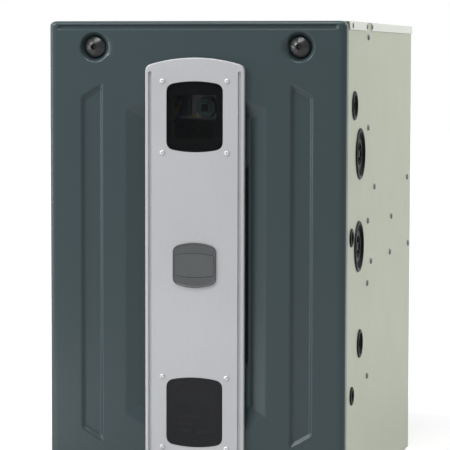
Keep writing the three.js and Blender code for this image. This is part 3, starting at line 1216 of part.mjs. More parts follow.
function dishTool(sign, grow) {
  return turned([
    [0, DOOR_FACE - 1], [DISH_RADIUS + 1 + grow, DOOR_FACE - 1], [DISH_RADIUS - 6 + grow, PRESSED_FLOOR + grow],
    [0, PRESSED_FLOOR + grow],
  ], 'y', 16, sign * LATCH_OFFSET, 0, LATCH_HEIGHT);
}

function beadTool(grow) {
  const height = CABINET_HEIGHT - 10;
  const shape = rectangle(-252 - grow, 252 + grow, height - 5 - grow, height + 4 + grow, 4.5);
  return front(shape, DOOR_FACE - 1, DOOR_FACE + 1.2 + grow, 2);
}

// A door-sized tray with rounded front edges, smaller all round by `inset`.
function doorForm(inset) {
  const edge = DOOR_EDGE - inset;
  const half = HALF_WIDTH - inset - edge;
  const shape = rectangle(-half, half, DOOR_BOTTOM + inset + edge, CABINET_HEIGHT - inset - edge, 2);
  const geometry = new THREE.ExtrudeGeometry(shape, {
    depth: DOOR_DEPTH - FIT - inset - edge, bevelThickness: edge, bevelSize: edge, bevelSegments: 3, curveSegments: 1,
  });
  const form = solid(geometry.rotateX(Math.PI / 2).translate(0, -FIT, 0));
  const behind = block(-2 * HALF_WIDTH, 2 * HALF_WIDTH, -FIT, 60, -100, 2 * CABINET_HEIGHT);
  return inset > 0 ? form : cut(form, behind);
}

// Everything pressed into the door's face: tools at the outer face, and grown by the sheet inside.
const pressings = (grow) => [
  pocketTool(grow), ribTool(1, grow), ribTool(-1, grow), dishTool(1, grow), dishTool(-1, grow), beadTool(grow),
];

const AIR_SLOT = { x0: 78, x1: 92, top: 256.4, bottom: 264 };

const viewPort = (height, y0, y1, size = VIEW_PORT) => front(
  rectangle(-size / 2, size / 2, height - size / 2, height + size / 2, 8), y0, y1,
);

// The pressed door: a tray of sheet with the pocket, ribs, dishes and bead formed in its face.
function doorPanel() {
  const skin = cut(doorForm(0), ...pressings(0));
  const hollow = cut(doorForm(SHEET), ...pressings(SHEET));
  const returns = cut(
    front(rectangle(-HALF_WIDTH + 0.6, HALF_WIDTH - 0.6, DOOR_BOTTOM + 0.6, CABINET_HEIGHT - 0.6, 2), -FIT - SHEET, -FIT),
    front(rectangle(-HALF_WIDTH + 13, HALF_WIDTH - 13, DOOR_BOTTOM + 13, CABINET_HEIGHT - 13, 4), -20, 20),
  );
  const stems = [-1, 1].map((sign) => rod(
    STEM_RADIUS + 0.8, DOOR_FACE - 5, 5, 'y', 14, sign * LATCH_OFFSET, 0, LATCH_HEIGHT,
  ));
  const ports = [UPPER_WINDOW_HEIGHT, LOWER_WINDOW_HEIGHT].map((z) => viewPort(z, DOOR_FACE - 5, LINER_FRONT));
  const slots = [-1, 1].map((sign) => front(rectangle(
    Math.min(sign * AIR_SLOT.x0, sign * AIR_SLOT.x1), Math.max(sign * AIR_SLOT.x0, sign * AIR_SLOT.x1),
    AIR_SLOT.bottom, CABINET_HEIGHT - AIR_SLOT.top, 5,
  ), DOOR_FACE - 5, LINER_FRONT));
  return cut(join(cut(skin, hollow), returns), ...stems, ...ports, ...slots);
}

// The foil-faced insulation glued to the back of the pressed face.
function doorLiner() {
  const half = HALF_WIDTH - 16;
  const pad = front(rectangle(-half, half, DOOR_BOTTOM + 14, CABINET_HEIGHT - 16, 8), LINER_FRONT, LINER_REAR);
  const stems = [-1, 1].map((sign) => rod(
    16, LINER_FRONT - 5, LINER_REAR + 5, 'y', 12, sign * LATCH_OFFSET, 0, LATCH_HEIGHT,
  ));
  const ports = [UPPER_WINDOW_HEIGHT, LOWER_WINDOW_HEIGHT].map((z) => viewPort(z, LINER_FRONT - 5, LINER_REAR + 5, VIEW_PORT + 3));
  return cut(pad, ...stems, ...ports);
}

const windowPlate = (height, grow, round) => bowedPlate(
  WINDOW_HALF_WIDTH + grow, height - WINDOW_HEIGHT / 2 - grow, height + WINDOW_HEIGHT / 2 + grow, WINDOW_ARCH, round,
);

// The silver centre strip: an arched tray standing proud of the door, with two grooves and windows.
function centreStrip() {
  const outlineAt = (inset) => bowedPlate(
    STRIP_HALF_WIDTH - inset, STRIP_BOTTOM + inset, STRIP_TOP - inset, STRIP_ARCH, 12,
  );
  const rear = DOOR_FACE - FIT;
  const chamfer = 2;
  const face = new THREE.ExtrudeGeometry(outlineAt(chamfer), {
    depth: rear - STRIP_FACE - chamfer, bevelThickness: chamfer, bevelSize: chamfer, bevelSegments: 2, curveSegments: 3,
  });
  const body = cut(
    solid(face.rotateX(Math.PI / 2).translate(0, rear, 0)),
    block(-2 * STRIP_HALF_WIDTH, 2 * STRIP_HALF_WIDTH, rear, rear + 10, 0, CABINET_HEIGHT),
    front(outlineAt(STRIP_WALL), STRIP_FACE + STRIP_WALL, rear + 5),
  );
  const grooveTool = [-1, 1].map((sign) => front(rectangle(
    sign * 80.4 - 2.6, sign * 80.4 + 2.6, STRIP_BOTTOM + 24, STRIP_TOP - 24, 2.4,
  ), STRIP_FACE - 5, STRIP_FACE + 0.9, 2));
  const windows = [UPPER_WINDOW_HEIGHT, LOWER_WINDOW_HEIGHT].map((z) => front(windowPlate(z, 0, 9), STRIP_FACE - 5, rear));
  return cut(body, ...grooveTool, ...windows);
}

// A tinted pane behind the strip's opening.
function windowPane(height) {
  const back = STRIP_FACE + STRIP_WALL + FIT;
  return front(windowPlate(height, 6, 9), back, back + 2.5);
}

// A blank barrel-shaped nameplate on the strip.
function badge() {
  const plate = front(bowedPlate(
    BADGE_HALF_WIDTH, STRIP_MIDDLE - BADGE_HEIGHT / 2, STRIP_MIDDLE + BADGE_HEIGHT / 2, BADGE_ARCH, 8,
  ), FRONT_MOST, STRIP_FACE - FIT);
  return plate;
}

// A quarter-turn latch knob: a domed grip with a centre socket, a stem and the cam behind the header.
function latchKnob() {
  const base = PRESSED_FLOOR - FIT;
  const dome = Array.from({ length: 5 }, (_, i) => {
    const angle = i / 4 * Math.PI / 2;
    return [3 + (KNOB_RADIUS - 3) * Math.cos(angle), base - 3 - (KNOB_HEIGHT - 3) * Math.sin(angle)];
  });
  const grip = turned([[0, base], [KNOB_RADIUS - 1, base], ...dome, [0, base - KNOB_HEIGHT]], 'y', 14);
  const socket = rod(2.6, base - KNOB_HEIGHT - 2, base - KNOB_HEIGHT + 5, 'y', 6);
  const camFront = SHEET + 1.6;
  const stem = rod(STEM_RADIUS, base - 2, camFront + 5, 'y', 10);
  const [w, h] = [CAM_LENGTH / 2, CAM_WIDTH / 2];
  const cam = front(rectangle(-w, w, -h, h, h * 0.9), camFront, camFront + 4, 3);
  return join(cut(grip, socket), stem, cam);
}

function addDoor() {
  const door = subassembly();
  addPart(door, 'door_panel', doorPanel(), FINISH.door);
  addPart(door, 'door_liner', doorLiner(), FINISH.liner);
  addPart(door, 'centre_strip', centreStrip(), FINISH.strip);
  addPart(door, 'upper_window', windowPane(UPPER_WINDOW_HEIGHT), FINISH.window);
  addPart(door, 'lower_window', windowPane(LOWER_WINDOW_HEIGHT), FINISH.window);
  addPart(door, 'badge', badge(), FINISH.badge);
  const right = subassembly(LATCH_OFFSET, 0, LATCH_HEIGHT);
  addPart(right, 'knob_right', latchKnob(), FINISH.blackPlastic);
  const left = subassembly(-LATCH_OFFSET, 0, LATCH_HEIGHT);
  addPart(left, 'knob_left', latchKnob(), FINISH.blackPlastic);
}

addCabinet();
addHeatExchanger();
addBurners();
addVenting();
addBlower();
addControls();
addDoor();

export default furnace;
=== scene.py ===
"""Looks of an upflow condensing gas furnace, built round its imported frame.

Lengths in the helpers are millimetres in the cabinet's frame: x from the centre line, y back from the
cabinet's front edge, z up from the floor. place() turns them into the row frame, in metres.
"""

from math import atan2, copysign, cos, degrees, dist, exp, hypot, log, pi, radians, sin, sqrt

import bmesh
import bpy
from mathutils import Matrix, Vector, geometry


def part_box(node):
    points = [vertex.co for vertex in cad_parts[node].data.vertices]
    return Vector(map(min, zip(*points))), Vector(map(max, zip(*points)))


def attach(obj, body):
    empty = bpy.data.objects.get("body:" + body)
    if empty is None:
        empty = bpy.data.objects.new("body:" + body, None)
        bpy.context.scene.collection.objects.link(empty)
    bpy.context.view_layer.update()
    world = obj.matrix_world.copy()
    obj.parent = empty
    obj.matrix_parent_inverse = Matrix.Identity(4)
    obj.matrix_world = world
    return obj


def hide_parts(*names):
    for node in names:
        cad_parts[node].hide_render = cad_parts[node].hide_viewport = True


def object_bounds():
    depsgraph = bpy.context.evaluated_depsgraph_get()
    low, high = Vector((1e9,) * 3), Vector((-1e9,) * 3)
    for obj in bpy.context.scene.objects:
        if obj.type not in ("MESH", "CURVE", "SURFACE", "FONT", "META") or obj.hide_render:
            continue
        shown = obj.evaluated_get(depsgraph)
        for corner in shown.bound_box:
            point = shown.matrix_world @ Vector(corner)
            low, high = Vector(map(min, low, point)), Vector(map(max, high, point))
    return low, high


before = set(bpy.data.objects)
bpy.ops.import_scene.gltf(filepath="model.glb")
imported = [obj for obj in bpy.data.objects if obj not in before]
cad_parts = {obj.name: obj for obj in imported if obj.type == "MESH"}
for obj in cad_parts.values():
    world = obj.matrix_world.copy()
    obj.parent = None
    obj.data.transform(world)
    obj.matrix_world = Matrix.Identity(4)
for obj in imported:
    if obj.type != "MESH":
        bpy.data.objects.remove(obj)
cad_box = [list(corner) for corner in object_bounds()]

MM = 0.001
FRONT_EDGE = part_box("cabinet_wrapper")[0].y


def place(x, y, z):
    """A point of the cabinet's frame, in the row frame."""
    return Vector((x * MM, y * MM + FRONT_EDGE, z * MM))


def span(node):
    """A node's lowest and highest corners in millimetres, in the cabinet's frame."""
    low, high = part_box(node)
    return [[c.x / MM, (c.y - FRONT_EDGE) / MM, c.z / MM] for c in (low, high)]


def middle(node):
    """The centre of a node's box."""
    low, high = span(node)
    return [(a + b) / 2 for a, b in zip(low, high)]


# ---------------------------------------------------------------- camera, light and floor

CAMERA_PLACE = (0.9501, -4.2609, 0.8006)
CAMERA_YAW = 13.002
CAMERA_DIP = 4.198
CAMERA_ROLL = 0.109
CAMERA_LENS = 182.96


def make_camera():
    """The view of the photograph: a long lens, from in front and to the right."""
    camera = bpy.data.objects.new("camera", bpy.data.cameras.new("camera"))
    camera.data.lens = CAMERA_LENS
    camera.data.sensor_width = 36
    camera.data.clip_end = 60
    tilt = Matrix.Rotation(radians(90 - CAMERA_DIP), 4, "X")
    turn = Matrix.Rotation(radians(CAMERA_YAW), 4, "Z")
    roll = Matrix.Rotation(radians(CAMERA_ROLL), 4, "Z")
    camera.matrix_world = Matrix.Translation(CAMERA_PLACE) @ turn @ tilt @ roll
    bpy.context.scene.collection.objects.link(camera)
    bpy.context.scene.camera = camera


def soft_light(name, at, towards, size, watts):
    """A rectangular lamp that the camera does not see."""
    light = bpy.data.lights.new(name, "AREA")
    light.shape = "RECTANGLE"
    light.size, light.size_y = size
    light.energy = watts
    lamp = bpy.data.objects.new(name, light)
    aim = Vector(towards) - Vector(at)
    lamp.visible_camera = False
    lamp.matrix_world = Matrix.Translation(at) @ aim.to_track_quat("-Z", "Y").to_matrix().to_4x4()
    bpy.context.scene.collection.objects.link(lamp)


LAMPS = {  # place, what it faces, size, watts
    "key": ((-3.0, -2.3, 2.7), (0, 0, 0.55), (1.1, 1.1), 82),
    "strip": ((-3.0, -1.2, 0.75), (0, -0.35, 0.5), (0.2, 1.4), 22),
    "low": ((-0.55, -0.85, 0.06), (0, -0.35, 0.7), (0.5, 0.3), 0.8),
    "fill": ((2.6, 0.8, 2.7), (0.25, 0, 0.95), (1.1, 1.1), 76),
    "accent": ((-1.1, -1.3, 2.0), (-0.1, -0.35, 0.8), (0.5, 0.5), 10),
    "top": ((0.1, -1.3, 3.1), (0, -0.2, 0.8), (1.8, 0.2), 40),
}
AMBIENT = 0.1


def make_world():
    """A background that is white to the camera and in reflections, and lights the model only a little."""
    world = bpy.data.worlds.new("studio")
    world.use_nodes = True
    bpy.context.scene.world = world
    tree = world.node_tree
    background = tree.nodes["Background"]
    background.inputs["Color"].default_value = (1, 1, 1, 1)
    paths = tree.nodes.new("ShaderNodeLightPath")
    seen = maximum(tree, paths.outputs["Is Camera Ray"], paths.outputs["Is Transmission Ray"])
    seen = maximum(tree, seen, paths.outputs["Is Glossy Ray"])
    level = tree.nodes.new("ShaderNodeMapRange")
    level.inputs["To Min"].default_value = AMBIENT
    level.inputs["To Max"].default_value = 1.0
    tree.links.new(seen, level.inputs["Value"])
    tree.links.new(level.outputs["Result"], background.inputs["Strength"])


def maximum(tree, a, b):
    node = tree.nodes.new("ShaderNodeMath")
    node.operation = "MAXIMUM"
    tree.links.new(a, node.inputs[0])
    tree.links.new(b, node.inputs[1])
    return node.outputs[0]


FLOOR_SIZE, FLOOR_DROP = 40, 0.0005
GLOW_NEAR, GLOW_FAR = 0.5, 1.0
GLOW_RADII = (0.8, 2.4)


def make_floor():
    """A pale floor that the camera sees as white where it is lit, and that keeps the shadows."""
    bpy.ops.mesh.primitive_plane_add(size=FLOOR_SIZE, location=(0, 0, -FLOOR_DROP))
    floor = bpy.context.object
    floor.name = "studio_floor"
    tint = bpy.data.materials.new("studio_floor")
    tint.use_nodes = True
    tree = tint.node_tree
    shader = tree.nodes["Principled BSDF"]
    shader.inputs["Base Color"].default_value = (0.7, 0.7, 0.7, 1)
    shader.inputs["Roughness"].default_value = 0.9
    shader.inputs["Specular IOR Level"].default_value = 0.0
    shader.inputs["Emission Color"].default_value = (1, 1, 1, 1)
    paths = tree.nodes.new("ShaderNodeLightPath")
    spot = tree.nodes.new("ShaderNodeVectorMath")
    spot.operation = "LENGTH"
    tree.links.new(tree.nodes.new("ShaderNodeTexCoord").outputs["Object"], spot.inputs[0])
    level = tree.nodes.new("ShaderNodeMapRange")
    level.inputs["From Min"].default_value, level.inputs["From Max"].default_value = GLOW_RADII
    level.inputs["To Min"].default_value, level.inputs["To Max"].default_value = GLOW_NEAR, GLOW_FAR
    tree.links.new(spot.outputs["Value"], level.inputs["Value"])
    glow = tree.nodes.new("ShaderNodeMath")
    glow.operation = "MULTIPLY"
    tree.links.new(
        maximum(tree, paths.outputs["Is Camera Ray"], paths.outputs["Is Glossy Ray"]), glow.inputs[0]
    )
    tree.links.new(level.outputs["Result"], glow.inputs[1])
    tree.links.new(glow.outputs[0], shader.inputs["Emission Strength"])
    floor.data.materials.append(tint)


make_camera()
make_world()
make_floor()
for lamp_name, lamp_setting in LAMPS.items():
    soft_light(lamp_name, *lamp_setting)
bpy.context.scene.view_settings.view_transform = "Standard"

# ---------------------------------------------------------------- materials


def linear(red, green, blue):
    """A colour given as 0-255 screen values, as the linear values that shaders take."""
    values = [c / 255 for c in (red, green, blue)]
    return tuple(c / 12.92 if c <= 0.04045 else ((c + 0.055) / 1.055) ** 2.4 for c in values)


class Paint:
    """A node material: a Principled shader with texture nodes laid over its colour, gloss and bump."""

    def __init__(self, name, colour, roughness, metallic=0.0, **sockets):
        self.material = bpy.data.materials.new(name)
        self.material.use_nodes = True
        self.tree = self.material.node_tree
        self.shader = self.tree.nodes["Principled BSDF"]
        self.base = linear(*colour)
        self.roughness = roughness
        self.shader.inputs["Base Color"].default_value = (*self.base, 1)
        self.shader.inputs["Roughness"].default_value = roughness
        self.shader.inputs["Metallic"].default_value = metallic
        for socket, value in sockets.items():
            self.shader.inputs[socket.replace("_", " ")].default_value = value
        self.place = self.node("ShaderNodeTexCoord").outputs["Object"]
        self.colour = None
        self.normal = None

    def node(self, kind, settings=None, **sockets):
        made = self.tree.nodes.new(kind)
        for attribute, value in (settings or {}).items():
            setattr(made, attribute, value)
        for socket, value in sockets.items():
            name = socket.replace("_", " ")
            if isinstance(value, bpy.types.NodeSocket):
                self.tree.links.new(value, made.inputs[name])
            else:
                made.inputs[name].default_value = value
        return made

    def stretched(self, x, y, z):
        """The surface's own coordinates, scaled along each axis, for brushed and wound finishes."""
        return self.node("ShaderNodeMapping", Vector=self.place, Scale=(x, y, z)).outputs["Vector"]

    def noise(self, scale, detail, vector=None):
        return self.node(
            "ShaderNodeTexNoise", Vector=vector or self.place, Scale=scale, Detail=detail
        ).outputs["Fac"]

    def cells(self, scale):
        return self.node("ShaderNodeTexVoronoi", {"feature": "F1"}, Vector=self.place, Scale=scale)

    def factor(self, source):
        """A factor is a node's output, or noise given as (scale, detail)."""
        return self.noise(*source) if isinstance(source, tuple) else source

    def ranged(self, source, low, high):
        """A factor's usual range, stretched to run from low to high."""
        usual = {"From_Min": 0.3, "From_Max": 0.7}
        node = self.node("ShaderNodeMapRange", Value=self.factor(source), **usual, To_Min=low, To_Max=high)
        return node.outputs["Result"]

    def tinted(self, source, dark, light):
        """Multiplies the colour so that it runs from dark to light times itself with the factor."""
        shade = self.ranged(source, dark, light)
        mixed = self.node("ShaderNodeVectorMath", {"operation": "SCALE"})
        if self.colour is None:
            mixed.inputs[0].default_value = self.base
        else:
            self.tree.links.new(self.colour, mixed.inputs[0])
        self.tree.links.new(shade, mixed.inputs["Scale"])
        self.colour = mixed.outputs["Vector"]

    def over(self, factor, colour):
        """Lays another colour over this one where the factor is 1."""
        mixed = self.node("ShaderNodeMix", {"data_type": "RGBA"})
        self.tree.links.new(factor, mixed.inputs["Factor"])
        under, laid = mixed.inputs[6], mixed.inputs[7]
        if self.colour is None:
            under.default_value = (*self.base, 1)
        else:
            self.tree.links.new(self.colour, under)
        laid.default_value = (*linear(*colour), 1)
        self.colour = mixed.outputs[2]

    def above(self, factor, edge, soft=0.04):
        """1 where the factor is above the edge, 0 below it."""
        return self.node(
            "ShaderNodeMapRange", Value=factor, From_Min=edge - soft, From_Max=edge + soft
        ).outputs["Result"]

    def glossed(self, source, spread):
        """Makes the roughness run a little under and over its own value with the factor."""
        low, high = self.roughness * (1 - spread), min(self.roughness * (1 + spread), 1)
        self.tree.links.new(self.ranged(source, low, high), self.shader.inputs["Roughness"])

    def bumped(self, source, millimetres, strength):
        """Adds relief as deep as the given millimetres, over any relief before it."""
        height = self.factor(source)
        bump = self.node("ShaderNodeBump", Height=height, Distance=millimetres * MM, Strength=strength)
        if self.normal is not None:
            self.tree.links.new(self.normal, bump.inputs["Normal"])
        self.normal = bump.outputs["Normal"]

    def worn(self, radius, colour, amount=0.8):
        """Lays a lighter colour along edges, broken up by noise."""
        smooth = self.node("ShaderNodeBevel", {"samples": 4}, Radius=radius * MM)
        sharp = self.node("ShaderNodeNewGeometry").outputs["Normal"]
        likeness = self.node("ShaderNodeVectorMath", {"operation": "DOT_PRODUCT"})
        self.tree.links.new(smooth.outputs["Normal"], likeness.inputs[0])
        self.tree.links.new(sharp, likeness.inputs[1])
        edge = self.node(
            "ShaderNodeMapRange", Value=likeness.outputs["Value"], From_Min=0.97, From_Max=0.8, To_Max=amount
        ).outputs["Result"]
        broken = self.node("ShaderNodeMath", {"operation": "MULTIPLY"})
        self.tree.links.new(edge, broken.inputs[0])
        self.tree.links.new(self.above(self.noise(160, 4), 0.5, 0.12), broken.inputs[1])
        self.over(broken.outputs[0], colour)

    def done(self):
        if self.colour is not None:
            self.tree.links.new(self.colour, self.shader.inputs["Base Color"])
        if self.normal is not None:
            self.tree.links.new(self.normal, self.shader.inputs["Normal"])
        return self.material


def baked_enamel(name, colour, roughness, drift, bare):
    """Sprayed and baked paint: faint orange peel, slow drift in tone, small rubs along its edges."""
    paint = Paint(name, colour, roughness, Specular_IOR_Level=0.3)
    paint.tinted((2.2, 1), 1 - drift, 1 + drift)
    paint.tinted((900, 1), 0.985, 1.015)
    paint.glossed((14, 3), 0.05)
    paint.bumped((420, 2), 0.035, 0.6)
    paint.worn(0.8, bare, 0.35)
    return paint.done()


def zinc_coated(name, colour, spangle, roughness=0.42, metallic=0.75):
    """Galvanised or aluminised sheet: crystal flakes, each with its own tone and gloss."""
    paint = Paint(name, colour, roughness, metallic)
    flakes = paint.cells(spangle)
    tone = paint.node("ShaderNodeSeparateColor", Color=flakes.outputs["Color"]).outputs["Red"]
    paint.tinted(tone, 0.9, 1.07)
    paint.tinted((9, 3), 0.93, 1.06)
    paint.glossed(tone, 0.22)
    paint.bumped((500, 2), 0.02, 0.5)
    return paint.done()


def moulded(name, colour, roughness, grain=700, depth=0.04, **sockets):
    """Moulded plastic or rubber: even colour, fine grain, a few duller patches."""
    paint = Paint(name, colour, roughness, **sockets)
    paint.tinted((30, 3), 0.93, 1.07)
    paint.glossed((24, 3), 0.18)
    paint.bumped((grain, 2), depth, 0.6)
    return paint.done()


def satin_silver():
    """The centre strip's fine-brushed silver finish, brushed up and down."""
    paint = Paint("strip_silver", (178, 179, 182), 0.38, 0.25)
    strokes = paint.noise(1, 3, paint.stretched(2600, 400, 30))
    paint.tinted(strokes, 0.965, 1.03)
    paint.tinted((5, 2), 0.97, 1.03)
    paint.glossed((40, 3), 0.1)
    paint.bumped(strokes, 0.012, 0.5)
    paint.worn(0.6, (235, 235, 238), 0.5)
    return paint.done()


def smoked_glass(name, colour, specular, alpha):
    """A smoked pane: nearly black, polished, with a little haze and dust."""
    paint = Paint(name, colour, 0.07, Specular_IOR_Level=specular, Alpha=alpha)
    paint.over(paint.above(paint.noise(420, 3), 0.73, 0.03), (52, 56, 60))
    paint.glossed((20, 3), 0.5)
    return paint.done()


def turned_metal(name, colour, roughness, metallic=0.85):
    """Plated or machined metal with fine scratches."""
    paint = Paint(name, colour, roughness, metallic)
    paint.tinted((60, 4), 0.92, 1.08)
    paint.glossed((180, 3), 0.25)
    paint.bumped((900, 3), 0.02, 0.5)
    paint.worn(0.5, tuple(min(255, c + 45) for c in colour), 0.5)
    return paint.done()


def cast_alloy():
    """A die-cast body: grey, sandy, darker in patches."""
    paint = Paint("cast_alloy", (146, 150, 154), 0.5, 0.65)
    paint.tinted((45, 4), 0.88, 1.08)
    paint.bumped((650, 3), 0.12, 0.8)
    paint.glossed((90, 3), 0.2)
    paint.worn(0.8, (192, 195, 198), 0.6)
    return paint.done()


def solder_resist():
    """A circuit board: green resist over a maze of copper tracks."""
    paint = Paint("solder_resist", (28, 84, 44), 0.32)
    tracks = paint.node(
        "ShaderNodeTexBrick", {"offset": 0.37}, Vector=paint.stretched(1, 1, 1), Scale=110.0, Mortar_Size=0.06
    )
    bare = paint.node("ShaderNodeRGBToBW", Color=tracks.outputs["Color"]).outputs["Val"]
    paint.over(paint.above(paint.noise(70, 1), 0.52, 0.02), (40, 104, 56))
    paint.tinted(bare, 0.8, 1.15)
    paint.bumped((220, 1), 0.05, 0.6)
    return paint.done()


def foil_blanket():
    """Foil-faced insulation: crinkled aluminium foil with a scrim of threads under it."""
    paint = Paint("foil_blanket", (176, 178, 180), 0.36, 0.7)
    white, black = (1, 1, 1, 1), (0, 0, 0, 1)
    scrim = paint.node(
        "ShaderNodeTexBrick", {"offset": 0.0}, Vector=paint.stretched(1, 0, 1), Scale=40.0,
        Mortar_Size=0.035, Color1=white, Color2=white, Mortar=black,
    )
    threads = paint.node("ShaderNodeRGBToBW", Color=scrim.outputs["Color"]).outputs["Val"]
    paint.tinted((12, 3), 0.86, 1.08)
    paint.tinted(threads, 0.9, 1.02)
    paint.bumped(threads, 0.25, 0.5)
    paint.bumped((60, 4), 1.2, 0.6)
    paint.glossed((50, 4), 0.3)
    return paint.done()


def fired_ceramic():
    """Unglazed white ceramic with a rough grain."""
    paint = Paint("fired_ceramic", (228, 222, 208), 0.72)
    paint.tinted((90, 4), 0.9, 1.04)
    paint.bumped((900, 2), 0.06, 0.7)
    return paint.done()


def wound_copper():
    """Windings: enamelled wire lying in rows."""
    paint = Paint("wound_copper", (156, 84, 42), 0.35, 0.8)
    rows = paint.node(
        "ShaderNodeTexWave", {"bands_direction": "Z"}, Vector=paint.place, Scale=260.0, Distortion=0.6
    )
    paint.tinted(rows.outputs["Fac"], 0.6, 1.15)
    paint.bumped(rows.outputs["Fac"], 0.4, 0.8)
    return paint.done()


def heat_stained(name, colour):
    """Aluminised tube: dull grey with brown and blue stains where it has been hot."""
    paint = Paint(name, colour, 0.45, 0.7)
    paint.over(paint.above(paint.noise(9, 4), 0.62, 0.2), (118, 104, 92))
    paint.tinted((160, 3), 0.9, 1.08)
    paint.bumped((600, 2), 0.03, 0.6)
    paint.glossed((40, 3), 0.2)
    return paint.done()


SKIN = {  # the slot that a finish fills by default, and its material
    "cabinet": (
        "cabinet_paint", baked_enamel("cabinet_enamel", (170, 176, 157), 0.45, 0.006, (205, 208, 200))
    ),
    # the top panels' enamel is lighter than the sides': painted light, for the light their upward-facing band
    # along the top catches
    "lit_top": ("cabinet_paint", baked_enamel("lit_top_enamel", (214, 218, 209), 0.4, 0.01, (232, 234, 228))),
    "door": ("door_paint", baked_enamel("door_enamel", (50, 64, 67), 0.3, 0.02, (112, 122, 124))),
    "galvanised": ("galvanised_steel", zinc_coated("galvanised_sheet", (170, 174, 176), 120)),
    "aluminised": ("aluminised_steel", heat_stained("aluminised_tube", (150, 153, 153))),
    "aluminised_sheet": ("aluminised_steel", zinc_coated("aluminised_sheet", (158, 161, 161), 420, 0.5, 0.7)),
    "silver": ("strip_silver", satin_silver()),
    "glass": ("window_tint", smoked_glass("smoked_glass", (9, 11, 13), 0.1, 0.35)),
    "hazy_glass": ("window_tint", smoked_glass("hazy_smoked_glass", (14, 16, 21), 0.26, 0.66)),
    "gloss_black": (
        "black_plastic", moulded("gloss_black", (10, 11, 12), 0.3, 500, 0.02, Specular_IOR_Level=0.4)
    ),
    "black": ("black_plastic", moulded("satin_black", (27, 28, 30), 0.38)),
    "matt_black": (
        "black_plastic", moulded("matt_black", (14, 15, 16), 0.7, 700, 0.04, Specular_IOR_Level=0.15)
    ),
    "plug": ("black_plastic", moulded("plug_black", (9, 10, 12), 0.42, 600, 0.03, Specular_IOR_Level=0.07)),
    "badge": ("badge_plate", moulded("badge_grey", (70, 73, 74), 0.42, 900, 0.03)),
    "badge_band": ("badge_plate", moulded("badge_band", (74, 77, 78), 0.36, 900, 0.03)),
    "polymer": ("moulded_polymer", moulded("moulded_polymer", (44, 47, 51), 0.5, 420, 0.08)),
    "selector": ("black_plastic", moulded("selector_blue_grey", (132, 162, 170), 0.4)),
    "white": ("white_plastic", moulded("white_plastic", (212, 212, 206), 0.42, 500, 0.03)),
    "cream": ("white_plastic", moulded("cream_plastic", (208, 200, 176), 0.45)),
    "red": ("black_plastic", moulded("red_plastic", (168, 38, 32), 0.42)),
    "blue": ("black_plastic", moulded("blue_plastic", (40, 74, 140), 0.42)),
    "yellow": ("white_plastic", moulded("yellow_plastic", (206, 168, 44), 0.42)),
    "green": ("white_plastic", moulded("green_plastic", (44, 120, 64), 0.42)),
    "orange": ("black_plastic", moulded("orange_plastic", (206, 104, 36), 0.42)),
    "rubber": ("hose_rubber", moulded("hose_rubber", (24, 25, 26), 0.66, 380, 0.08)),
    "cast": ("cast_metal", cast_alloy()),
    "steel": ("plain_steel", turned_metal("plated_steel", (150, 154, 158), 0.34)),
    "dark_steel": ("plain_steel", turned_metal("dark_steel", (92, 94, 97), 0.4)),
    "side_screw": ("plain_steel", turned_metal("side_screw", (108, 106, 114), 0.45, 0.3)),
    "screw": ("plain_steel", turned_metal("zinc_screw", (190, 192, 192), 0.3, 0.6)),
    "brass": ("plain_steel", turned_metal("brass", (186, 152, 84), 0.3)),
    "iron": ("plain_steel", turned_metal("iron_laminations", (104, 102, 100), 0.5, 0.6)),
    "motor": ("motor_paint", baked_enamel("motor_enamel", (52, 56, 60), 0.42, 0.04, (120, 122, 124))),
    "board": ("circuit_board", solder_resist()),
    "foil": ("insulation", foil_blanket()),
    "ceramic": ("ceramic", fired_ceramic()),
    "copper": ("plain_steel", wound_copper()),
}

# ---------------------------------------------------------------- shapes, as (points, faces) in millimetres


def turned_to(axis, u, v, w):
    """A point whose outline lies across the axis at (u, v), at w along it."""
    spread = [0, 0, 0]
    for value, place_in in zip((u, v, w), {"x": (1, 2, 0), "y": (0, 2, 1), "z": (0, 1, 2)}[axis]):
        spread[place_in] = value
    return tuple(spread)


def merged(*shapes):
    points, faces = [], []
    for more_points, more_faces in shapes:
        start = len(points)
        points.extend(more_points)
        faces.extend([tuple(i + start for i in face) for face in more_faces])
    return points, faces


def moved(shape, x=0.0, y=0.0, z=0.0):
    return [(a + x, b + y, c + z) for a, b, c in shape[0]], shape[1]


def spun(shape, axis, degrees, about=(0, 0, 0)):
    turn = Matrix.Rotation(radians(degrees), 3, axis.upper())
    centre = Vector(about)
    return [tuple(turn @ (Vector(p) - centre) + centre) for p in shape[0]], shape[1]


def mirrored(shape):
    return [(-x, y, z) for x, y, z in shape[0]], [tuple(reversed(face)) for face in shape[1]]


def lathe(profile, axis, at=(0, 0, 0), segments=40):
    """Turns a profile of (radius, place along the axis) about the axis."""
    points, faces, rows = [], [], []
    for radius, along in profile:
        if radius < 1e-6:
            rows.append([len(points)])
            points.append(turned_to(axis, 0, 0, along))
            continue
        rows.append(list(range(len(points), len(points) + segments)))
        for i in range(segments):
            angle = 2 * pi * i / segments
            points.append(turned_to(axis, radius * cos(angle), radius * sin(angle), along))
    for row, after in zip(rows, rows[1:]):
        for i in range(segments):
            j = (i + 1) % segments
            ring = [row[i % len(row)], row[j % len(row)], after[j % len(after)], after[i % len(after)]]
            face = [p for k, p in enumerate(ring) if p != ring[k - 1]]
            if len(face) > 2:
                faces.append(tuple(face))
    return moved((points, faces), *at)


def raised(level, profile):
    """A profile whose places along the axis are given from a level."""
    return [(radius, level + along) for radius, along in profile]


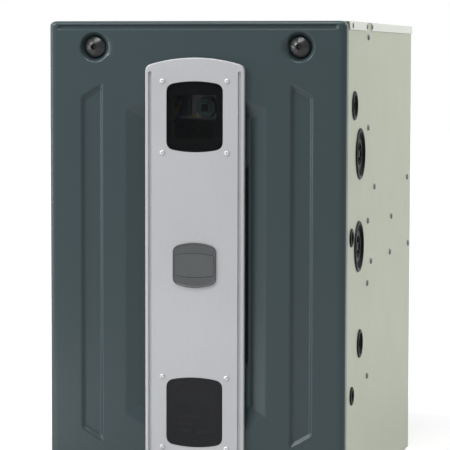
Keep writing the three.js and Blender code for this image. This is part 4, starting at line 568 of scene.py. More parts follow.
def softened(profile, radius=0.8, steps=3):
    """Rounds the corners of a profile or an open line of points."""
    rounded = [profile[0]]
    for before, corner, after in zip(profile, profile[1:], profile[2:]):
        corner_at, into, out = Vector(corner), Vector(before), Vector(after)
        reach = min(radius, (into - corner_at).length / 2, (out - corner_at).length / 2)
        start = corner_at + (into - corner_at).normalized() * reach
        end = corner_at + (out - corner_at).normalized() * reach
        for i in range(steps + 1):
            t = i / steps
            rounded.append(tuple(start * (1 - t) ** 2 + corner_at * 2 * t * (1 - t) + end * t * t))
    return [*rounded, profile[-1]]


def closed_soft(points, radius, steps=4):
    """Rounds every corner of a closed outline."""
    ring = [points[-1], *points, points[0]]
    return softened(ring, radius, steps)[1:-1]


def rectangle(x0, x1, y0, y1, radius=0.0):
    corners = [(x0, y0), (x1, y0), (x1, y1), (x0, y1)]
    return closed_soft(corners, radius) if radius else corners


def around(centre, reach):
    """The two limits that lie equally far to each side of a centre."""
    return centre - reach, centre + reach


def circle(x, y, radius, segments=24):
    return [
        (x + radius * cos(2 * pi * i / segments), y + radius * sin(2 * pi * i / segments))
        for i in range(segments)
    ]


ARCH_STEPS = 12


def barrel(half, bottom, top, bow, radius):
    """An outline with straight sides and bowed ends, its corners rounded."""
    inner = half - radius
    across = [inner * (2 * i / ARCH_STEPS - 1) for i in range(ARCH_STEPS + 1)]
    arch = [(x, bow * (1 - (x / half) ** 2)) for x in across]
    lower = [(x, bottom + bow - up) for x, up in arch]
    upper = [(x, top - bow + up) for x, up in reversed(arch)]
    corner_rows = [
        (lower[-1], (half, bottom + bow), (half, bottom + bow + radius)),
        ((half, top - bow - radius), (half, top - bow), upper[0]),
        (upper[-1], (-half, top - bow), (-half, top - bow - radius)),
        ((-half, bottom + bow + radius), (-half, bottom + bow), lower[0]),
    ]
    corners = [
        [
            tuple(p * (1 - t) ** 2 + 2 * q * t * (1 - t) + r * t * t for p, q, r in zip(a, b, c))
            for t in (0.2, 0.4, 0.6, 0.8)
        ]
        for a, b, c in corner_rows
    ]
    return [
        *lower, *corners[0], corner_rows[0][2], corner_rows[1][0], *corners[1],
        *upper, *corners[2], corner_rows[2][2], corner_rows[3][0], *corners[3],
    ]


def grown(outline, amount):
    """The outline moved outwards by the amount, or inwards when it is negative."""
    count = len(outline)
    area = sum(outline[i - 1][0] * outline[i][1] - outline[i][0] * outline[i - 1][1] for i in range(count))
    out = amount if area > 0 else -amount
    result = []
    for i, (x, y) in enumerate(outline):
        before, after = outline[i - 1], outline[(i + 1) % count]
        into = Vector((x - before[0], y - before[1])).normalized()
        away = Vector((after[0] - x, after[1] - y)).normalized()
        normal = Vector((into.y + away.y, -into.x - away.x))
        reach = out / max(1 + into.dot(away), 0.3)
        result.append((x + normal.x * reach, y + normal.y * reach))
    return result


def wall(rings):
    """Skins a run of closed rings, each with the same number of points."""
    size = len(rings[0])
    points = [p for ring in rings for p in ring]
    faces = [
        (r * size + i, r * size + (i + 1) % size, (r + 1) * size + (i + 1) % size, (r + 1) * size + i)
        for r in range(len(rings) - 1)
        for i in range(size)
    ]
    return points, faces


def cap(level, outline, holes=(), axis="y"):
    """A flat face across the axis inside an outline, pierced by holes."""
    loops = [outline, *holes]
    flat = [p for loop in loops for p in loop]
    triangles = geometry.tessellate_polygon([[Vector((x, y, 0)) for x, y in loop] for loop in loops])
    return [turned_to(axis, x, y, level) for x, y in flat], [tuple(t) for t in triangles]


def stacked(rows, axis="y"):
    """Skins a run of (level, outline) rows along the axis."""
    return wall([[turned_to(axis, x, y, level) for x, y in outline] for level, outline in rows])


def plate(outline, near, far, axis="y", holes=(), edge=0.4):
    """A plate between two planes across the axis, its rims eased by a small rounded edge."""
    step = copysign(1, far - near)
    ease = min(edge, abs(far - near) / 2.5)
    slopes = [(0.0, 1.0), (0.3, 0.3), (1.0, 0.0)]
    sides = []
    for loop, inward in [(outline, -1), *[(hole, 1) for hole in holes]]:
        eased = [(step * ease * a, grown(loop, inward * ease * b)) for a, b in slopes]
        rows = [(near + drop, line) for drop, line in eased] + [
            (far - drop, line) for drop, line in reversed(eased)
        ]
        sides.append(stacked(rows, axis))
    rim = grown(outline, -ease)
    bores = [grown(hole, ease) for hole in holes]
    return merged(cap(near, rim, bores, axis), cap(far, rim, bores, axis), *sides)


BEVEL_ROUNDNESS = 0.6


def block(x0, x1, y0, y1, z0, z1, edge=0.6):
    """A box with eased edges."""
    ease = min(edge, abs(x1 - x0) / 3, abs(y1 - y0) / 3, abs(z1 - z0) / 3)
    work = bmesh.new()
    bmesh.ops.create_cube(work, size=1)
    size = Vector((abs(x1 - x0), abs(y1 - y0), abs(z1 - z0)))
    for vertex in work.verts:
        vertex.co = Vector(a * b for a, b in zip(vertex.co, size)) + Vector(
            ((x0 + x1) / 2, (y0 + y1) / 2, (z0 + z1) / 2)
        )
    if ease > 0:
        bmesh.ops.bevel(
            work, geom=work.edges[:], offset=ease, segments=2, profile=BEVEL_ROUNDNESS, affect="EDGES"
        )
    work.verts.index_update()
    shape = [tuple(v.co) for v in work.verts], [tuple(v.index for v in f.verts) for f in work.faces]
    work.free()
    return shape


def flowing(points, steps=8):
    """A smooth line through the given points."""
    nodes = [Vector(p) for p in points]
    ends = [nodes[0] * 2 - nodes[1], *nodes, nodes[-1] * 2 - nodes[-2]]
    line = []
    for a, b, c, d in zip(ends, ends[1:], ends[2:], ends[3:]):
        for i in range(steps):
            t = i / steps
            line.append(
                0.5 * (
                    2 * b + (c - a) * t + (2 * a - 5 * b + 4 * c - d) * t * t
                    + (3 * b - a - 3 * c + d) * t ** 3
                )
            )
    return [*line, nodes[-1]]


def elbowed(points, bend, steps=8):
    """Straight runs joined by round bends."""
    return [Vector(p) for p in softened([Vector(p) for p in points], bend, steps)]


def swept(line, radius, sides=14, wall_thick=0.0, radii=None):
    """A rod along a line, closed at its ends, or a tube that is open through when it has a wall."""
    line = [Vector(p) for p in line]
    line = [p for i, p in enumerate(line) if i == 0 or (p - line[i - 1]).length > 1e-4]
    ahead = [(line[min(i + 1, len(line) - 1)] - line[max(i - 1, 0)]).normalized() for i in range(len(line))]
    across = ahead[0].orthogonal().normalized()
    rings, inner = [], []
    for i, (point, forward) in enumerate(zip(line, ahead)):
        across = (across - forward * across.dot(forward)).normalized()
        upward = forward.cross(across)
        size = radii[i] if radii else radius
        turn = [(cos(2 * pi * k / sides), sin(2 * pi * k / sides)) for k in range(sides)]
        rings.append([tuple(point + (across * c + upward * s) * size) for c, s in turn])
        inner.append([tuple(point + (across * c + upward * s) * (size - wall_thick)) for c, s in turn])
    if wall_thick:
        return wall([*rings, *reversed(inner), rings[0]])
    points, faces = wall(rings)
    last = len(points) - sides
    return points, [*faces, tuple(range(sides))[::-1], tuple(range(last, last + sides))]


FLAT_FACE_WEIGHT = 80  # large faces keep flat shading beside small eased edges
WELD_GAP = 0.002
SAME_PLANE, SHARP_FOLD = radians(1), radians(50)
SHEET_SMOOTH = 35


def welded(shape):
    """The shape with shared points merged and its faces turned outwards, as a bmesh."""
    work = bmesh.new()
    vertices = [work.verts.new(p) for p in shape[0]]
    for face in shape[1]:
        corners = [vertices[i] for i in face]
        if len(set(corners)) > 2 and work.faces.get(corners) is None:
            work.faces.new(corners)
    bmesh.ops.remove_doubles(work, verts=work.verts[:], dist=WELD_GAP)
    bmesh.ops.recalc_face_normals(work, faces=work.faces[:])
    return work


def meshed(work, name):
    """Turns a bmesh into a mesh and frees it."""
    mesh = bpy.data.meshes.new(name)
    work.to_mesh(mesh)
    work.free()
    return mesh


def placed(work, name):
    """Turns a bmesh in cabinet millimetres into a mesh in the row frame."""
    for vertex in work.verts:
        vertex.co = place(*vertex.co)
    return meshed(work, name)


def piece(name, shape, skin, node=None, body="cabinet", slot=None, smooth=32):
    """Makes one visible piece of a shape or a list of shapes. It may stand for a CAD node."""
    whole = merged(*shape) if isinstance(shape, list) else shape
    return finished(name, placed(welded(whole), name), skin, node, body, smooth, slot)


def finished(name, mesh, skin, node, body, smooth, slot=None):
    """Makes the object of a mesh: its finish, shading and body, and the CAD node it stands for."""
    mesh.shade_smooth()
    mesh.set_sharp_from_angle(angle=radians(smooth))
    mesh.materials.clear()
    mesh.materials.append(SKIN[skin][1])
    made = bpy.data.objects.new(name, mesh)
    bpy.context.scene.collection.objects.link(made)
    normals = made.modifiers.new("flat_faces", "WEIGHTED_NORMAL")
    normals.keep_sharp = True
    normals.weight = FLAT_FACE_WEIGHT
    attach(made, body)
    slot or SKIN[skin][0]
    if node:
        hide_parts(node)
    return made


def eased_node(node, skin, name=None, edge=0.35, segments=2, body="cabinet"):
    """A sheet node with its facets joined and its edges eased."""
    name = name or node + "_sheet"
    work = bmesh.new()
    work.from_mesh(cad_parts[node].data)
    bmesh.ops.remove_doubles(work, verts=work.verts[:], dist=1e-6)
    bmesh.ops.dissolve_limit(work, angle_limit=SAME_PLANE, verts=work.verts[:], edges=work.edges[:])
    sharp = [e for e in work.edges if len(e.link_faces) == 2 and e.calc_face_angle() > SHARP_FOLD]
    bmesh.ops.bevel(
        work, geom=sharp, offset=edge * MM, segments=segments, profile=BEVEL_ROUNDNESS, affect="EDGES",
        clamp_overlap=True
    )
    return finished(name, meshed(work, name), skin, node, body, SHEET_SMOOTH)


def thickened(made, thickness):
    """Gives an open surface a sheet's thickness."""
    solid = made.modifiers.new("sheet", "SOLIDIFY")
    solid.thickness = thickness * MM
    solid.offset = -1


def screw_head(at, radius=3.6, height=1.4, axis="y", sign=-1):
    """A hex washer-head screw seen from outside, standing on a face at the given place."""
    washer = lathe(
        [(0, 0), (radius, 0), (radius, 0.25 * height), (radius * 0.8, 0.4 * height), (0, 0.4 * height)],
        axis, (0, 0, 0), 20,
    )
    head = lathe(
        [(0, 0.3 * height), (radius * 0.66, 0.3 * height), (radius * 0.66, 0.85 * height),
         (radius * 0.52, height), (radius * 0.3, height), (radius * 0.24, 0.85 * height), (0, 0.8 * height)],
        axis, (0, 0, 0), 6,
    )
    points, faces = merged(washer, head)
    index = "xyz".index(axis)
    flipped = [tuple(c * sign if i == index else c for i, c in enumerate(p)) for p in points]
    return moved((flipped, faces), *at)


def domed_screw(at, sign, radius, height):
    """A low domed screw on a side of the cabinet, with its washer and driver recess."""
    rows = [
        (0, 0), (1, 0), (1, 0.15), (0.9, 0.22), (0.88, 0.7), (0.78, 0.92), (0.6, 1), (0.26, 1), (0.22, 0.7),
        (0, 0.66)
    ]
    points, faces = lathe([(r * radius, h * height) for r, h in rows], "x", (0, 0, 0), 20)
    return moved(([(x * sign, y, z) for x, y, z in points], faces), *at)


# ---------------------------------------------------------------- door

HALF_WIDTH = span("door_panel")[1][0]
TOP = span("door_panel")[1][2]
DOOR_BOTTOM = span("door_panel")[0][2]
DOOR_FACE = span("door_panel")[0][1]
SHEET = 1.2
GAP = 0.3
DOOR_EDGE = 8
SIDE_EDGE = 13
PRESS_DEPTH = 9
RIB_DEPTH = 5.2
BEAD_DEPTH = 3.4
STRIP_FACE = span("centre_strip")[0][1]
STRIP_HALF = span("centre_strip")[1][0]
STRIP_LOW = span("centre_strip")[0][2]
STRIP_TOP = span("centre_strip")[1][2]
STRIP_ARCH = 14.4
STRIP_WALL = 1.5
GROOVE_X = 80.4
WINDOW_HALF = 50.6
WINDOW_TALL = 123.7
WINDOW_ARCH = 6.4
GLASS = {"upper_window": "glass", "lower_window": "hazy_glass"}
WINDOWS = {name: middle(name)[2] for name in ("upper_window", "lower_window")}
LATCH_X = middle("knob_right")[0]
LATCH_Z = middle("knob_right")[2]
PORT_HALF = 41
AIR_SLOT = {"x": (78, 92), "z": (264, 607.2)}


def eased_step(t):
    t = min(max(t, 0.0), 1.0)
    return t * t * (3 - 2 * t)


ROUNDED_SHARE = 0.35


def pressed_wall(t):
    """A straight wall with small rounded ends, from 0 to 1."""
    return ROUNDED_SHARE * eased_step(t) + (1 - ROUNDED_SHARE) * min(max(t, 0.0), 1.0)


def softest(distances, softness):
    """The least of several distances, rounded off where two are alike."""
    low = min(distances)
    return low - softness * log(sum(exp((low - d) / softness) for d in distances))


POCKET_SOFTNESS = 0.012
POCKET_END = -0.08


def pocket_depth(x, z):
    """The long eight-sided pocket behind the strip, with sloping walls."""
    rim_x, rim_top, rim_low = 126.5, TOP - 152, DOOR_BOTTOM + 163
    side_run, top_run, low_run = 29.5, 27, 38
    top_lean, low_lean = 0.31, 0.64
    beyond = rim_x - abs(x)
    side_wall = beyond / side_run
    top_wall = (rim_top + top_lean * beyond - z) / top_run
    low_wall = (z - rim_low + low_lean * beyond) / low_run
    reach = softest([side_wall, top_wall, low_wall, 1.0], POCKET_SOFTNESS)
    if reach <= POCKET_END:
        return 0.0
    return PRESS_DEPTH * POCKET_SOFTNESS * log(1 + exp(reach / POCKET_SOFTNESS))


def rib_depth(x, z):
    """A long mitred channel near each edge."""
    inner, outer, mitre, run, softness = 168.5, 209, 24, 6, 1.3
    top, low = TOP - 107.5, 117
    slope = mitre / (outer - inner)
    lean = hypot(1, slope)
    across = abs(x)
    ends = [(top - slope * (across - inner) - z) / lean, (z - low - slope * (across - inner)) / lean]
    reach = softest([across - inner, outer - across, *ends], softness)
    return RIB_DEPTH * pressed_wall(reach / run)


def dish_depth(x, z):
    """The round dish behind each latch knob."""
    radius, run = 27, 7.5
    reach = radius - hypot(abs(x) - LATCH_X, z - LATCH_Z)
    return PRESS_DEPTH * pressed_wall(reach / run)


def bead_depth(x, z):
    """The shallow flute along the top, with round ends."""
    drop, half_width, half_length, run = 10.5, 5.2, 247, 3
    from_line = abs(z - (TOP - drop))
    reach = half_width - hypot(from_line, max(abs(x) - half_length, 0))
    return BEAD_DEPTH * pressed_wall(reach / run)


def pressed(x, z):
    return max(pocket_depth(x, z), rib_depth(x, z), dish_depth(x, z), bead_depth(x, z))


def stops(low, high, zones, coarse):
    """Places from low to high: close together inside the zones, (from, to, spacing), and coarse elsewhere."""
    places = [low]
    while places[-1] < high - 1e-6:
        here = places[-1]
        fine = [step for start, end, step in zones if start - 1e-6 <= here < end - 1e-6]
        ahead = [start for start, end, step in zones if start > here + 1e-6]
        step = min(fine) if fine else min([coarse, *[start - here for start in ahead]])
        places.append(min(here + step, high))
    return places


def door_skin():
    """The pressed face with its rolled edges, returns and inward lips, one sheet thick."""
    flat_x, flat_low, flat_top = HALF_WIDTH - SIDE_EDGE, DOOR_BOTTOM + DOOR_EDGE, TOP - DOOR_EDGE
    right = stops(
        0, flat_x,
        [(78, 134, 2), (166, 178, 1.25), (178, 186, 4), (186, 199, 2.2), (199, 212, 1.25), (212, 251, 2)], 7
    )
    columns = [-x for x in reversed(right[1:])] + right
    rows = stops(
        flat_low, flat_top, [(104, 150, 2), (144, 206, 2.5), (676, 768, 2.2), (784, 848, 2), (846, 861, 0.9)],
        8
    )
    ports = [(-PORT_HALF, PORT_HALF, z - PORT_HALF, z + PORT_HALF) for z in WINDOWS.values()]
    slots = [(s * AIR_SLOT["x"][0], s * AIR_SLOT["x"][1], *AIR_SLOT["z"]) for s in (-1, 1)]
    openings = [(min(a, b), max(a, b), c, d) for a, b, c, d in ports + slots]
    work = bmesh.new()
    grid = [[work.verts.new((x, DOOR_FACE + pressed(x, z), z)) for x in columns] for z in rows]

    def open_here(x, z):
        return any(a < x < b and c < z < d for a, b, c, d in openings)

    for j in range(len(rows) - 1):
        for i in range(len(columns) - 1):
            if not open_here((columns[i] + columns[i + 1]) / 2, (rows[j] + rows[j + 1]) / 2):
                work.faces.new((grid[j][i], grid[j][i + 1], grid[j + 1][i + 1], grid[j + 1][i]))
    last_row, last_column = len(rows) - 1, len(columns) - 1
    walk = [(0, i, (0, -1)) for i in range(last_column + 1)]
    walk += [(j, last_column, (1, 0)) for j in range(last_row + 1)]
    walk += [(last_row, i, (0, 1)) for i in range(last_column, -1, -1)]
    walk += [(j, 0, (-1, 0)) for j in range(last_row, -1, -1)]
    border = []
    for (j, i, out), (next_j, next_i, next_out) in zip(walk, [*walk[1:], walk[0]]):
        border.append((grid[j][i], Vector(out)))
        if (j, i) == (next_j, next_i):
            border.extend(
                (grid[j][i], (Vector(out) * (1 - t) + Vector(next_out) * t).normalized())
                for t in (0.25, 0.5, 0.75)
            )
    rings = [[vertex for vertex, _ in border]]
    roll = [(DOOR_EDGE * sin(a), DOOR_EDGE * (1 - cos(a))) for a in (pi / 2 * k / 7 for k in range(1, 8))]
    depth = -GAP - DOOR_FACE
    profile = [
        *roll, (DOOR_EDGE, depth - 3), (DOOR_EDGE, depth - 1.2), (DOOR_EDGE - 0.4, depth - 0.3),
        (DOOR_EDGE - 1.4, depth), (-5, depth)
    ]
    for out_by, back_by in profile:
        rings.append([
            work.verts.new((
                v.co.x + out.x * (out_by + (SIDE_EDGE - DOOR_EDGE) * min(max(out_by, 0) / DOOR_EDGE, 1)),
                DOOR_FACE + back_by, v.co.z + out.y * out_by,
            ))
            for v, out in border
        ])
    for ring, after in zip(rings, rings[1:]):
        for k in range(len(border)):
            near = (k + 1) % len(border)
            corners = [ring[k], ring[near], after[near], after[k]]
            unique = [c for n, c in enumerate(corners) if c is not corners[n - 1]]
            if len(unique) > 2:
                work.faces.new(unique)
    bmesh.ops.remove_doubles(work, verts=work.verts[:], dist=0.01)
    bmesh.ops.recalc_face_normals(work, faces=work.faces[:])
    thickened(finished("door_skin", placed(work, "door_skin"), "door", "door_panel", "door", 50), SHEET)


def strip_outline():
    return barrel(STRIP_HALF, STRIP_LOW, STRIP_TOP, STRIP_ARCH, 10)


def window_outline(height, grow=0.0):
    return barrel(
        WINDOW_HALF + grow, height - WINDOW_TALL / 2 - grow, height + WINDOW_TALL / 2 + grow, WINDOW_ARCH, 12
    )


def centre_strip():
    """The silver strip: a shallow tray with rolled edges, two grooves and two window openings."""
    outer = strip_outline()
    rear, wall_thick, edge = DOOR_FACE - GAP, STRIP_WALL, 2.4
    arc = [(edge * (1 - sin(a)), edge * (1 - cos(a))) for a in (pi / 2 * k / 5 for k in range(6))]
    outside = [(STRIP_FACE + back, grown(outer, -inset)) for inset, back in arc]
    inside = [(rear, outer), (rear, grown(outer, -wall_thick))]
    inside.append((STRIP_FACE + wall_thick, grown(outer, -wall_thick)))
    shapes = [stacked([*outside, *inside])]
    openings = [window_outline(z) for z in WINDOWS.values()]
    rims = []
    for opening in openings:
        rims.append(grown(opening, 0.7))
        shapes.append(stacked([
            (STRIP_FACE, grown(opening, 0.7)), (STRIP_FACE + 0.2, grown(opening, 0.2)),
            (STRIP_FACE + 0.8, opening), (STRIP_FACE + wall_thick, opening),
        ]))
    hollows = list(openings)
    for sign in (-1, 1):
        groove = rectangle(*around(sign * GROOVE_X, 3.2), STRIP_LOW + 24, STRIP_TOP - 24, 3.1)
        rims.append(groove)
        hollows.append(grown(groove, 0.8))
        for depth, slack in ((0, 0), (wall_thick, 0.8)):
            shapes.append(stacked([
                (STRIP_FACE + depth, grown(groove, slack)),
                (STRIP_FACE + depth + 0.4, grown(groove, slack - 0.3)),
                (STRIP_FACE + depth + 3.6, grown(groove, slack - 0.9)),
            ]))
            shapes.append(cap(STRIP_FACE + depth + 3.6, grown(groove, slack - 0.9)))
    shapes.append(cap(STRIP_FACE, grown(outer, -edge), rims))
    shapes.append(cap(STRIP_FACE + wall_thick, grown(outer, -wall_thick), hollows))
    piece("silver_strip", shapes, "silver", "centre_strip", body="door", smooth=40)


def strip_screws():
    """Pan-head screws with a driver recess at the windows' corners."""
    profile = [(0, 0), (4.4, 0), (4.4, 0.6), (3.9, 1.5), (2.9, 2.1), (1.6, 2.3), (1.4, 1.5), (0, 1.4)]
    heads = []
    for height in WINDOWS.values():
        for x in (-57.8, 57.8):
            for z in (height - 62.7, height + 62.6):
                rows = [(r, -h) for r, h in profile]
                heads.append(lathe(rows, "y", (x, STRIP_FACE, z), 20))
    piece("strip_screws", heads, "screw", body="door")


def window_panes():
    for name, height in WINDOWS.items():
        near = STRIP_FACE + STRIP_WALL + GAP
        pane = plate(window_outline(height, 6), near, near + 2.5, edge=0.3)
        piece(name + "_pane", pane, GLASS[name], name, body="door")
        port = rectangle(3 - PORT_HALF, PORT_HALF - 3, height - PORT_HALF + 3, height + PORT_HALF - 3, 5)
        # a black sheet behind each pane, round the door's port: painted shade, dark where only shadow shows
        # through the glass
        shade_mask = plate(window_outline(height, 5), near + 2.6, near + 3.2, holes=[port], edge=0.15)
        piece(name + "_shade_mask", shade_mask, "matt_black", body="door")


def slot_shade_screens():
    """Black slatted screens behind the two air slots: painted shade, dark sheets put where the slots show
    only shadow.
    """
    front = span("door_liner")[0][1] - 0.9
    low, high = AIR_SLOT["z"]
    for side, sign in (("left", -1), ("right", 1)):
        near, far = sorted(sign * x for x in AIR_SLOT["x"])
        sheet = plate(rectangle(near - 4, far + 4, low - 4, high + 4, 2), front, front + 0.6, edge=0.15)
        slats = [
            block(near + 0.5, far - 0.5, front - 0.9, front + 0.1, z, z + 3, 0.3)
            for z in range(int(low) + 6, int(high) - 6, 9)
        ]
        # black screens are painted shade standing in for the shadow deep inside each slot
        piece("slot_shade_screen_" + side, [sheet, *slats], "matt_black", body="door")


def name_badge():
    """A bare two-tone plate with a raised rim and a plain band across it."""
    low, high = span("badge")
    half, bottom, top = high[0], low[2], high[2]
    front, back = low[1], high[1]
    outer = barrel(half, bottom, top, 8, 9)
    slopes = [(0.0, 0.9), (0.25, 0.3), (0.9, 0.0)]
    edge = [(front + a, grown(outer, -b)) for a, b in slopes]
    dished = [(front, grown(outer, -2.2)), (front + 0.7, grown(outer, -3.0))]
    rear = [(back, outer)]
    body = merged(
        stacked([*reversed(dished), *edge, *rear]), cap(front + 0.7, grown(outer, -3.0)), cap(back, outer)
    )
    piece("badge_body", body, "badge", "badge", body="door")
    centre = (bottom + top) / 2
    band = barrel(half - 3.4, centre - 21, centre + 21, 4, 1.5)
    piece("badge_band", plate(band, front + 0.2, front + 0.9, edge=0.25), "badge_band", body="door")
    seam = stacked([
        (front + back, grown(band, out))
        for back, out in ((0.55, 0.5), (0.55, -0.1), (0.68, -0.1), (0.68, 0.5), (0.55, 0.5))
    ])
    piece("badge_seam", seam, "matt_black", body="door")


def latch_knobs():
    """Quarter-turn latches: a glossy dome with a socket, its stem, and the cam behind the header."""
    base = DOOR_FACE + PRESS_DEPTH - GAP
    radius, tall = 19.4, 12
    dome = [
        (5.4 + (radius - 5.4) * (1 - t), base - 2.4 - (tall - 2.4) * (1 - (1 - t) ** 1.25))
        for t in (k / 11 for k in range(12))
    ]
    face = base - tall
    profile = [
        (0, base), (radius - 0.6, base), (radius, base - 0.8), (radius, base - 2), *dome,
        (4.6, face + 0.2), (4.1, face + 1.2), (3.6, face + 1.6), (3.3, face + 2), (3.2, face + 6),
        (0, face + 6),
    ]
    rear = span("knob_right")[1][1]
    stem = [(0, base - 2), (4.5, base - 2), (4.5, rear - 0.6), (3.9, rear), (0, rear)]
    for side, sign in (("left", -1), ("right", 1)):
        at = (sign * LATCH_X, 0, LATCH_Z)
        grip = [lathe(profile, "y", at, 48), lathe(stem, "y", at, 20)]
        body = "latch_knob_" + side
        piece("knob_grip_" + side, grip, "gloss_black", "knob_" + side, body=body, smooth=40)
        x = sign * LATCH_X
        tongue = rectangle(*around(x, 17), *around(LATCH_Z, 5), 4.8)
        slot = rectangle(*around(x, 2.2), *around(LATCH_Z, 2.2))
        cam = plate(tongue, rear - 4, rear, holes=[slot], edge=0.6)
        piece("latch_cam_" + side, cam, "steel", body=body, slot="black_plastic")


def door_insulation():
    """The blanket behind the pressed face, held by washers on pins."""
    eased_node("door_liner", "foil", "door_blanket", 1.6, 3, body="door")
    rear = span("door_liner")[1][1]
    profile = [(0, 0), (11, 0), (11, 0.4), (9, 0.9), (3, 1.2), (2.2, 2.4), (0, 2.6)]
    washers = [
        lathe([(r, h - 2) for r, h in profile], "y", (x, rear, z), 24)
        for x in (-215, -72, 72, 215) for z in (60, 300, 540, 780)
    ]
    piece("blanket_pins", washers, "steel", body="door")


door_skin()
centre_strip()
strip_screws()
window_panes()
slot_shade_screens()
name_badge()
latch_knobs()
door_insulation()

# ---------------------------------------------------------------- cabinet

SIDE_FACE = span("cabinet_wrapper")[1][0]
LAP_FACE = cad_box[1][0] / MM
SIDE_SCREWS = [
    (203.6, 836.9), (206.8, 673.2), (279.9, 562), (689.8, 559.3), (485.7, 493.3), (209, 503.3),
    (707.9, 423.4),
    (471.3, 425.3), (245.6, 426.5), (206.8, 389.3), (209.1, 218.3),
]
LAP_SCREWS = [(34.5, 855.9), (184.2, 855.6), (240, 855.8)]


def cabinet_sheets():
    for node in ("cabinet_wrapper", "base_pan"):
        eased_node(node, "cabinet")
    # the top panels' lighter enamel is painted light on the band along the cabinet's top
    for node in ("front_top_panel", "supply_flange"):
        eased_node(node, "lit_top")
    for node in ("vestibule_panel", "blower_deck"):
        eased_node(node, "galvanised")


def cabinet_screws():
    """Sheet-metal screws on both sides, and smaller ones set flush in the top panels' laps."""
    heads = []
    for sign in (-1, 1):
        for setback, height in SIDE_SCREWS:
            heads.append(domed_screw((sign * SIDE_FACE, setback, height), sign, 5.7, 2.95))
        for setback, height in LAP_SCREWS:
            heads.append(domed_screw((sign * (LAP_FACE - 1.1), setback, height), sign, 4.8, 1.1))
    piece("cabinet_screws", heads, "side_screw")


def port_plug(node):
    """A moulded plug: a rounded flange round a stepped dish, with a raised centre and crossed webs."""
    low, high = span(node)
    sign = 1 if high[0] > 0 else -1
    setback, height = middle(node)[1], middle(node)[2]
    radius = (high[2] - low[2]) / 2
    proud = max(abs(low[0]), abs(high[0])) - SIDE_FACE
    sleeve = radius - 4.4
    rows = softened([
        (sleeve - 1.6, -5.5), (sleeve, -5.5), (sleeve, GAP), (radius, GAP), (radius, 0.9),
        (radius - 1.8, proud),
        (sleeve - 1.5, proud), (sleeve - 4, -2.2), (sleeve * 0.72, -2.8), (sleeve * 0.66, -0.6),
        (sleeve * 0.5, -0.2), (sleeve * 0.46, -3.4), (sleeve * 0.2, -3.8), (sleeve * 0.17, -1.4), (0, -1.2),
    ], 0.9, 3)
    back = [(0, -4.9), (sleeve - 3, -4.9), (sleeve - 1.6, -5.5)]
    profile = [(r, SIDE_FACE + h) for r, h in [*back, *rows]]
    shape = lathe(profile, "x", (0, setback, height), 56 if radius > 30 else 40)
    webs = []
    if radius > 30:
        for angle in (0, 60, 120):
            bar = block(
                SIDE_FACE - 4.5, SIDE_FACE - 1.3, *around(setback, sleeve * 0.46), *around(height, 0.9), 0.4
            )
            webs.append(spun(bar, "x", angle + 25, (0, setback, height)))
    shape = merged(shape, *webs)
    if sign < 0:
        shape = mirrored(shape)
    piece(node + "_cap", shape, "plug", node, smooth=34)


cabinet_sheets()
cabinet_screws()
for port in sorted(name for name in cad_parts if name.endswith("_port_plug")):
    port_plug(port)


# ---------------------------------------------------------------- inside: shared shapes and places

BURNER_Z = TOP - 88
BURNER_X = (-135, -45, 45, 135)
DECK_TOP = TOP - 451.6
COIL_BOTTOM = DECK_TOP + 30
COIL_TOP = COIL_BOTTOM + 96
WALL_FACE = span("vestibule_panel")[0][1]


def shell(outline, near, far, thick, edge, holes=()):
    """A thin-walled box with a rounded near side, which may be pierced, and an open far side."""
    step = copysign(1, far - near)
    bends = [pi / 2 * k / 4 for k in range(5)]
    outside = [
        (near + step * edge * (1 - cos(a)), grown(outline, -edge * (1 - sin(a))))
        for a in bends
    ]
    inner = grown(outline, -thick)
    inside = [(far, outline), (far, inner), (near + step * thick, inner)]
    shapes = [
        stacked([*outside, *inside]),
        cap(near, grown(outline, -edge), holes),
        cap(near + step * thick, inner, holes),
    ]
    shapes += [stacked([(near, hole), (near + step * thick, hole)]) for hole in holes]
    return merged(*shapes)


def rod(axis, at, sides, radius, near, far):
    """A plain turned rod between two places along the axis."""
    return lathe([(0, near), (radius, near), (radius, far), (0, far)], axis, at, sides)


def ring(axis, at, sides, inner, outer, near, far, ease=0.6):
    """A turned ring with eased corners."""
    e = ease
    profile = [
        (inner + e, near), (outer - e, near), (outer, near + e), (outer, far - e), (outer - e, far),
        (inner + e, far),
        (inner, far - e), (inner, near + e), (inner + e, near),
    ]
    return lathe(profile, axis, at, sides)


def polar(across, up, pitch):
    """Distance from the axis, and degrees round it since the last multiple of the pitch."""
    return hypot(across, up), degrees(atan2(up, across)) % pitch


def without(shape, test):
    """The shape without the faces whose middle meets the test."""
    points, faces = shape
    kept = [f for f in faces if not test(*(sum(points[i][k] for i in f) / len(f) for k in range(3)))]
    return points, kept


def finer(profile, gap):
    """A profile with its long stretches cut into steps."""
    rows = [profile[0]]
    for a, b in zip(profile, profile[1:]):
        count = max(1, round(dist(a, b) / gap))
        rows += [
            (a[0] + (b[0] - a[0]) * k / count, a[1] + (b[1] - a[1]) * k / count) for k in range(1, count + 1)
        ]
    return rows


def paced(line, gap):
    """The same line with its long straight stretches cut into steps."""
    result = [Vector(line[0])]
    for point in line[1:]:
        start, end = result[-1], Vector(point)
        count = max(1, round((end - start).length / gap))
        result.extend(start.lerp(end, (i + 1) / count) for i in range(count))
    return result


def wire(name, points, skin, radius):
    """An insulated wire, fixed at both ends."""
    piece(name, swept(flowing(points, 7), radius, 8), skin, slot="black_plastic")


def spade(x, y, z, length):
    """A blade terminal inside its insulating boot."""
    return block(*around(x, 2.2), y - length, y, *around(z, 4), 0.8)


# ---------------------------------------------------------------- heat exchanger

RUN_DROP = (BURNER_Z - COIL_TOP - 22 - 34) / 2
HEADER_FACE = span("rear_header")[0][1]


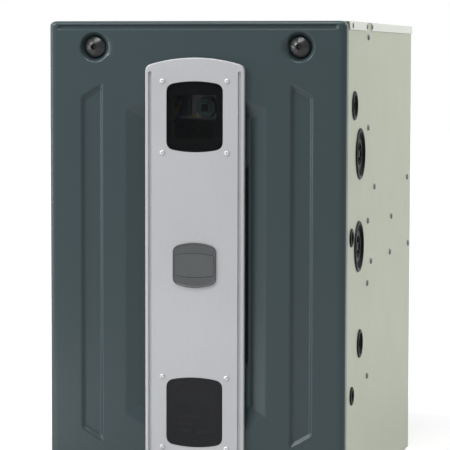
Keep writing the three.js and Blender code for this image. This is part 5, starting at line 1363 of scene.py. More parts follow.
def exchanger_tubes():
    """Four primary tubes, crimped along their lower two passes, with a swaged collar at each end."""
    rear, turn = HEADER_FACE + 23.7, WALL_FACE + 60
    for number, x in enumerate(BURNER_X, 1):
        corners = [
            (x, WALL_FACE + 1.5, BURNER_Z), (x, rear, BURNER_Z), (x, rear, BURNER_Z - RUN_DROP),
            (x, turn, BURNER_Z - RUN_DROP), (x, turn, BURNER_Z - 2 * RUN_DROP),
            (x, HEADER_FACE - GAP, BURNER_Z - 2 * RUN_DROP),
        ]
        line = paced(elbowed(corners, RUN_DROP / 2, 9), 10)
        radii = []
        for point in line:
            lower = point.z < BURNER_Z - RUN_DROP + 1 and 320 < point.y < 610
            crimp = max(0.0, cos(2 * pi * point.y / 60)) ** 3
            radii.append(22 - (3.4 * crimp if lower else 0))
        tube = swept(line, 22, 20, 2, radii)
        collars = [
            ring("y", (x, 0, BURNER_Z), 32, 21.4, 26, WALL_FACE + 1.5, WALL_FACE + 4.1),
            ring("y", (x, 0, BURNER_Z - 2 * RUN_DROP), 32, 21.4, 26, HEADER_FACE - 3, HEADER_FACE - 0.4),
        ]
        node = f"heat_exchanger_tube_{number}"
        piece(f"primary_tube_{number}", [tube, *collars], "aluminised", node)


def header_box():
    """The pressed box behind the coil, flanged round its middle, with four tube mouths."""
    low, high = span("rear_header")
    outline = rectangle(low[0] + 6, high[0] - 6, low[2] + 2, high[2] - 6, 14)
    mouths = [circle(x, BURNER_Z - 2 * RUN_DROP, 20, 32) for x in BURNER_X]
    seam = (low[1] + high[1]) / 2
    near = shell(outline, low[1], seam, 1.2, 5, mouths)
    far = shell(outline, high[1], seam, 1.2, 5)
    flange = plate(grown(outline, 6), seam - 1.2, seam + 1.2, holes=[grown(outline, -0.6)], edge=0.5)
    heads = [screw_head((x, seam - 1.2, high[2] - 3), 3, 1.2) for x in (-120, 0, 120)]
    piece("header_shell", [near, far, flange, *heads], "aluminised_sheet", "rear_header")


def finned_coil():
    """The secondary coil: thin fins close together on rows of tubes, between two flanged sheets."""
    low, high = span("secondary_coil")
    near, far, half = WALL_FACE + 24, high[1], high[0]
    fins = []
    count = 74
    for k in range(count):
        y = near + 8 + k * (far - near - 16) / (count - 1)
        fins.append(block(-half + 4, half - 4, y, y + 0.5, COIL_BOTTOM + 3, COIL_TOP - 3, 0))
    piece("coil_fins", fins, "galvanised", "secondary_coil", slot="aluminised_steel")
    sheets = []
    for y0, y1 in ((near, near + 1.6), (far - 1.6, far)):
        sheets.append(plate(rectangle(-half, half, COIL_BOTTOM, COIL_TOP, 3), y0, y1, edge=0.4))
    lip = 12
    for z in (COIL_BOTTOM + 0.6, COIL_TOP - 0.6):
        for y0, y1 in ((near, near + lip), (far - lip, far)):
            sheets.append(plate(rectangle(2 - half, half - 2, y0, y1, 3), *around(z, 0.6), "z", edge=0.3))
    for sign in (-1, 1):
        x = sign * (half - 8)
        sheets.append(block(*around(x, 5), near, far, COIL_BOTTOM, COIL_BOTTOM + 6, 1))
        for y in (near, far - 30):
            sheets.append(block(*around(x, 5), y, y + 30, DECK_TOP + GAP, COIL_BOTTOM + 4, 1))
    piece("coil_sheets", sheets, "galvanised")
    tubes = []
    for row, z in enumerate((COIL_BOTTOM + 20, COIL_BOTTOM + 48, COIL_BOTTOM + 76)):
        for x in range(-165 + 15 * (row % 2), 166, 30):
            tubes.append(ring("y", (x, 0, z), 14, 3.6, 5, near - 1.5, far, 0.3))
    for x in (-120, -60, 0, 60, 120):
        tubes.append(ring("y", (x, 0, (COIL_BOTTOM + COIL_TOP) / 2), 24, 7.4, 9, low[1], near + 4, 0.3))
    piece("coil_tubes", tubes, "dark_steel")


exchanger_tubes()
header_box()
finned_coil()

# ---------------------------------------------------------------- burners and gas train

BOX_LOW, BOX_HIGH = span("burner_box")
BOX_FRONT = BOX_LOW[1]
BOX_BOTTOM = BOX_LOW[2] + 6
MOUTH = span("burner_rack")[0][1]


def burner_box():
    """The burner tray with its edges eased, and its flange screws."""
    eased_node("burner_box", "galvanised")
    low, high = BOX_LOW, BOX_HIGH
    heads = [
        screw_head((x, high[1] - 1.2, z), 3.4, 1.3)
        for x in (low[0] + 5.5, high[0] - 5.5) for z in (low[2] + 12, high[2] - 12)
    ]
    heads += [screw_head((x, high[1] - 1.2, high[2] - 2.6), 2.4, 1.0) for x in (-90, 0, 90)]
    piece("burner_box_screws", heads, "screw")


def burner_rack():
    """Four in-shot burners with flame retainers and crossovers, on a flanged bracket."""
    outer = softened([(16, 0), (15, 2), (11, 12), (9, 22), (9, 34), (16, 50), (16, 70)], 5, 4)
    inner = [(r - 1.3, y) for r, y in reversed(outer)]
    shapes = []
    for x in BURNER_X:
        at = (x, MOUTH, BURNER_Z)
        shapes.append(lathe([*outer, *inner, outer[0]], "y", at, 36))
        holes = [circle(x, BURNER_Z, 3.2, 16)]
        for k in range(8):
            a = pi * k / 4
            holes.append(circle(x + 9 * cos(a), BURNER_Z + 9 * sin(a), 2.4, 12))
        shapes.append(plate(circle(x, BURNER_Z, 14.8, 36), MOUTH + 64, MOUTH + 66, holes=holes, edge=0.3))
        shapes.append(ring("y", at, 36, 15.4, 17.2, 50, 53, 0.5))
    for x in BURNER_X[:-1]:
        for z in (BURNER_Z - 4, BURNER_Z + 3):
            shapes.append(block(x + 15.6, x + 74.4, MOUTH + 57, MOUTH + 68, z, z + 1, 0.3))
    floor, reach = BOX_BOTTOM + 1.5, 165
    slots = [rectangle(*around(x, 14), floor + 8, floor + 16, 3.9) for x in (-90, 0, 90)]
    board = rectangle(-reach, reach, floor, BURNER_Z + 8, 5)
    shapes.append(plate(board, MOUTH + 26, MOUTH + 27.5, holes=slots, edge=0.4))
    shapes.append(
        plate(rectangle(-reach, reach, MOUTH + 26, MOUTH + 47.5, 3), floor, floor + 1.5, "z", edge=0.4)
    )
    piece("inshot_burners", shapes, "aluminised_sheet", "burner_rack")
    heads = [screw_head((x, MOUTH + 40, floor + 1.5), 3.2, 1.3, axis="z", sign=1) for x in (-150, 0, 150)]
    piece("burner_screws", heads, "screw")


GAS_Y = 61.5
VALVE_Z = TOP - 147.6
SELECTOR = middle("gas_valve_switch")
PROBE_X = 139
PROBE_Y = WALL_FACE - 16.3
ROLLOUT_Y = WALL_FACE - 40.3


def gas_manifold():
    """The manifold: a steel pipe with threaded caps, its tee and drop, and brass orifices."""
    rows = [(0, -151), (10, -151), (10.7, -150), (10.7, 150), (10, 151), (0, 151)]
    pipe = lathe(rows, "x", (0, GAS_Y, BURNER_Z), 32)
    end = [(0, 0), (12.6, 0), (13.5, 0.8), (13.5, 2.4), (12.9, 3), (12.9, 10), (12, 13), (9, 15.6), (0, 17)]
    caps = [
        lathe([(r, sign * h) for r, h in end], "x", (sign * 149, GAS_Y, BURNER_Z), 24) for sign in (-1, 1)
    ]
    bulge = [
        (10.7, -24), (14.4, -24), (15, -23), (15, -19), (13.2, -17), (13.2, 17), (15, 19), (15, 23),
        (14.4, 24), (10.7, 24)
    ]
    tee = lathe(bulge, "x", (0, GAS_Y, BURNER_Z), 32)
    drop_foot = span("gas_valve")[1][2] + GAP
    drop = rod("z", (0, GAS_Y, 0), 32, 10.7, drop_foot, BURNER_Z)
    collar = ring("z", (0, GAS_Y, 0), 32, 10.4, 15, BURNER_Z - 23, BURNER_Z - 18)
    threads = [
        ring("z", (0, GAS_Y, 0), 28, 10.4, 11.3, drop_foot + k * 1.6, drop_foot + k * 1.6 + 1.1, 0.35)
        for k in range(5)
    ]
    piece("manifold_pipe", [pipe, *caps, tee, drop, collar, *threads], "dark_steel", "gas_manifold")
    length = MOUTH - GAS_Y - 3
    spuds = []
    for x in BURNER_X:
        at = (x, GAS_Y, BURNER_Z)
        spuds.append(lathe([(0, 8), (6.6, 8), (7.2, 12), (7.2, 15), (0, 15)], "y", at, 28))
        spuds.append(
            lathe(
                [(0, 15), (7.4, 15), (8, 15.6), (8, length - 10), (7.2, length - 9), (0, length - 9)], "y",
                at, 6
            )
        )
        spuds.append(
            lathe(raised(length, [(5.4, -9.5), (4.4, -1), (3.6, 0), (1, 0), (1, -3), (0, -3)]), "y", at, 24)
        )
    piece("brass_orifices", spuds, "brass")


def gas_valve():
    """The cast valve body with its cover, bosses, regulator tower, taps and black coil housing."""
    half, low, top, near, far = 46, VALVE_Z - 27, VALVE_Z + 27, GAS_Y - 25, GAS_Y + 23
    y = GAS_Y
    body = plate(rectangle(-half, half, low, top, 9), near + 4, far, edge=2.2)
    cover = plate(rectangle(-half + 2.5, half - 2.5, low + 2.5, top - 2.5, 7), near, near + 4.5, edge=1.2)
    seam = plate(rectangle(-half - 0.8, half + 0.8, low - 0.8, top + 0.8, 9.8), y - 3, y - 1, edge=0.5)
    crown = lathe(
        raised(top, [(0, -4), (17, -4), (17, 7.6), (15.6, 9), (11, 9), (11, 6), (0, 6)]), "z", (0, y, 0), 8
    )
    boss = raised(
        half, [(0, -4), (17, -4), (17, 12.6), (15.6, 14), (11.6, 14), (11, 13.4), (11, -5), (0, -5)]
    )
    inlet = lathe(boss, "x", (0, y, VALVE_Z), 8)
    thread = [
        ring("x", (0, y, VALVE_Z), 28, 10.2, 11.2, half + k * 1.7, half + k * 1.7 + 1.1, 0.3)
        for k in range(8)
    ]
    blank = lathe(
        [
            (0, 4 - half), (17, 4 - half), (17, -half - 6.8), (15.8, -half - 8), (9, -half - 8),
            (9, -half - 6), (0, -half - 6)
        ],
        "x", (0, y, VALVE_Z), 8
    )
    tower = lathe(
        raised(top, [(0, -2), (11, -2), (11, 11), (10.2, 12), (8.6, 12.4), (8.6, 15), (8, 16), (0, 16)]), "z",
        (-28, y - 6, 0), 32
    )
    slot = block(-34, -22, y - 6.8, y - 5.2, top + 15.4, top + 16.6, 0.2)
    ribs = [block(*around(x, 1), y + 2, far + 0.6, low + 6, top - 6, 0.6) for x in (-30, -10, 10, 30)]
    post = lathe(
        raised(near, [(0, 2), (6, 2), (6, -8.4), (5.4, -9), (0, -9)]), "y", (SELECTOR[0], 0, SELECTOR[2]), 28
    )
    shelf = plate(rectangle(-16, 16, far - 2, BOX_FRONT - GAP, 0.4), VALVE_Z + 6, VALVE_Z + 9, "z", edge=0.4)
    ear = plate(
        rectangle(-16, 16, VALVE_Z + 6, BOX_BOTTOM + 8, 3), BOX_FRONT - 2.3, BOX_FRONT - GAP, edge=0.4
    )
    cast = [body, cover, seam, crown, inlet, *thread, blank, tower, slot, *ribs, post, shelf, ear]
    piece("valve_casting", cast, "cast", "gas_valve")
    x0, x1 = -half + 3, -half + 25
    coil = plate(rectangle(x0, x1, low + 8, top - 8, 4), near - 10, near + 1, edge=1.4)
    window = plate(rectangle(x0 + 3, x1 - 3, low + 14, top - 22, 2), near - 10.6, near - 9.4, edge=0.4)
    plugs = [spade(x, near - 9.4, top - 15, 7) for x in (-37.5, -26.5)]
    piece("valve_coil", [coil, window, *plugs], "black")
    tap = lathe(
        raised(near, [(0, 1), (4, 1), (4, -4.6), (3.4, -5.2), (2, -6), (0, -6)]), "y", (37, 0, low + 10), 6
    )
    heads = [
        screw_head((x, near, z), 3.2, 1.6)
        for x in (-12, 36) for z in (low + 8.5, top - 8.5) if (x, z) != (36, low + 8.5)
    ]
    bolts = [screw_head((x, BOX_FRONT - 2.3, BOX_BOTTOM + 2.5), 3, 1.2) for x in (-10, 10)]
    piece("valve_screws", [tap, *heads, *bolts], "brass")
    turns = [pi * (0.05 + 0.45 * k / 10) for k in range(11)]
    arc = [
        (SELECTOR[0] + r * cos(a), SELECTOR[2] + r * sin(a))
        for r, row in ((23.5, turns), (22, reversed(turns))) for a in row
    ]
    dial = plate(arc, near - 0.4, near + 0.2, edge=0.1)
    piece("valve_travel_arc", dial, "white")


def gas_selector():
    """The eight-sided selector: a bevelled skirt and a raised square with a dark recess."""
    low, high = span("gas_valve_switch")
    x, z, base = SELECTOR[0], SELECTOR[2], high[1]
    radius = 19.6

    def octagon(r, turn=0.0):
        return [
            (x + r * cos(pi * (k + 0.5) / 4 + turn), z + r * sin(pi * (k + 0.5) / 4 + turn))
            for k in range(8)
        ]

    skirt = [(radius, 0.0), (radius, 3.2), (radius - 0.8, 11.5), (radius - 3.2, 14)]
    sides = [(base - h, octagon(r)) for r, h in skirt]
    rear = plate(octagon(radius - 0.2), base - 1.2, base - 0.01, holes=[circle(x, z, 6.4, 24)], edge=0.2)
    outer = rectangle(*around(x, 9.6), *around(z, 9.6), 2)
    inner = rectangle(*around(x, 6.4), *around(z, 6.4), 1.4)
    face = cap(base - 14, octagon(radius - 3.2), [outer])
    frame_rings = [
        (base - 14, outer), (low[1] + 0.8, outer), (low[1], grown(outer, -0.8)),
    ]
    inner_rings = [
        (low[1], grown(inner, 0.6)), (low[1] + 0.6, inner), (low[1] + 6, inner),
    ]
    lip = cap(low[1], grown(outer, -0.8), [grown(inner, 0.6)])
    shape = [
        stacked(sides), face, stacked(frame_rings), stacked(inner_rings), lip, cap(low[1] + 6, inner), rear
    ]
    piece("selector_knob", shape, "selector", "gas_valve_switch", body="gas_selector", smooth=24)
    bar = block(*around(x, 2.2), low[1] + 2.4, low[1] + 6, *around(z, 5.4), 0.6)
    well = plate(rectangle(*around(x, 6.3), *around(z, 6.3), 1.3), low[1] + 5.4, low[1] + 5.9, edge=0.1)
    piece("selector_recess", [bar, well], "gloss_black", body="gas_selector")
    mark = block(*around(x, 0.9), base - 14.5, base - 13.9, z + 11.2, z + 15.2, 0.1)
    piece("selector_mark", mark, "white", body="gas_selector")


def probes():
    """The hot-surface igniter and the flame rod, each on a bracket under the burner box."""
    for node in ("igniter", "flame_sensor"):
        x = PROBE_X if node == "igniter" else -PROBE_X
        y, z = PROBE_Y, BOX_BOTTOM - GAP
        bracket = plate(
            rectangle(x - 9, x + 22, *around(y, 9), 3), z - 1.5, z, "z", holes=[circle(x, y, 5.6, 20)],
            edge=0.3
        )
        piece(node + "_bracket", [bracket, screw_head((x + 15, y, z - 1.5), 3.2, 1.4, axis="z")], "steel")
        profile = [
            (0, -18), (5.4, -18), (6.2, -17), (6.2, -6), (7.4, -5), (7.4, -1.6), (6.2, -1.4), (6.2, 18),
            (5, 24), (0, 24)
        ]
        piece(node + "_ceramic", lathe(profile, "z", (x, y, z), 28), "ceramic", node)
        if node == "igniter":
            blades = [block(*around(x + s * 3, 0.9), *around(y, 1.6), z + 22, z + 37, 0.4) for s in (-1, 1)]
            tip = merged(*blades, block(*around(x, 3.9), *around(y, 1.6), z + 36, z + 40, 0.5))
            piece("igniter_element", tip, "dark_steel", slot="ceramic")
        else:
            rod = swept([(x, y, z + 20), (x, y, z + 36), (x, y, z + 38)], 1.6, 12)
            piece("flame_rod", rod, "steel")


def rollout_switch():
    """The flame roll-out switch: a bimetal disc can on its ears, with two red boots."""
    low, high = span("rollout_switch")
    x, y, z = BURNER_X[0], ROLLOUT_Y, low[2]
    ears = plate(
        rectangle(*around(x, 16), *around(y, 5), 4.6), z, z + 1, "z",
        holes=[circle(x - 12.4, y, 1.8, 12), circle(x + 12.4, y, 1.8, 12)], edge=0.3
    )
    can = lathe(raised(z, [(0, 0.5), (8, 0.5), (8, 5), (7.2, 6), (6, 7.5), (0, 7.5)]), "z", (x, y, 0), 32)
    piece("rollout_can", [ears, can], "steel", "rollout_switch")
    boots = [block(*around(x + s * 4, 1.6), *around(y, 3.4), z + 6, high[2], 0.7) for s in (-1, 1)]
    piece("rollout_boots", boots, "red")


burner_box()
burner_rack()
gas_manifold()
gas_valve()
gas_selector()
probes()
rollout_switch()

# ---------------------------------------------------------------- collector, inducer and vent

COLLECTOR_LOW, COLLECTOR_HIGH = span("collector_box")
INDUCER_X = -20
INDUCER_Z = TOP - 281.6
INDUCER_FRONT = span("inducer_housing")[0][1] + 10
INDUCER_REAR = span("inducer_housing")[1][1]
VENT_Y = middle("right_vent_port_plug")[1] - 7
VENT_Z = TOP - 234.6
DRAIN_Y = COLLECTOR_HIGH[1] - 27.7
SCROLL_START, SCROLL_END = pi * 0.42, pi * 1.9
SCROLL_RADIUS, SCROLL_GROWTH = 60, 14


def collector_box():
    """The moulded collector over the coil's outlets: ribbed face, flanged rim, drain spout."""
    face, rear = COLLECTOR_LOW[1] + 4, COLLECTOR_HIGH[1]
    bottom, shoulder, top, x = COIL_BOTTOM + 2, COIL_TOP + 4, INDUCER_Z + 54, INDUCER_X
    corners = [
        (-172, bottom), (172, bottom), (172, shoulder), (x + 78, shoulder + 10), (x + 62, top),
        (x - 62, top), (x - 84, shoulder + 34), (-172, shoulder + 34),
    ]
    outline = closed_soft(corners, 14, 5)
    eye = circle(x, INDUCER_Z, 30, 40)
    body = shell(outline, face, rear, 2.5, 4, [eye])
    rim = plate(grown(outline, 7), rear - 3, rear, holes=[grown(outline, -1)], edge=0.6)
    ribs = [
        block(*around(a, 1.2), face - 2.6, face + 1, bottom + 12, shoulder - 8, 0.9)
        for a in range(-150, 151, 30)
    ]
    ribs += [block(-160, 160, face - 2, face + 1, *around(z, 1.2), 0.9) for z in (bottom + 26, bottom + 62)]
    spout = ring("x", (0, DRAIN_Y, bottom + 16), 24, 5, 7, -190, -166, 0.5)
    barb = ring("x", (0, DRAIN_Y, bottom + 16), 24, 5, 7.8, -189, -186, 0.8)
    piece("collector_shell", [body, rim, *ribs, spout, barb], "polymer", "collector_box")
    spots = [(a, bottom - 3.4) for a in (-140, -50, 50, 140)] + [(a, bottom + 50) for a in (175.2, -175.2)]
    spots += [(130, shoulder + 4.6), (x - 50, top + 3.2), (x + 48, top + 3.2)]
    heads = [screw_head((a, rear - 3, c), 3, 1.3) for a, c in spots]
    piece("collector_screws", heads, "screw")


def inducer_scroll(grow):
    """The inducer's spiral outline, ending in a straight outlet."""
    steps = 44
    points = []
    for i in range(steps + 1):
        t = i / steps
        angle = SCROLL_START + t * (SCROLL_END - SCROLL_START)
        r = SCROLL_RADIUS + SCROLL_GROWTH * t + grow
        points.append((INDUCER_X + r * cos(angle), INDUCER_Z + r * sin(angle)))
    end_x = span("vent_pipe")[0][0] - 12
    return [*points, (end_x, INDUCER_Z + SCROLL_GROWTH - grow), (end_x, points[0][1])]


def inducer_housing():
    """The moulded inducer scroll: two clamped halves, bosses, hose nipple and outlet spout."""
    x, z, near, far = INDUCER_X, INDUCER_Z, INDUCER_FRONT, INDUCER_REAR
    outline = inducer_scroll(0)
    seam = near + 34
    front_half = shell(outline, near, seam, 2, 5, [circle(x, z, 7, 24)])
    rear_half = shell(outline, far, seam, 2, 3, [circle(x, z, 26, 36)])
    flange = plate(grown(outline, 3), seam - 2.4, seam + 2.4, holes=[grown(outline, -1)], edge=0.7)
    ridges = [ring("y", (x, 0, z), 40, r - 1.2, r + 1.2, near - 1.6, near + 1, 0.6) for r in (20, 46)]
    ribs = []
    for k in range(9):
        a = pi * (0.5 + 1.25 * k / 8)
        bar = block(x + 21, x + 45, near - 1.4, near + 1, *around(z, 1.1), 0.6)
        ribs.append(spun(bar, "y", -degrees(a), (x, near, z)))
    bosses = []
    heads = []
    for angle in (100, 150, 205, 260, 318):
        a = radians(angle)
        along = max(0.0, (a - SCROLL_START) / (SCROLL_END - SCROLL_START))
        r = SCROLL_RADIUS + SCROLL_GROWTH * along + 2.6
        at = (x + r * cos(a), 0, z + r * sin(a))
        heads.append(screw_head((at[0], seam - 9, at[2]), 3.4, 1.6))
        bosses.append(
            lathe(raised(seam, [(0, -9), (4.4, -9), (5, -8), (5, 8), (4.4, 9), (0, 9)]), "y", at, 20)
        )
    end_x = span("vent_pipe")[0][0]
    spout = ring("x", (0, VENT_Y, VENT_Z), 36, 22.8, 25.2, end_x - 40, end_x + 2, 0.5)
    nipple = lathe(
        raised(near, [(1.4, 1), (4, 1), (4, -2.5), (2.6, -3), (3.2, -6), (2.2, -9.6), (1.4, -9.6), (1.4, 1)]),
        "y", (x - 38, 0, z + 24), 20
    )
    piece(
        "inducer_scroll", [front_half, rear_half, flange, *ridges, *ribs, *bosses, spout, nipple], "polymer",
        "inducer_housing"
    )
    piece("inducer_screws", heads, "screw")


def curved_blade(inner, outer, sweep, thick, near, far, axis, bow=0.35):
    """One fan blade: a thin strip that curves from the inner to the outer radius, about the origin."""
    steps = 6
    middle_line = []
    for i in range(steps + 1):
        t = i / steps
        r, a = inner + (outer - inner) * t, sweep * (t ** (1 + bow) - 0.5)
        middle_line.append(Vector((r * cos(a), r * sin(a))))
    left, right = [], []
    for i, p in enumerate(middle_line):
        ahead = (middle_line[min(i + 1, steps)] - middle_line[max(i - 1, 0)]).normalized()
        side = Vector((-ahead.y, ahead.x)) * thick / 2
        left.append(tuple(p + side))
        right.append(tuple(p - side))
    return plate([*left, *reversed(right)], near, far, axis, edge=0.15)


def inducer_wheel():
    """The inducer's moulded wheel: curved blades on a back plate, round a hub with a spring clip."""
    low, high = span("inducer_wheel")
    near, far = low[1], high[1]
    shapes = [
        lathe(
            [
                (3.4, near), (9, near), (45.6, near), (46, near + 0.4), (46, near + 1.2), (45.6, near + 1.6),
                (12, near + 1.8), (9, near + 3), (9, far - 1.4), (8.2, far - 0.6), (3.4, far - 0.6),
                (3.4, near)
            ],
            "y", (0, 0, 0), 44
        )
    ]
    blade = curved_blade(17, 45, 0.62, 1.5, near + 1, far, "y")
    shapes += [spun(blade, "y", 30 * k) for k in range(12)]
    shapes.append(ring("y", (0, 0, 0), 44, 43.4, 45.2, far - 1.8, far, 0.3))
    piece(
        "inducer_blades", moved(merged(*shapes), INDUCER_X, 0, INDUCER_Z), "polymer", "inducer_wheel",
        body="inducer_wheel_body"
    )
    clip = ring("y", (INDUCER_X, 0, INDUCER_Z), 28, 8.8, 10.2, far - 6.5, far - 4, 0.5)
    piece("inducer_hub_clip", clip, "steel", body="inducer_wheel_body")


def inducer_motor():
    """The inducer's motor: slotted end bells round a laminated core, on three posts."""
    x, z, near, far = INDUCER_X, INDUCER_Z, INDUCER_FRONT - 58, INDUCER_FRONT
    bell = softened(
        raised(near, [(0, 0), (12, 0), (16, 1), (18, 6), (30, 9), (36, 13), (36, 24), (33.2, 24.4)]), 2.4, 4
    )
    rear_bell = softened(
        raised(far, [(33.2, -24.4), (36, -24), (36, -13), (31, -10), (10, -9), (0, -9)]), 2, 4
    )

    def slot(px, py, pz):
        radius, turn = polar(px - x, pz - z, 36)
        return radius > 29 and 6 < turn < 27 and (near + 14 < py < near + 23 or far - 23 < py < far - 14)

    for label, profile in (("front", bell), ("rear", rear_bell)):
        open_bell = without(lathe(finer(profile, 2.2), "y", (x, 0, z), 60), slot)
        made = piece(
            f"inducer_bell_{label}", open_bell, "motor", "inducer_motor" if label == "front" else None
        )
        thickened(made, 1.0)
    core = [
        ring("y", (x, 0, z), 48, 14, 34.4, y, y + 0.9, 0.2)
        for y in (near + 24.5 + k * 1.05 for k in range(9))
    ]
    piece("inducer_laminations", core, "iron")
    ends = ((near + 14.5, near + 24.4), (far - 24.4, far - 13))
    coil = [ring("y", (x, 0, z), 36, 15, 29.5, y0, y1, 3) for y0, y1 in ends]
    piece("inducer_windings", coil, "copper")
    posts = []
    for k in range(3):
        a = pi / 2 + k * 2 * pi / 3
        posts.append(rod("y", (x + 28 * cos(a), 0, z + 28 * sin(a)), 6, 4, far - 14, far - 0.3))
        posts.append(screw_head((x + 31 * cos(a), near + 13, z + 31 * sin(a)), 2.6, 2.6))
    shaft = lathe([(0, near), (2.6, near), (3, near + 0.6), (3, far + 26), (0, far + 26)], "y", (x, 0, z), 20)
    piece("inducer_posts", [*posts, shaft], "steel")


def vent_pipe():
    """White plastic vent pipe with a socket at its bend and a worm-drive clamp at the inducer."""
    low, high = span("vent_pipe")
    start = low[0]
    exit_x = high[0] - 30
    corners = [(start, VENT_Y, VENT_Z), (exit_x, VENT_Y, VENT_Z), (exit_x, VENT_Y, high[2])]
    tube = swept(elbowed(corners, 52, 14), 30, 40, 3)
    collars = [
        ring("x", (0, VENT_Y, VENT_Z), 44, 29, 31.4, exit_x - 74, exit_x - 56, 0.8),
        ring("z", (exit_x, VENT_Y, 0), 44, 29, 31.4, VENT_Z + 56, VENT_Z + 74, 0.8),
    ]
    piece("vent_tube", [tube, *collars], "white", "vent_pipe")
    band = ring("x", (0, VENT_Y, VENT_Z), 44, 29.6, 31.2, start + 6, start + 18, 0.3)
    housing = block(start + 5.4, start + 18.6, VENT_Y - 36, VENT_Y - 29.8, *around(VENT_Z, 9), 1.4)
    screw = lathe(
        raised(VENT_Z, [(0, -14), (3.4, -14), (3.8, -13), (3.8, 9.6), (0, 9.6)]), "z",
        (start + 12, VENT_Y - 33, 0), 6
    )
    piece("vent_clamp", [band, housing, screw], "steel")


PRESSURE_X = INDUCER_X - 132
PRESSURE_Z = INDUCER_Z - 22


def pressure_switch():
    """The pressure switch: two crimped dishes with radial ribs, terminals and a hose nipple."""
    x, z, base = PRESSURE_X, PRESSURE_Z, span("pressure_switch")[1][1]
    rear = softened(raised(base, [(0, -4), (14, -4), (33, -12), (34, -13), (34, -15.4), (0, -15.4)]), 1.4, 3)
    foot = plate(
        rectangle(*around(x, 14), *around(z, 20), 4), base - 2, base,
        holes=[circle(x, z - 15.5, 2, 12), circle(x, z + 15.5, 2, 12)], edge=0.4
    )
    neck = rod("y", (x, 0, z), 24, 9, base - 8, base - 1)
    nipple = lathe(
        [(1.2, 24), (3.4, 24), (3.4, 31), (2.6, 31.4), (3.2, 34), (2.5, 42), (1.2, 42), (1.2, 24)], "x",
        (x, base - 15.5, z), 20
    )
    piece("pressure_body", [lathe(rear, "y", (x, 0, z), 48), foot, neck, nipple], "cream", "pressure_switch")
    cover = softened(
        raised(base, [(0, -30), (9.4, -30), (12, -24.6), (31, -20.4), (34, -19), (34, -15.7), (0, -15.7)]),
        1.4, 3
    )
    ribs = []
    for k in range(12):
        bar = block(x + 11, x + 31, base - 23.4, base - 19, *around(z, 0.8), 0.4)
        ribs.append(spun(bar, "y", 30 * k, (x, base, z)))
    crimp = [
        spun(
            block(x + 32.2, x + 34.6, base - 18.6, base - 12.4, *around(z, 3), 0.5), "y", 45 * k + 22,
            (x, base, z)
        )
        for k in range(8)
    ]
    boots = [block(*around(x + s * 6, 1.8), base - 38, base - 28.5, *around(z, 3.6), 0.8) for s in (-1, 1)]
    piece("pressure_cover", [lathe(cover, "y", (x, 0, z), 48), *ribs, *crimp, *boots], "black")


def hoses():
    """The sensing hose between switch and inducer, and the drain hose, each with spring clips."""
    x, z, y = PRESSURE_X, PRESSURE_Z, COLLECTOR_LOW[1] + 4 - GAP - 15.5
    end = Vector((INDUCER_X - 38, INDUCER_FRONT - 2.6, INDUCER_Z + 24))
    route = [
        (x + 35, y, z), (x + 43, y, z), (x + 50, y - 1, z + 0.4), (x + 57, y - 22, z + 8),
        (x + 58, INDUCER_FRONT - 16, z + 26),
        tuple(end + Vector((-14, -25, -4))), tuple(end + Vector((-2, -19, 0))),
        tuple(end + Vector((0, -9, 0))), tuple(end),
    ]
    piece("sensing_hose", swept(flowing(route, 9), 3.9, 16, 1.2), "rubber", "pressure_hose")
    drain_z = COIL_BOTTOM + 18
    sleeve = ring("x", (0, DRAIN_Y, drain_z), 28, 7.2, 9.4, -201.5, -183, 0.6)
    piece("drain_sleeve", sleeve, "rubber", "drain_hose")
    clip_x = (-199.5, -188)
    clips = [ring("x", (0, DRAIN_Y, drain_z), 28, 9.3, 10.4, a, a + 3.2, 0.4) for a in clip_x]
    clips.append(ring("x", (0, y, z), 20, 3.8, 4.7, x + 38, x + 40.4, 0.3))
    clips.append(ring("y", (end.x, 0, end.z), 20, 3.8, 4.7, end.y - 6.4, end.y - 4, 0.3))
    ears = [
        block(a + 0.6, a + 2.6, DRAIN_Y - 14.5, DRAIN_Y - 9.8, *around(drain_z, 2.6), 0.5) for a in clip_x
    ]
    piece("hose_clips", [*clips, *ears], "steel")


def condensate_trap():
    """The moulded trap: two welded halves with ribs, a sight band, spouts and a hexagon cap."""
    low, high = span("condensate_trap")
    half = 27
    x, y0, z0 = low[0] + half, high[1] - 44, low[2]
    top = z0 + 116
    outline = rectangle(*around(x, half), z0, top, 8)
    seam = y0 + 22
    body = plate(grown(outline, -1.2), y0, y0 + 44, edge=3)
    weld = plate(outline, seam - 1.8, seam + 1.8, edge=0.6)
    webs = [
        block(*around(a, 1.2), y0 - 3.4, y0 + 2, z0 + 10, top - 10, 0.8)
        for a in (x - 18, x - 9, x, x + 9, x + 18)
    ]
    bars = [
        block(*around(x, 22), y0 - 2.4, y0 + 2, *around(c, 1.1), 0.8) for c in (z0 + 34, z0 + 62, z0 + 90)
    ]
    inlet = ring("x", (0, y0 + 26, COIL_BOTTOM + 18), 24, 5, 7, x + half - 3, x + half + 8, 0.5)
    outlet = ring("y", (x, 0, z0 + 24), 24, 4, 6, y0 - 14, y0 + 2, 0.5)
    lip = ring("y", (x, 0, z0 + 24), 24, 4, 6.8, y0 - 13, y0 - 10.4, 0.7)
    piece("trap_body", [body, weld, *webs, *bars, inlet, outlet, lip], "polymer", "condensate_trap")
    cap_rows = raised(top, [(0, -1.5), (10, -1.5), (10, 1), (8.8, 1.4), (8.8, 5), (8, 6), (0, 6)])
    piece("trap_cap", lathe(cap_rows, "z", (x, y0 + 22, 0), 6), "red")


collector_box()
inducer_housing()
inducer_wheel()
inducer_motor()
vent_pipe()
pressure_switch()
hoses()
condensate_trap()

# ---------------------------------------------------------------- blower

WHEEL_Y, WHEEL_Z = middle("blower_wheel")[1], middle("blower_wheel")[2]
WHEEL_HALF = span("blower_wheel")[1][0]
HOUSING_HALF = WHEEL_HALF + 20
BLOWER_BLADES = 42
BLOWER_RADIUS, BLOWER_GROWTH = 139, 56
BEAD_RADIUS = 126


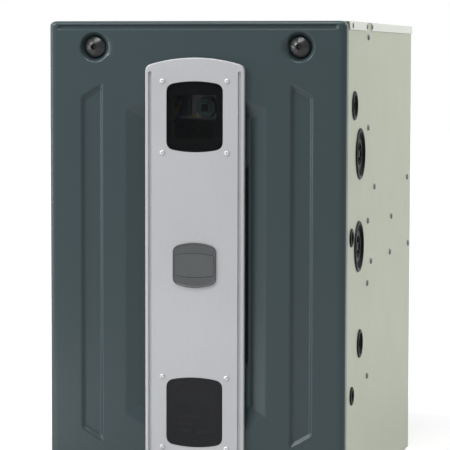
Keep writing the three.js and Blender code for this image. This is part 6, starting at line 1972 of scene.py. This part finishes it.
def blower_scroll(grow):
    """The scroll's spiral and the two corners of its neck, in (y, z)."""
    start, end, steps = pi * 0.56, pi * 2, 64
    spiral = []
    for i in range(steps + 1):
        angle = start + (end - start) * i / steps
        radius = BLOWER_RADIUS + BLOWER_GROWTH * i / steps + grow
        spiral.append((WHEEL_Y + radius * cos(angle), WHEEL_Z + radius * sin(angle)))
    neck = DECK_TOP + 6
    return [(spiral[0][0] - grow * 0.2, neck), *spiral, (spiral[-1][0], neck)]


def blower_housing():
    """The scroll: a wrapper seamed to two side plates with drawn inlets, hung on two flanges."""
    half = HOUSING_HALF
    mouth = span("blower_wheel")[1][2] - WHEEL_Z - 20
    line = blower_scroll(-1.2)
    c_shape = [*line, *reversed(blower_scroll(-2.4))]
    shapes = [plate(c_shape, 0.8 - half, half - 0.8, "x", edge=0.2)]
    inlet = [
        (mouth + 1, -1.0), (mouth, 0.5), (mouth + 0.6, 3.2), (mouth + 2.6, 5.4), (mouth + 5.4, 6),
        (mouth + 8, 4.4),
        (mouth + 9, 1.8), (mouth + 10.4, 0.6), (mouth + 14, 0.1), (mouth + 14, -1.0),
    ]
    inlet.append(inlet[0])
    for sign in (-1, 1):
        face = sign * half
        opening = circle(WHEEL_Y, WHEEL_Z, mouth + 12, 72)
        shapes.append(plate(blower_scroll(0), face, face - sign * 1.2, "x", holes=[opening], edge=0.3))
        seam = [*blower_scroll(0.6), *reversed(blower_scroll(-3.2))]
        shapes.append(plate(seam, face + sign * 0.5, face - sign * 2.6, "x", edge=0.7))
        shapes.append(lathe([(r, face + sign * h) for r, h in inlet], "x", (0, WHEEL_Y, WHEEL_Z), 72))
        for angle in (35, 90, 145, 200, 250, 305):
            a = radians(angle)
            bead = swept([
                (
                    face + sign * 0.1, WHEEL_Y + BEAD_RADIUS * cos(a + 0.12 * k),
                    WHEEL_Z + BEAD_RADIUS * sin(a + 0.12 * k)
                )
                for k in range(-2, 3)
            ], 1.6, 10)
            shapes.append(bead)
    reach = span("blower_housing")[1][0]
    for sign in (-1, 1):
        x0, x1 = sorted((sign * (half - 1.2), sign * reach))
        shapes.append(block(x0, x1, WHEEL_Y - 21, WHEEL_Y + 191, DECK_TOP - 21.5, DECK_TOP - 19.7, 0.5))
    piece("blower_scroll", shapes, "galvanised", "blower_housing")
    heads = []
    for sign in (-1, 1):
        for y in (WHEEL_Y - 10, WHEEL_Y + 180):
            heads.append(screw_head((sign * (half + 10), y, DECK_TOP - 21.5), 3.6, 1.6, axis="z"))
        for angle in (15, 128, 180, 232, 285, 335):
            a = radians(angle)
            r = 130 if angle < 100 else 128
            heads.append(
                screw_head(
                    (sign * (half + 0.2), WHEEL_Y + r * cos(a), WHEEL_Z + r * sin(a)), 3.4, 1.3, axis="x",
                    sign=sign
                )
            )
    piece("blower_screws", heads, "screw")


def blower_wheel():
    """The wheel: 42 forward-curved blades seamed into two rings, with a pressed disc and hub."""
    half, rim, disc = WHEEL_HALF, 127, 16
    blade = curved_blade(109.5, 125.6, 0.19, 0.9, 1 - half, half - 1, "x", 0.6)
    shapes = [spun(blade, "x", 360 * k / BLOWER_BLADES) for k in range(BLOWER_BLADES)]
    for sign in (-1, 1):
        near, far = sorted((sign * half, sign * (half - 5)))
        shapes.append(ring("x", (0, 0, 0), 84, 108.6, rim - 0.2, near, far, 1.2))
        shapes.append(ring("x", (0, 0, 0), 84, rim - 2, rim, near, far, 0.8))
    pressing = softened([(17, 1.2), (26, 1.2), (34, 4.2), (78, 4.2), (88, 1.2), (112, 1.2)], 5, 3)
    closed = [*[(r, disc + h) for r, h in pressing], *[(r, disc + h - 2.2) for r, h in reversed(pressing)]]
    shapes.append(lathe([*closed, closed[0]], "x", (0, 0, 0), 72))
    piece(
        "wheel_cage", moved(merged(*shapes), 0, WHEEL_Y, WHEEL_Z), "galvanised", "blower_wheel",
        body="blower_wheel_body"
    )
    hub = ring("x", (0, WHEEL_Y, WHEEL_Z), 36, 6.8, 19, 4, 40, 1.2)
    bolt = lathe([(0, 15), (4.6, 15), (4.6, 24), (4, 25), (0, 25)], "z", (33, WHEEL_Y, WHEEL_Z), 6)
    clips = [
        spun(
            block(60, 84, *around(WHEEL_Y, 1), WHEEL_Z + 124.4, WHEEL_Z + 126.6, 0.4), "x", a,
            (0, WHEEL_Y, WHEEL_Z)
        )
        for a in (70, 215)
    ]
    rivets = []
    for k in range(6):
        a = pi * k / 3
        at = (disc, WHEEL_Y + 23 * cos(a), WHEEL_Z + 23 * sin(a))
        rivets.append(lathe([(0, 1), (3.2, 1), (2.4, 2.6), (0, 3)], "x", at, 12))
    piece("wheel_hub", [hub, bolt, *clips, *rivets], "steel", body="blower_wheel_body")


def blower_motor():
    """The direct-drive motor: vented shell over its windings, bell, shaft and control end."""
    low, high = span("blower_motor")
    left, y, z = low[0] + 8, WHEEL_Y, WHEEL_Z
    body_left, body_right = left + 27, -38

    def vents(px, py, pz):
        radius, turn = polar(py - y, pz - z, 24)
        return 5 < turn < 19 and radius > 60 and (
            body_left + 8 < px < body_left + 22 or body_right - 20 < px < body_right - 7
        )

    rows = [(60.5, body_left), (70, body_left + 0.6)]
    rows += [(70, body_left + 0.6 + (body_right - body_left - 0.6) * k / 44) for k in range(1, 45)]
    rows += [(69.2, body_right + 3), (66, body_right + 7), (62, body_right + 10)]
    made = piece("motor_shell", without(lathe(rows, "x", (0, y, z), 75), vents), "motor", "blower_motor")
    thickened(made, 1.6)
    bell = softened([(62, body_right + 10), (30, -22.6), (18, -22), (12, -22), (12, -20.4), (0, -20.4)], 3, 4)

    def bell_slots(px, py, pz):
        radius, turn = polar(py - y, pz - z, 45)
        return 8 < turn < 34 and 34 < radius < 56

    made = piece("motor_bell", without(lathe(finer(bell, 4), "x", (0, y, z), 72), bell_slots), "motor")
    thickened(made, 1.6)
    module = softened(
        raised(left, [(0, 0), (50, 0), (54, 1.4), (58, 5), (60, 8), (60, 26.8), (0, 26.8)]), 2, 4
    )
    fins = [block(left, left + 2.4, *around(y, 46), *around(z + a, 1), 0.6) for a in range(-30, 31, 10)]
    piece("motor_module", [lathe(module, "x", (0, y, z), 60), *fins], "polymer")
    windings = ring("x", (0, y, z), 48, 34, 62, body_left + 4, body_left + 28, 8)
    rear_windings = ring("x", (0, y, z), 48, 34, 62, body_right - 28, body_right - 2, 8)
    piece("motor_windings", [windings, rear_windings], "copper")
    stack = ring("x", (0, y, z), 48, 30, 68, body_left + 28, body_right - 28, 1)
    piece("motor_core", stack, "iron")
    shaft = lathe(
        [(0, -24), (6.35, -24), (6.35, high[0] - 1), (5.4, high[0]), (0, high[0])], "x", (0, y, z), 28
    )
    bolts = []
    for k in range(4):
        a = pi / 4 + pi * k / 2
        bolts.append(
            screw_head((body_right + 10.4, y + 60 * cos(a), z + 60 * sin(a)), 3.6, 2.6, axis="x", sign=1)
        )
    piece("motor_shaft", [shaft, *bolts], "steel")
    plug = block(*around(left, 8), *around(y, 12), z - 44, z - 26, 1.4)
    sockets = [
        block(left - 8.6, left - 7.4, y - 9 + 6 * k, y - 5.4 + 6 * k, z - 40, z - 31, 0.3) for k in range(4)
    ]
    piece("motor_plug", [plug, *sockets], "white")


def motor_mount():
    """A clamp band with its bolt, and three flat arms with rubber grommets out to the housing."""
    y, z = WHEEL_Y, WHEEL_Z
    plate_x = -HOUSING_HALF - 6 - GAP
    band = ring("x", (0, y, z), 60, 70.3, 73.3, plate_x - 12, plate_x, 0.4)
    reach = 129
    arms, rubbers = [], []
    for k in range(3):
        turn = 90 + 120 * k
        arm = plate(
            rectangle(*around(y, 10), z + 71, z + reach, 4), plate_x - 2.5, plate_x, "x",
            holes=[rectangle(*around(y, 4), z + 84, z + 104, 3.9)], edge=0.4
        )
        ear = block(plate_x - 1.25, plate_x + 6.2, *around(y, 10), z + reach - 10, z + reach, 0.6)
        bolt = lathe(
            raised(plate_x, [(0, -5.6), (4.4, -5.6), (4.8, -5), (4.8, -2.4), (0, -2.4)]), "x",
            (0, y, z + reach - 7), 6
        )
        arms += [spun(s, "x", turn, (0, y, z)) for s in (arm, ear, bolt)]
        grommet = ring("x", (0, y, z + reach - 7), 24, 4.6, 8, plate_x - 4.2, plate_x + 1, 0.9)
        rubbers.append(spun(grommet, "x", turn, (0, y, z)))
    lugs = [block(plate_x - 11, plate_x - 1, *around(y + s * 5, 1.5), z + 72, z + 84, 0.5) for s in (-1, 1)]
    pin = rod("y", (plate_x - 6, 0, z + 79), 16, 3, y - 10, y + 12)
    nut = rod("y", (plate_x - 6, 0, z + 79), 6, 4.6, y + 6.5, y + 10)
    piece("mount_band", [band, *arms, *lugs, pin, nut], "galvanised", "blower_motor_mount")
    piece("mount_grommets", rubbers, "rubber")


blower_housing()
blower_wheel()
blower_motor()
motor_mount()

# ---------------------------------------------------------------- controls

TRAY_FACE = span("control_tray")[0][1]
BOARD_REAR = TRAY_FACE - 9
BOARD_FRONT = BOARD_REAR - 1.6
BOARD_LOW, BOARD_HIGH = 116.6, 238.6
POST_X = 70
RELAY_PITCH = 26
DIGIT_PITCH = 17.5


def on_board(x0, x1, z0, z1, tall, edge=0.6):
    """A component that stands on the board; z is measured up from the board's lower edge."""
    return block(x0, x1, BOARD_FRONT - tall, BOARD_FRONT + 0.4, BOARD_LOW + z0, BOARD_LOW + z1, edge)


def standing_can(x, z, radius, tall):
    """A capacitor can standing on the board: a rolled rim, a scored top and a crimped foot."""
    rows = [
        (0, 0.4), (radius, 0.4), (radius, -1.6), (radius - 0.6, -2.4), (radius, -3.2), (radius, 0.8 - tall),
        (radius - 0.9, -tall), (radius - 1.6, 0.3 - tall), (0, 0.3 - tall),
    ]
    return lathe([(r, BOARD_FRONT + h) for r, h in rows], "y", (x, 0, BOARD_LOW + z), 28)


def control_board():
    """The board on its posts, with each kind of component as a piece of its own."""
    corners = [(x, z) for x in (-POST_X, POST_X) for z in (BOARD_LOW + 8, BOARD_HIGH - 8)]
    holes = [circle(x, z, 2.2, 14) for x, z in corners]
    board = plate(
        rectangle(-78, 78, BOARD_LOW, BOARD_HIGH, 3), BOARD_FRONT, BOARD_REAR, holes=holes, edge=0.25
    )
    piece("board_laminate", board, "board", "control_board")
    post = [
        (0, TRAY_FACE - GAP), (4, TRAY_FACE - GAP), (4, BOARD_REAR), (2.1, BOARD_REAR),
        (2.1, BOARD_FRONT - 1),
        (3.4, BOARD_FRONT - 1.4), (2.4, BOARD_FRONT - 3.4), (0, BOARD_FRONT - 4),
    ]
    posts = [lathe(post, "y", (x, 0, z), 16) for x, z in corners]
    piece("board_posts", posts, "white")
    black = [on_board(-66 + RELAY_PITCH * i, -46 + RELAY_PITCH * i, 84, 108, 17, 1) for i in range(3)]
    black += [
        on_board(-58, -30, 46, 66, 2.6, 0.5), on_board(28, 40, 66, 80, 2, 0.4),
        on_board(-14, 24, 44, 64, 7, 0.8)
    ]
    black += [on_board(-22 + 9 * i, -16 + 9 * i, 70, 78, 5, 0.5) for i in range(4)]
    black += [on_board(6 + 7 * i, 10 + 7 * i, 26, 36, 6, 0.4) for i in range(3)]
    piece("board_relays", black, "black")
    lids = [
        block(
            -64.5 + RELAY_PITCH * i, -47.5 + RELAY_PITCH * i, BOARD_FRONT - 17.2, BOARD_FRONT - 16.6,
            BOARD_LOW + 86, BOARD_LOW + 106, 0.2
        )
        for i in range(3)
    ]
    piece("board_relay_lids", lids, "blue")
    screen = [on_board(-11.5 + DIGIT_PITCH * i, 4 + DIGIT_PITCH * i, 46.5, 61.5, 7.4, 0.3) for i in range(2)]
    piece("board_display", screen, "gloss_black")
    segments = []
    for i in range(2):
        cx = -3.7 + DIGIT_PITCH * i
        for dz in (-5, 0, 5):
            segments.append(
                block(
                    *around(cx, 2.6), BOARD_FRONT - 7.9, BOARD_FRONT - 7.3, BOARD_LOW + 53.6 + dz,
                    BOARD_LOW + 54.5 + dz, 0.1
                )
            )
        for dx in (-3.2, 2.4):
            for dz in (-4.4, 0.6):
                segments.append(
                    block(
                        cx + dx, cx + dx + 0.9, BOARD_FRONT - 7.9, BOARD_FRONT - 7.3, BOARD_LOW + 54 + dz,
                        BOARD_LOW + 58 + dz, 0.1
                    )
                )
    segments += [on_board(-70 + 8 * i, -67 + 8 * i, 72, 75, 3, 0.8) for i in range(3)]
    piece("board_segments", segments, "red", slot="white_plastic")
    white = [
        on_board(-70, -22, 6, 18, 11, 0.8), on_board(-14, 10, 6, 16, 9, 0.8), on_board(66, 76, 26, 60, 9, 0.8)
    ]
    for i in range(9):
        white.append(on_board(-68.5 + 5.2 * i, -65 + 5.2 * i, 9, 15, 13, 0.3))
    piece("board_headers", white, "white")
    green = [on_board(24, 70, 90, 106, 10, 0.8)]
    green += [on_board(25.5 + 9 * i, 32 + 9 * i, 86, 92, 8, 0.5) for i in range(5)]
    piece("board_terminals", green, "green")
    screw = [(0, -10), (2.6, -10), (2.6, -11.2), (1.8, -11.8), (0, -11.9)]
    screws = [lathe(screw, "y", (28.8 + 9 * i, BOARD_FRONT, BOARD_LOW + 99), 16) for i in range(5)]
    tabs = [
        on_board(-66 + RELAY_PITCH * i + a, -65.2 + RELAY_PITCH * i + a, 109, 114, 9, 0.2)
        for i in range(3) for a in (3, 13)
    ]
    tabs += [on_board(22 + 7 * i, 22.8 + 7 * i, 6, 12, 9, 0.2) for i in range(7)]
    crystal = plate(
        rectangle(46, 58, BOARD_LOW + 70, BOARD_LOW + 75, 2.4), BOARD_FRONT + 0.2, BOARD_FRONT - 4, edge=0.6
    )
    piece("board_tabs", [*screws, *tabs, crystal], "steel")
    sizes = [(44, 52, 8, 22.4), (62.4, 72, 5, 14), (-70, 56, 4.4, 12), (30, 30, 4.4, 12), (46, 30, 6, 16)]
    cans = [standing_can(*size) for size in sizes]
    piece("board_capacitors", cans, "blue")
    film = [on_board(-64 + 15 * i, -52 + 15 * i, 24, 31, 9, 1) for i in range(3)]
    film += [on_board(-44 + 6 * i, -41 + 6 * i, 36, 42, 2.2, 0.6) for i in range(6)]
    piece("board_film_capacitors", film, "yellow")
    fuse = [on_board(56, 72, 8, 12, 12, 0.6), on_board(58, 70, 7.4, 12.6, 6, 0.4)]
    piece("board_fuse", fuse, "orange")
    choke = [ring("y", (62, 0, BOARD_LOW + 45), 28, 3.4, 8.4, BOARD_FRONT - 9, BOARD_FRONT + 0.2, 2)]
    piece("board_choke", choke, "copper")


def transformer():
    """The transformer: a laminated core in a steel frame, its wound bobbin, lugs and feet."""
    low, high = span("transformer")
    x, rear, z = -96, TRAY_FACE - GAP, (low[2] + high[2]) / 2
    sheets = []
    for k in range(18):
        y = rear - 5 - k * 2
        sheets.append(
            plate(
                rectangle(*around(x, 30), *around(z, 25), 1.2), y, y - 1.5,
                holes=[rectangle(*around(x, 17), *around(z, 16), 1)], edge=0.2
            )
        )
    piece("transformer_core", sheets, "iron", "transformer")
    foot = plate(
        rectangle(*around(x, 42), *around(z, 20), 4), rear, rear - 1.5,
        holes=[circle(x - 36.5, z, 2.6, 16), circle(x + 36.5, z, 2.6, 16)], edge=0.4
    )
    strap = [block(*around(x + s * 30.4, 0.7), rear - 41, rear - 1, *around(z, 20), 0.4) for s in (-1, 1)]
    strap += [block(*around(x, 31), rear - 41.6, rear - 40.4, *around(z + up, 4), 0.4) for up in (21, -21)]
    screws = [screw_head((x + s * 36.5, rear - 1.5, z), 4, 1.8) for s in (-1, 1)]
    piece("transformer_frame", [foot, *strap, *screws], "steel")
    coil = plate(rectangle(*around(x, 16.5), *around(z, 30), 7), rear - 4, rear - 44, edge=5)
    piece("transformer_winding", coil, "copper")
    flanges = [
        plate(rectangle(*around(x, 18), *around(z, 33), 4), y, y - 1.6, edge=0.4)
        for y in (rear - 3, rear - 44.2)
    ]
    bars = [block(*around(x, 18), rear - 45, rear - 3, *around(c, 0.9), 0.4) for c in (z - 32, z + 32)]
    piece("transformer_bobbin", [*flanges, *bars], "cream")


def junction_box():
    """The field-wiring box with its knock-outs and strap screws."""
    eased_node("junction_box", "galvanised", edge=0.4)
    low, high = span("junction_box")
    x, z = low[0], (low[2] + high[2]) / 2
    rings = [ring("x", (0, low[1] + dy, z - 14), 32, 9.4, 10.6, x - 0.35, x + 0.3, 0.15) for dy in (24, 56)]
    rings.append(
        ring(
            "z", ((low[0] + high[0]) / 2, low[1] + 40, 0), 32, 9.4, 10.6, high[2] - 0.3, high[2] + 0.35, 0.15
        )
    )
    heads = [
        screw_head((x, low[1] + 8, z + 28), 3.2, 1.3, axis="x"),
        screw_head((x, high[1] - 8, z + 28), 3.2, 1.3, axis="x")
    ]
    piece("junction_knockouts", [*rings, *heads], "steel")


def door_switch():
    """The interlock: a black snap-in body with a collar and tabs, and its white plunger."""
    low, high = span("door_switch_body")
    x, z, rear = 118, (low[2] + high[2]) / 2, high[1]
    body = shell(
        rectangle(*around(x, 14), *around(z, 11), 2.4), rear - 46, rear - 44, 1.9, 1.2,
        [circle(x, z, 5.2, 28)]
    )
    bulk = plate(
        rectangle(*around(x, 14), *around(z, 11), 2), rear - 44.4, rear, holes=[circle(x, z, 4.6, 28)],
        edge=0.8
    )
    wings = [block(x + s * 14, x + s * 15.6, rear - 30, rear - 12, *around(z, 6), 0.5) for s in (-1, 1)]
    collar = ring("y", (x, 0, z), 36, 4.5, 7.5, low[1], rear - 43.6, 0.6)
    ridges = [
        block(*around(x, 14.3), rear - 8 - 5 * k, rear - 6 - 5 * k, z + 10.4, z + 11.4, 0.3) for k in range(3)
    ]
    piece("interlock_body", [body, bulk, *wings, collar, *ridges], "black", "door_switch_body")
    near, far = span("door_switch_plunger")[0][1], span("door_switch_plunger")[1][1]
    rows = [
        (0, near), (2.2, near), (3.2, near + 0.5), (3.8, near + 1.5), (4, near + 3), (4, far - 0.6),
        (3.4, far), (0, far)
    ]
    piece(
        "interlock_plunger", lathe(rows, "y", (x, 0, z), 32), "white", "door_switch_plunger",
        body="door_switch_button"
    )


def tray_details():
    """The control tray with its eased folds, and the screws that hang it from the deck."""
    eased_node("control_tray", "galvanised")
    low, high = span("control_tray")
    heads = [screw_head((x, TRAY_FACE, high[2] - 12), 3.6, 1.5) for x in (-140, -50, 50, 140)]
    heads += [screw_head((x, TRAY_FACE, low[2] + 9), 3.6, 1.5) for x in (-140, 140)]
    piece("tray_screws", heads, "screw")


control_board()
transformer()
junction_box()
door_switch()
tray_details()

# ---------------------------------------------------------------- wiring

LOOM = [
    (-86, 47, 150), (-90, 46, 190), (-84, 44, 240), (-52, 42, 262), (-30, 38, 300), (-26, 28, 338),
    (-26, 8, 370),
    (-26, 7, 412), (-36, 20, 440), (-68, 34, 466), (-106, 46, 506), (-114, 50, 560), (-112, 50, 620),
    (-100, 46, 656),
]
LOOM_SPREAD = 1.9
BOOT_Z = VALVE_Z + 8


def in_loom(number, first, last):
    """The loom's points from first to last, moved to one lead's own place in the bundle."""
    reach, angle = LOOM_SPREAD * sqrt(number), number * 2.4
    across, deep = reach * cos(angle), reach * sin(angle)
    return [(x + across, y + deep, z) for x, y, z in LOOM[first:last]]


def tie(x, y, z, radius):
    """A cable tie round the loom, with its lock."""
    band = ring("z", (x, y, 0), 24, radius, radius + 1.2, z - 2, z + 2, 0.4)
    return merged(band, block(*around(x, 2.6), y - radius - 3.4, y - radius, *around(z, 2.8), 0.5))


def loom():
    """Leads from the board's header up past the deck's edge to the parts of the burner bay."""
    spark_z, probe_y = BOX_BOTTOM - GAP - 18, PROBE_Y
    over = [(-60, 28, 655), (-4, 20, 649), (54, 30, 662), (112, 92, 690), (134, 172, 702)]
    limit = [(-150, 46, 664), (-210, 58, 704), (-214, 84, 800), (-200, 112, 834), (-162, 140, 842)]
    switch = [(-126, 60, 536), (-146, 78, 540)]
    fan = [(-84, 26, 536), (-62, 24, 560)]
    routes = [
        ("yellow", 14, [(-64, 26, 684), (-44, 17, 706), (-37.5, 21, BOOT_Z)]),
        ("blue", 14, [(-58, 24, 680), (-32, 16, 704), (-26.5, 21, BOOT_Z)]),
        ("white", 14, [*over, (137, probe_y, spark_z)]),
        ("cream", 14, [*[(x, y - 3, z - 7) for x, y, z in over], (141, probe_y, spark_z)]),
        ("orange", 14, [(-122, 92, 684), (-138, 174, 700), (-139, probe_y, spark_z)]),
        ("red", 13, [*limit, (-139, ROLLOUT_Y, 832)]),
        ("rubber", 13, [*[(x + 3, y - 4, z + 5) for x, y, z in limit], (-131, ROLLOUT_Y, 832)]),
        ("red", 11, [*fan, (-50, 44, 566)]),
        ("black", 11, [*[(x + 4, y + 1, z - 6) for x, y, z in fan], (-46, 45, 560)]),
        ("blue", 12, [*switch, (-158, 98, 556), (-158, 107, PRESSURE_Z)]),
        (
            "yellow", 12,
            [*[(x + 4, y, z - 4) for x, y, z in switch], (-146, 98, 556), (-146, 107, PRESSURE_Z)]
        ),
    ]
    for number, (skin, last, ends) in enumerate(routes, 1):
        header_x = -68.5 + 4.3 * (number - 1)
        start = [
            (header_x, BOARD_FRONT - 12, BOARD_LOW + 12),
            (header_x, BOARD_FRONT - 20, BOARD_LOW + 13 + number % 3),
            (header_x * 0.3 - 62, BOARD_FRONT - 17 - number % 4, BOARD_LOW + 18 + number % 2 * 2),
        ]
        wire(f"loom_lead_{number}", [*start, *in_loom(number, 0, last), *ends], skin, 1.4)
    ties = [tie(*LOOM[point], radius) for point, radius in ((1, 7.2), (4, 7.6), (7, 7.2), (11, 7.6))]
    piece("loom_ties", ties, "black")


def branch_leads():
    """Leads of the blower motor, transformer, door switch and junction box."""
    left = span("blower_motor")[0][0]
    for k, skin in enumerate(("black", "white", "blue", "red")):
        plug_y = WHEEL_Y - 7.2 + 6 * k
        drop = 3.4 * k
        wire(f"motor_lead_{k + 1}", [
            (-75 + 3 * k, BOARD_FRONT - 9, BOARD_LOW + 112), (-80 + 2 * k, BOARD_FRONT - 16, BOARD_LOW + 118),
            (-104, 40 + k, BOARD_LOW + 96), (-132, 46 + k, BOARD_LOW + 40 + drop),
            (-160, 62, BOARD_LOW + 20 + drop),
            (-178 - k, 120, BOARD_LOW + 14 + drop), (-192 + k, 240, BOARD_LOW + 6 + drop),
            (-196 - k, 340, BOARD_LOW + 18 + drop),
            (-200, plug_y - 8, WHEEL_Z - 38 + k), (left - 8, plug_y, WHEEL_Z - 35.4),
            (left - 0.5, plug_y, WHEEL_Z - 35.4),
        ], skin, 1.5)
    coil_z = TRAY_FACE - GAP - 42
    low = span("transformer")[0][2]
    for k, skin in enumerate(("red", "blue", "yellow")):
        x = -104 + 8 * k
        tab = -62.6 + RELAY_PITCH * k
        wire(f"transformer_lead_{k + 1}", [
            (x, coil_z + 2, low + 4), (x, coil_z - 4, low - 4), (x + 4, coil_z + 4, low - 14 - 2 * k),
            (tab - 4, 34, BOARD_HIGH + 12 + 3 * k), (tab, BOARD_FRONT - 8, BOARD_HIGH + 3),
            (tab, BOARD_FRONT - 7, BOARD_LOW + 112),
        ], skin, 1.3)
    door = span("door_switch_body")
    switch_z = (door[0][2] + door[1][2]) / 2
    for k, skin in enumerate(("black", "white")):
        wire(f"interlock_lead_{k + 1}", [
            (103, 48, switch_z - 4 + 7 * k), (96, 46, switch_z - 4 + 7 * k), (90 - 3 * k, 40, switch_z - 24),
            (88 - 3 * k, 38, BOARD_HIGH),
            (86, 40, BOARD_LOW + 80), (78, BOARD_FRONT - 12, BOARD_LOW + 44 + 6 * k),
            (70, BOARD_FRONT - 8, BOARD_LOW + 44 + 6 * k),
        ], skin, 1.4)
    box = span("junction_box")
    inside = (box[0][0] + 26, box[0][1] + 44, box[0][2] + 26)
    ends = {
        "black": [(150, 36, 336), (137, 40, 312), (133, 50, switch_z + 3)],
        "white": [(150, 40, 300), (118, 34, 262), (74, 34, 246), (40, BOARD_FRONT - 9, BOARD_LOW + 108)],
        "green": [(176, 40, 360), (152, 50, 380), (143, TRAY_FACE - 3, 396)],
    }
    for k, (skin, route) in enumerate(ends.items()):
        wire(f"mains_lead_{k + 1}", [
            (inside[0] + 5 * k, inside[1], inside[2]), (inside[0] + 4 * k, box[0][1] + 14, inside[2] + 2 * k),
            (inside[0] - 12, box[0][1] - 4, inside[2] + 3 * k),
            (inside[0] - 44, box[0][1] + 2, inside[2] - 2 + 6 * k), *route,
        ], skin, 1.5)
    nuts = []
    for k in range(3):
        x = inside[0] + 5 * k
        rows = [(0, 0), (3.2, 0), (4.4, 2), (5.2, 12), (4.6, 14), (0, 14)]
        nuts.append(
            lathe(
                [(r, inside[1] - 2 + h) for r, h in rows], "y", (x + 3 * k - 3, 0, inside[2] + 6 * (k % 2)),
                12
            )
        )
    piece("wire_nuts", nuts, "orange")


loom()
branch_leads()
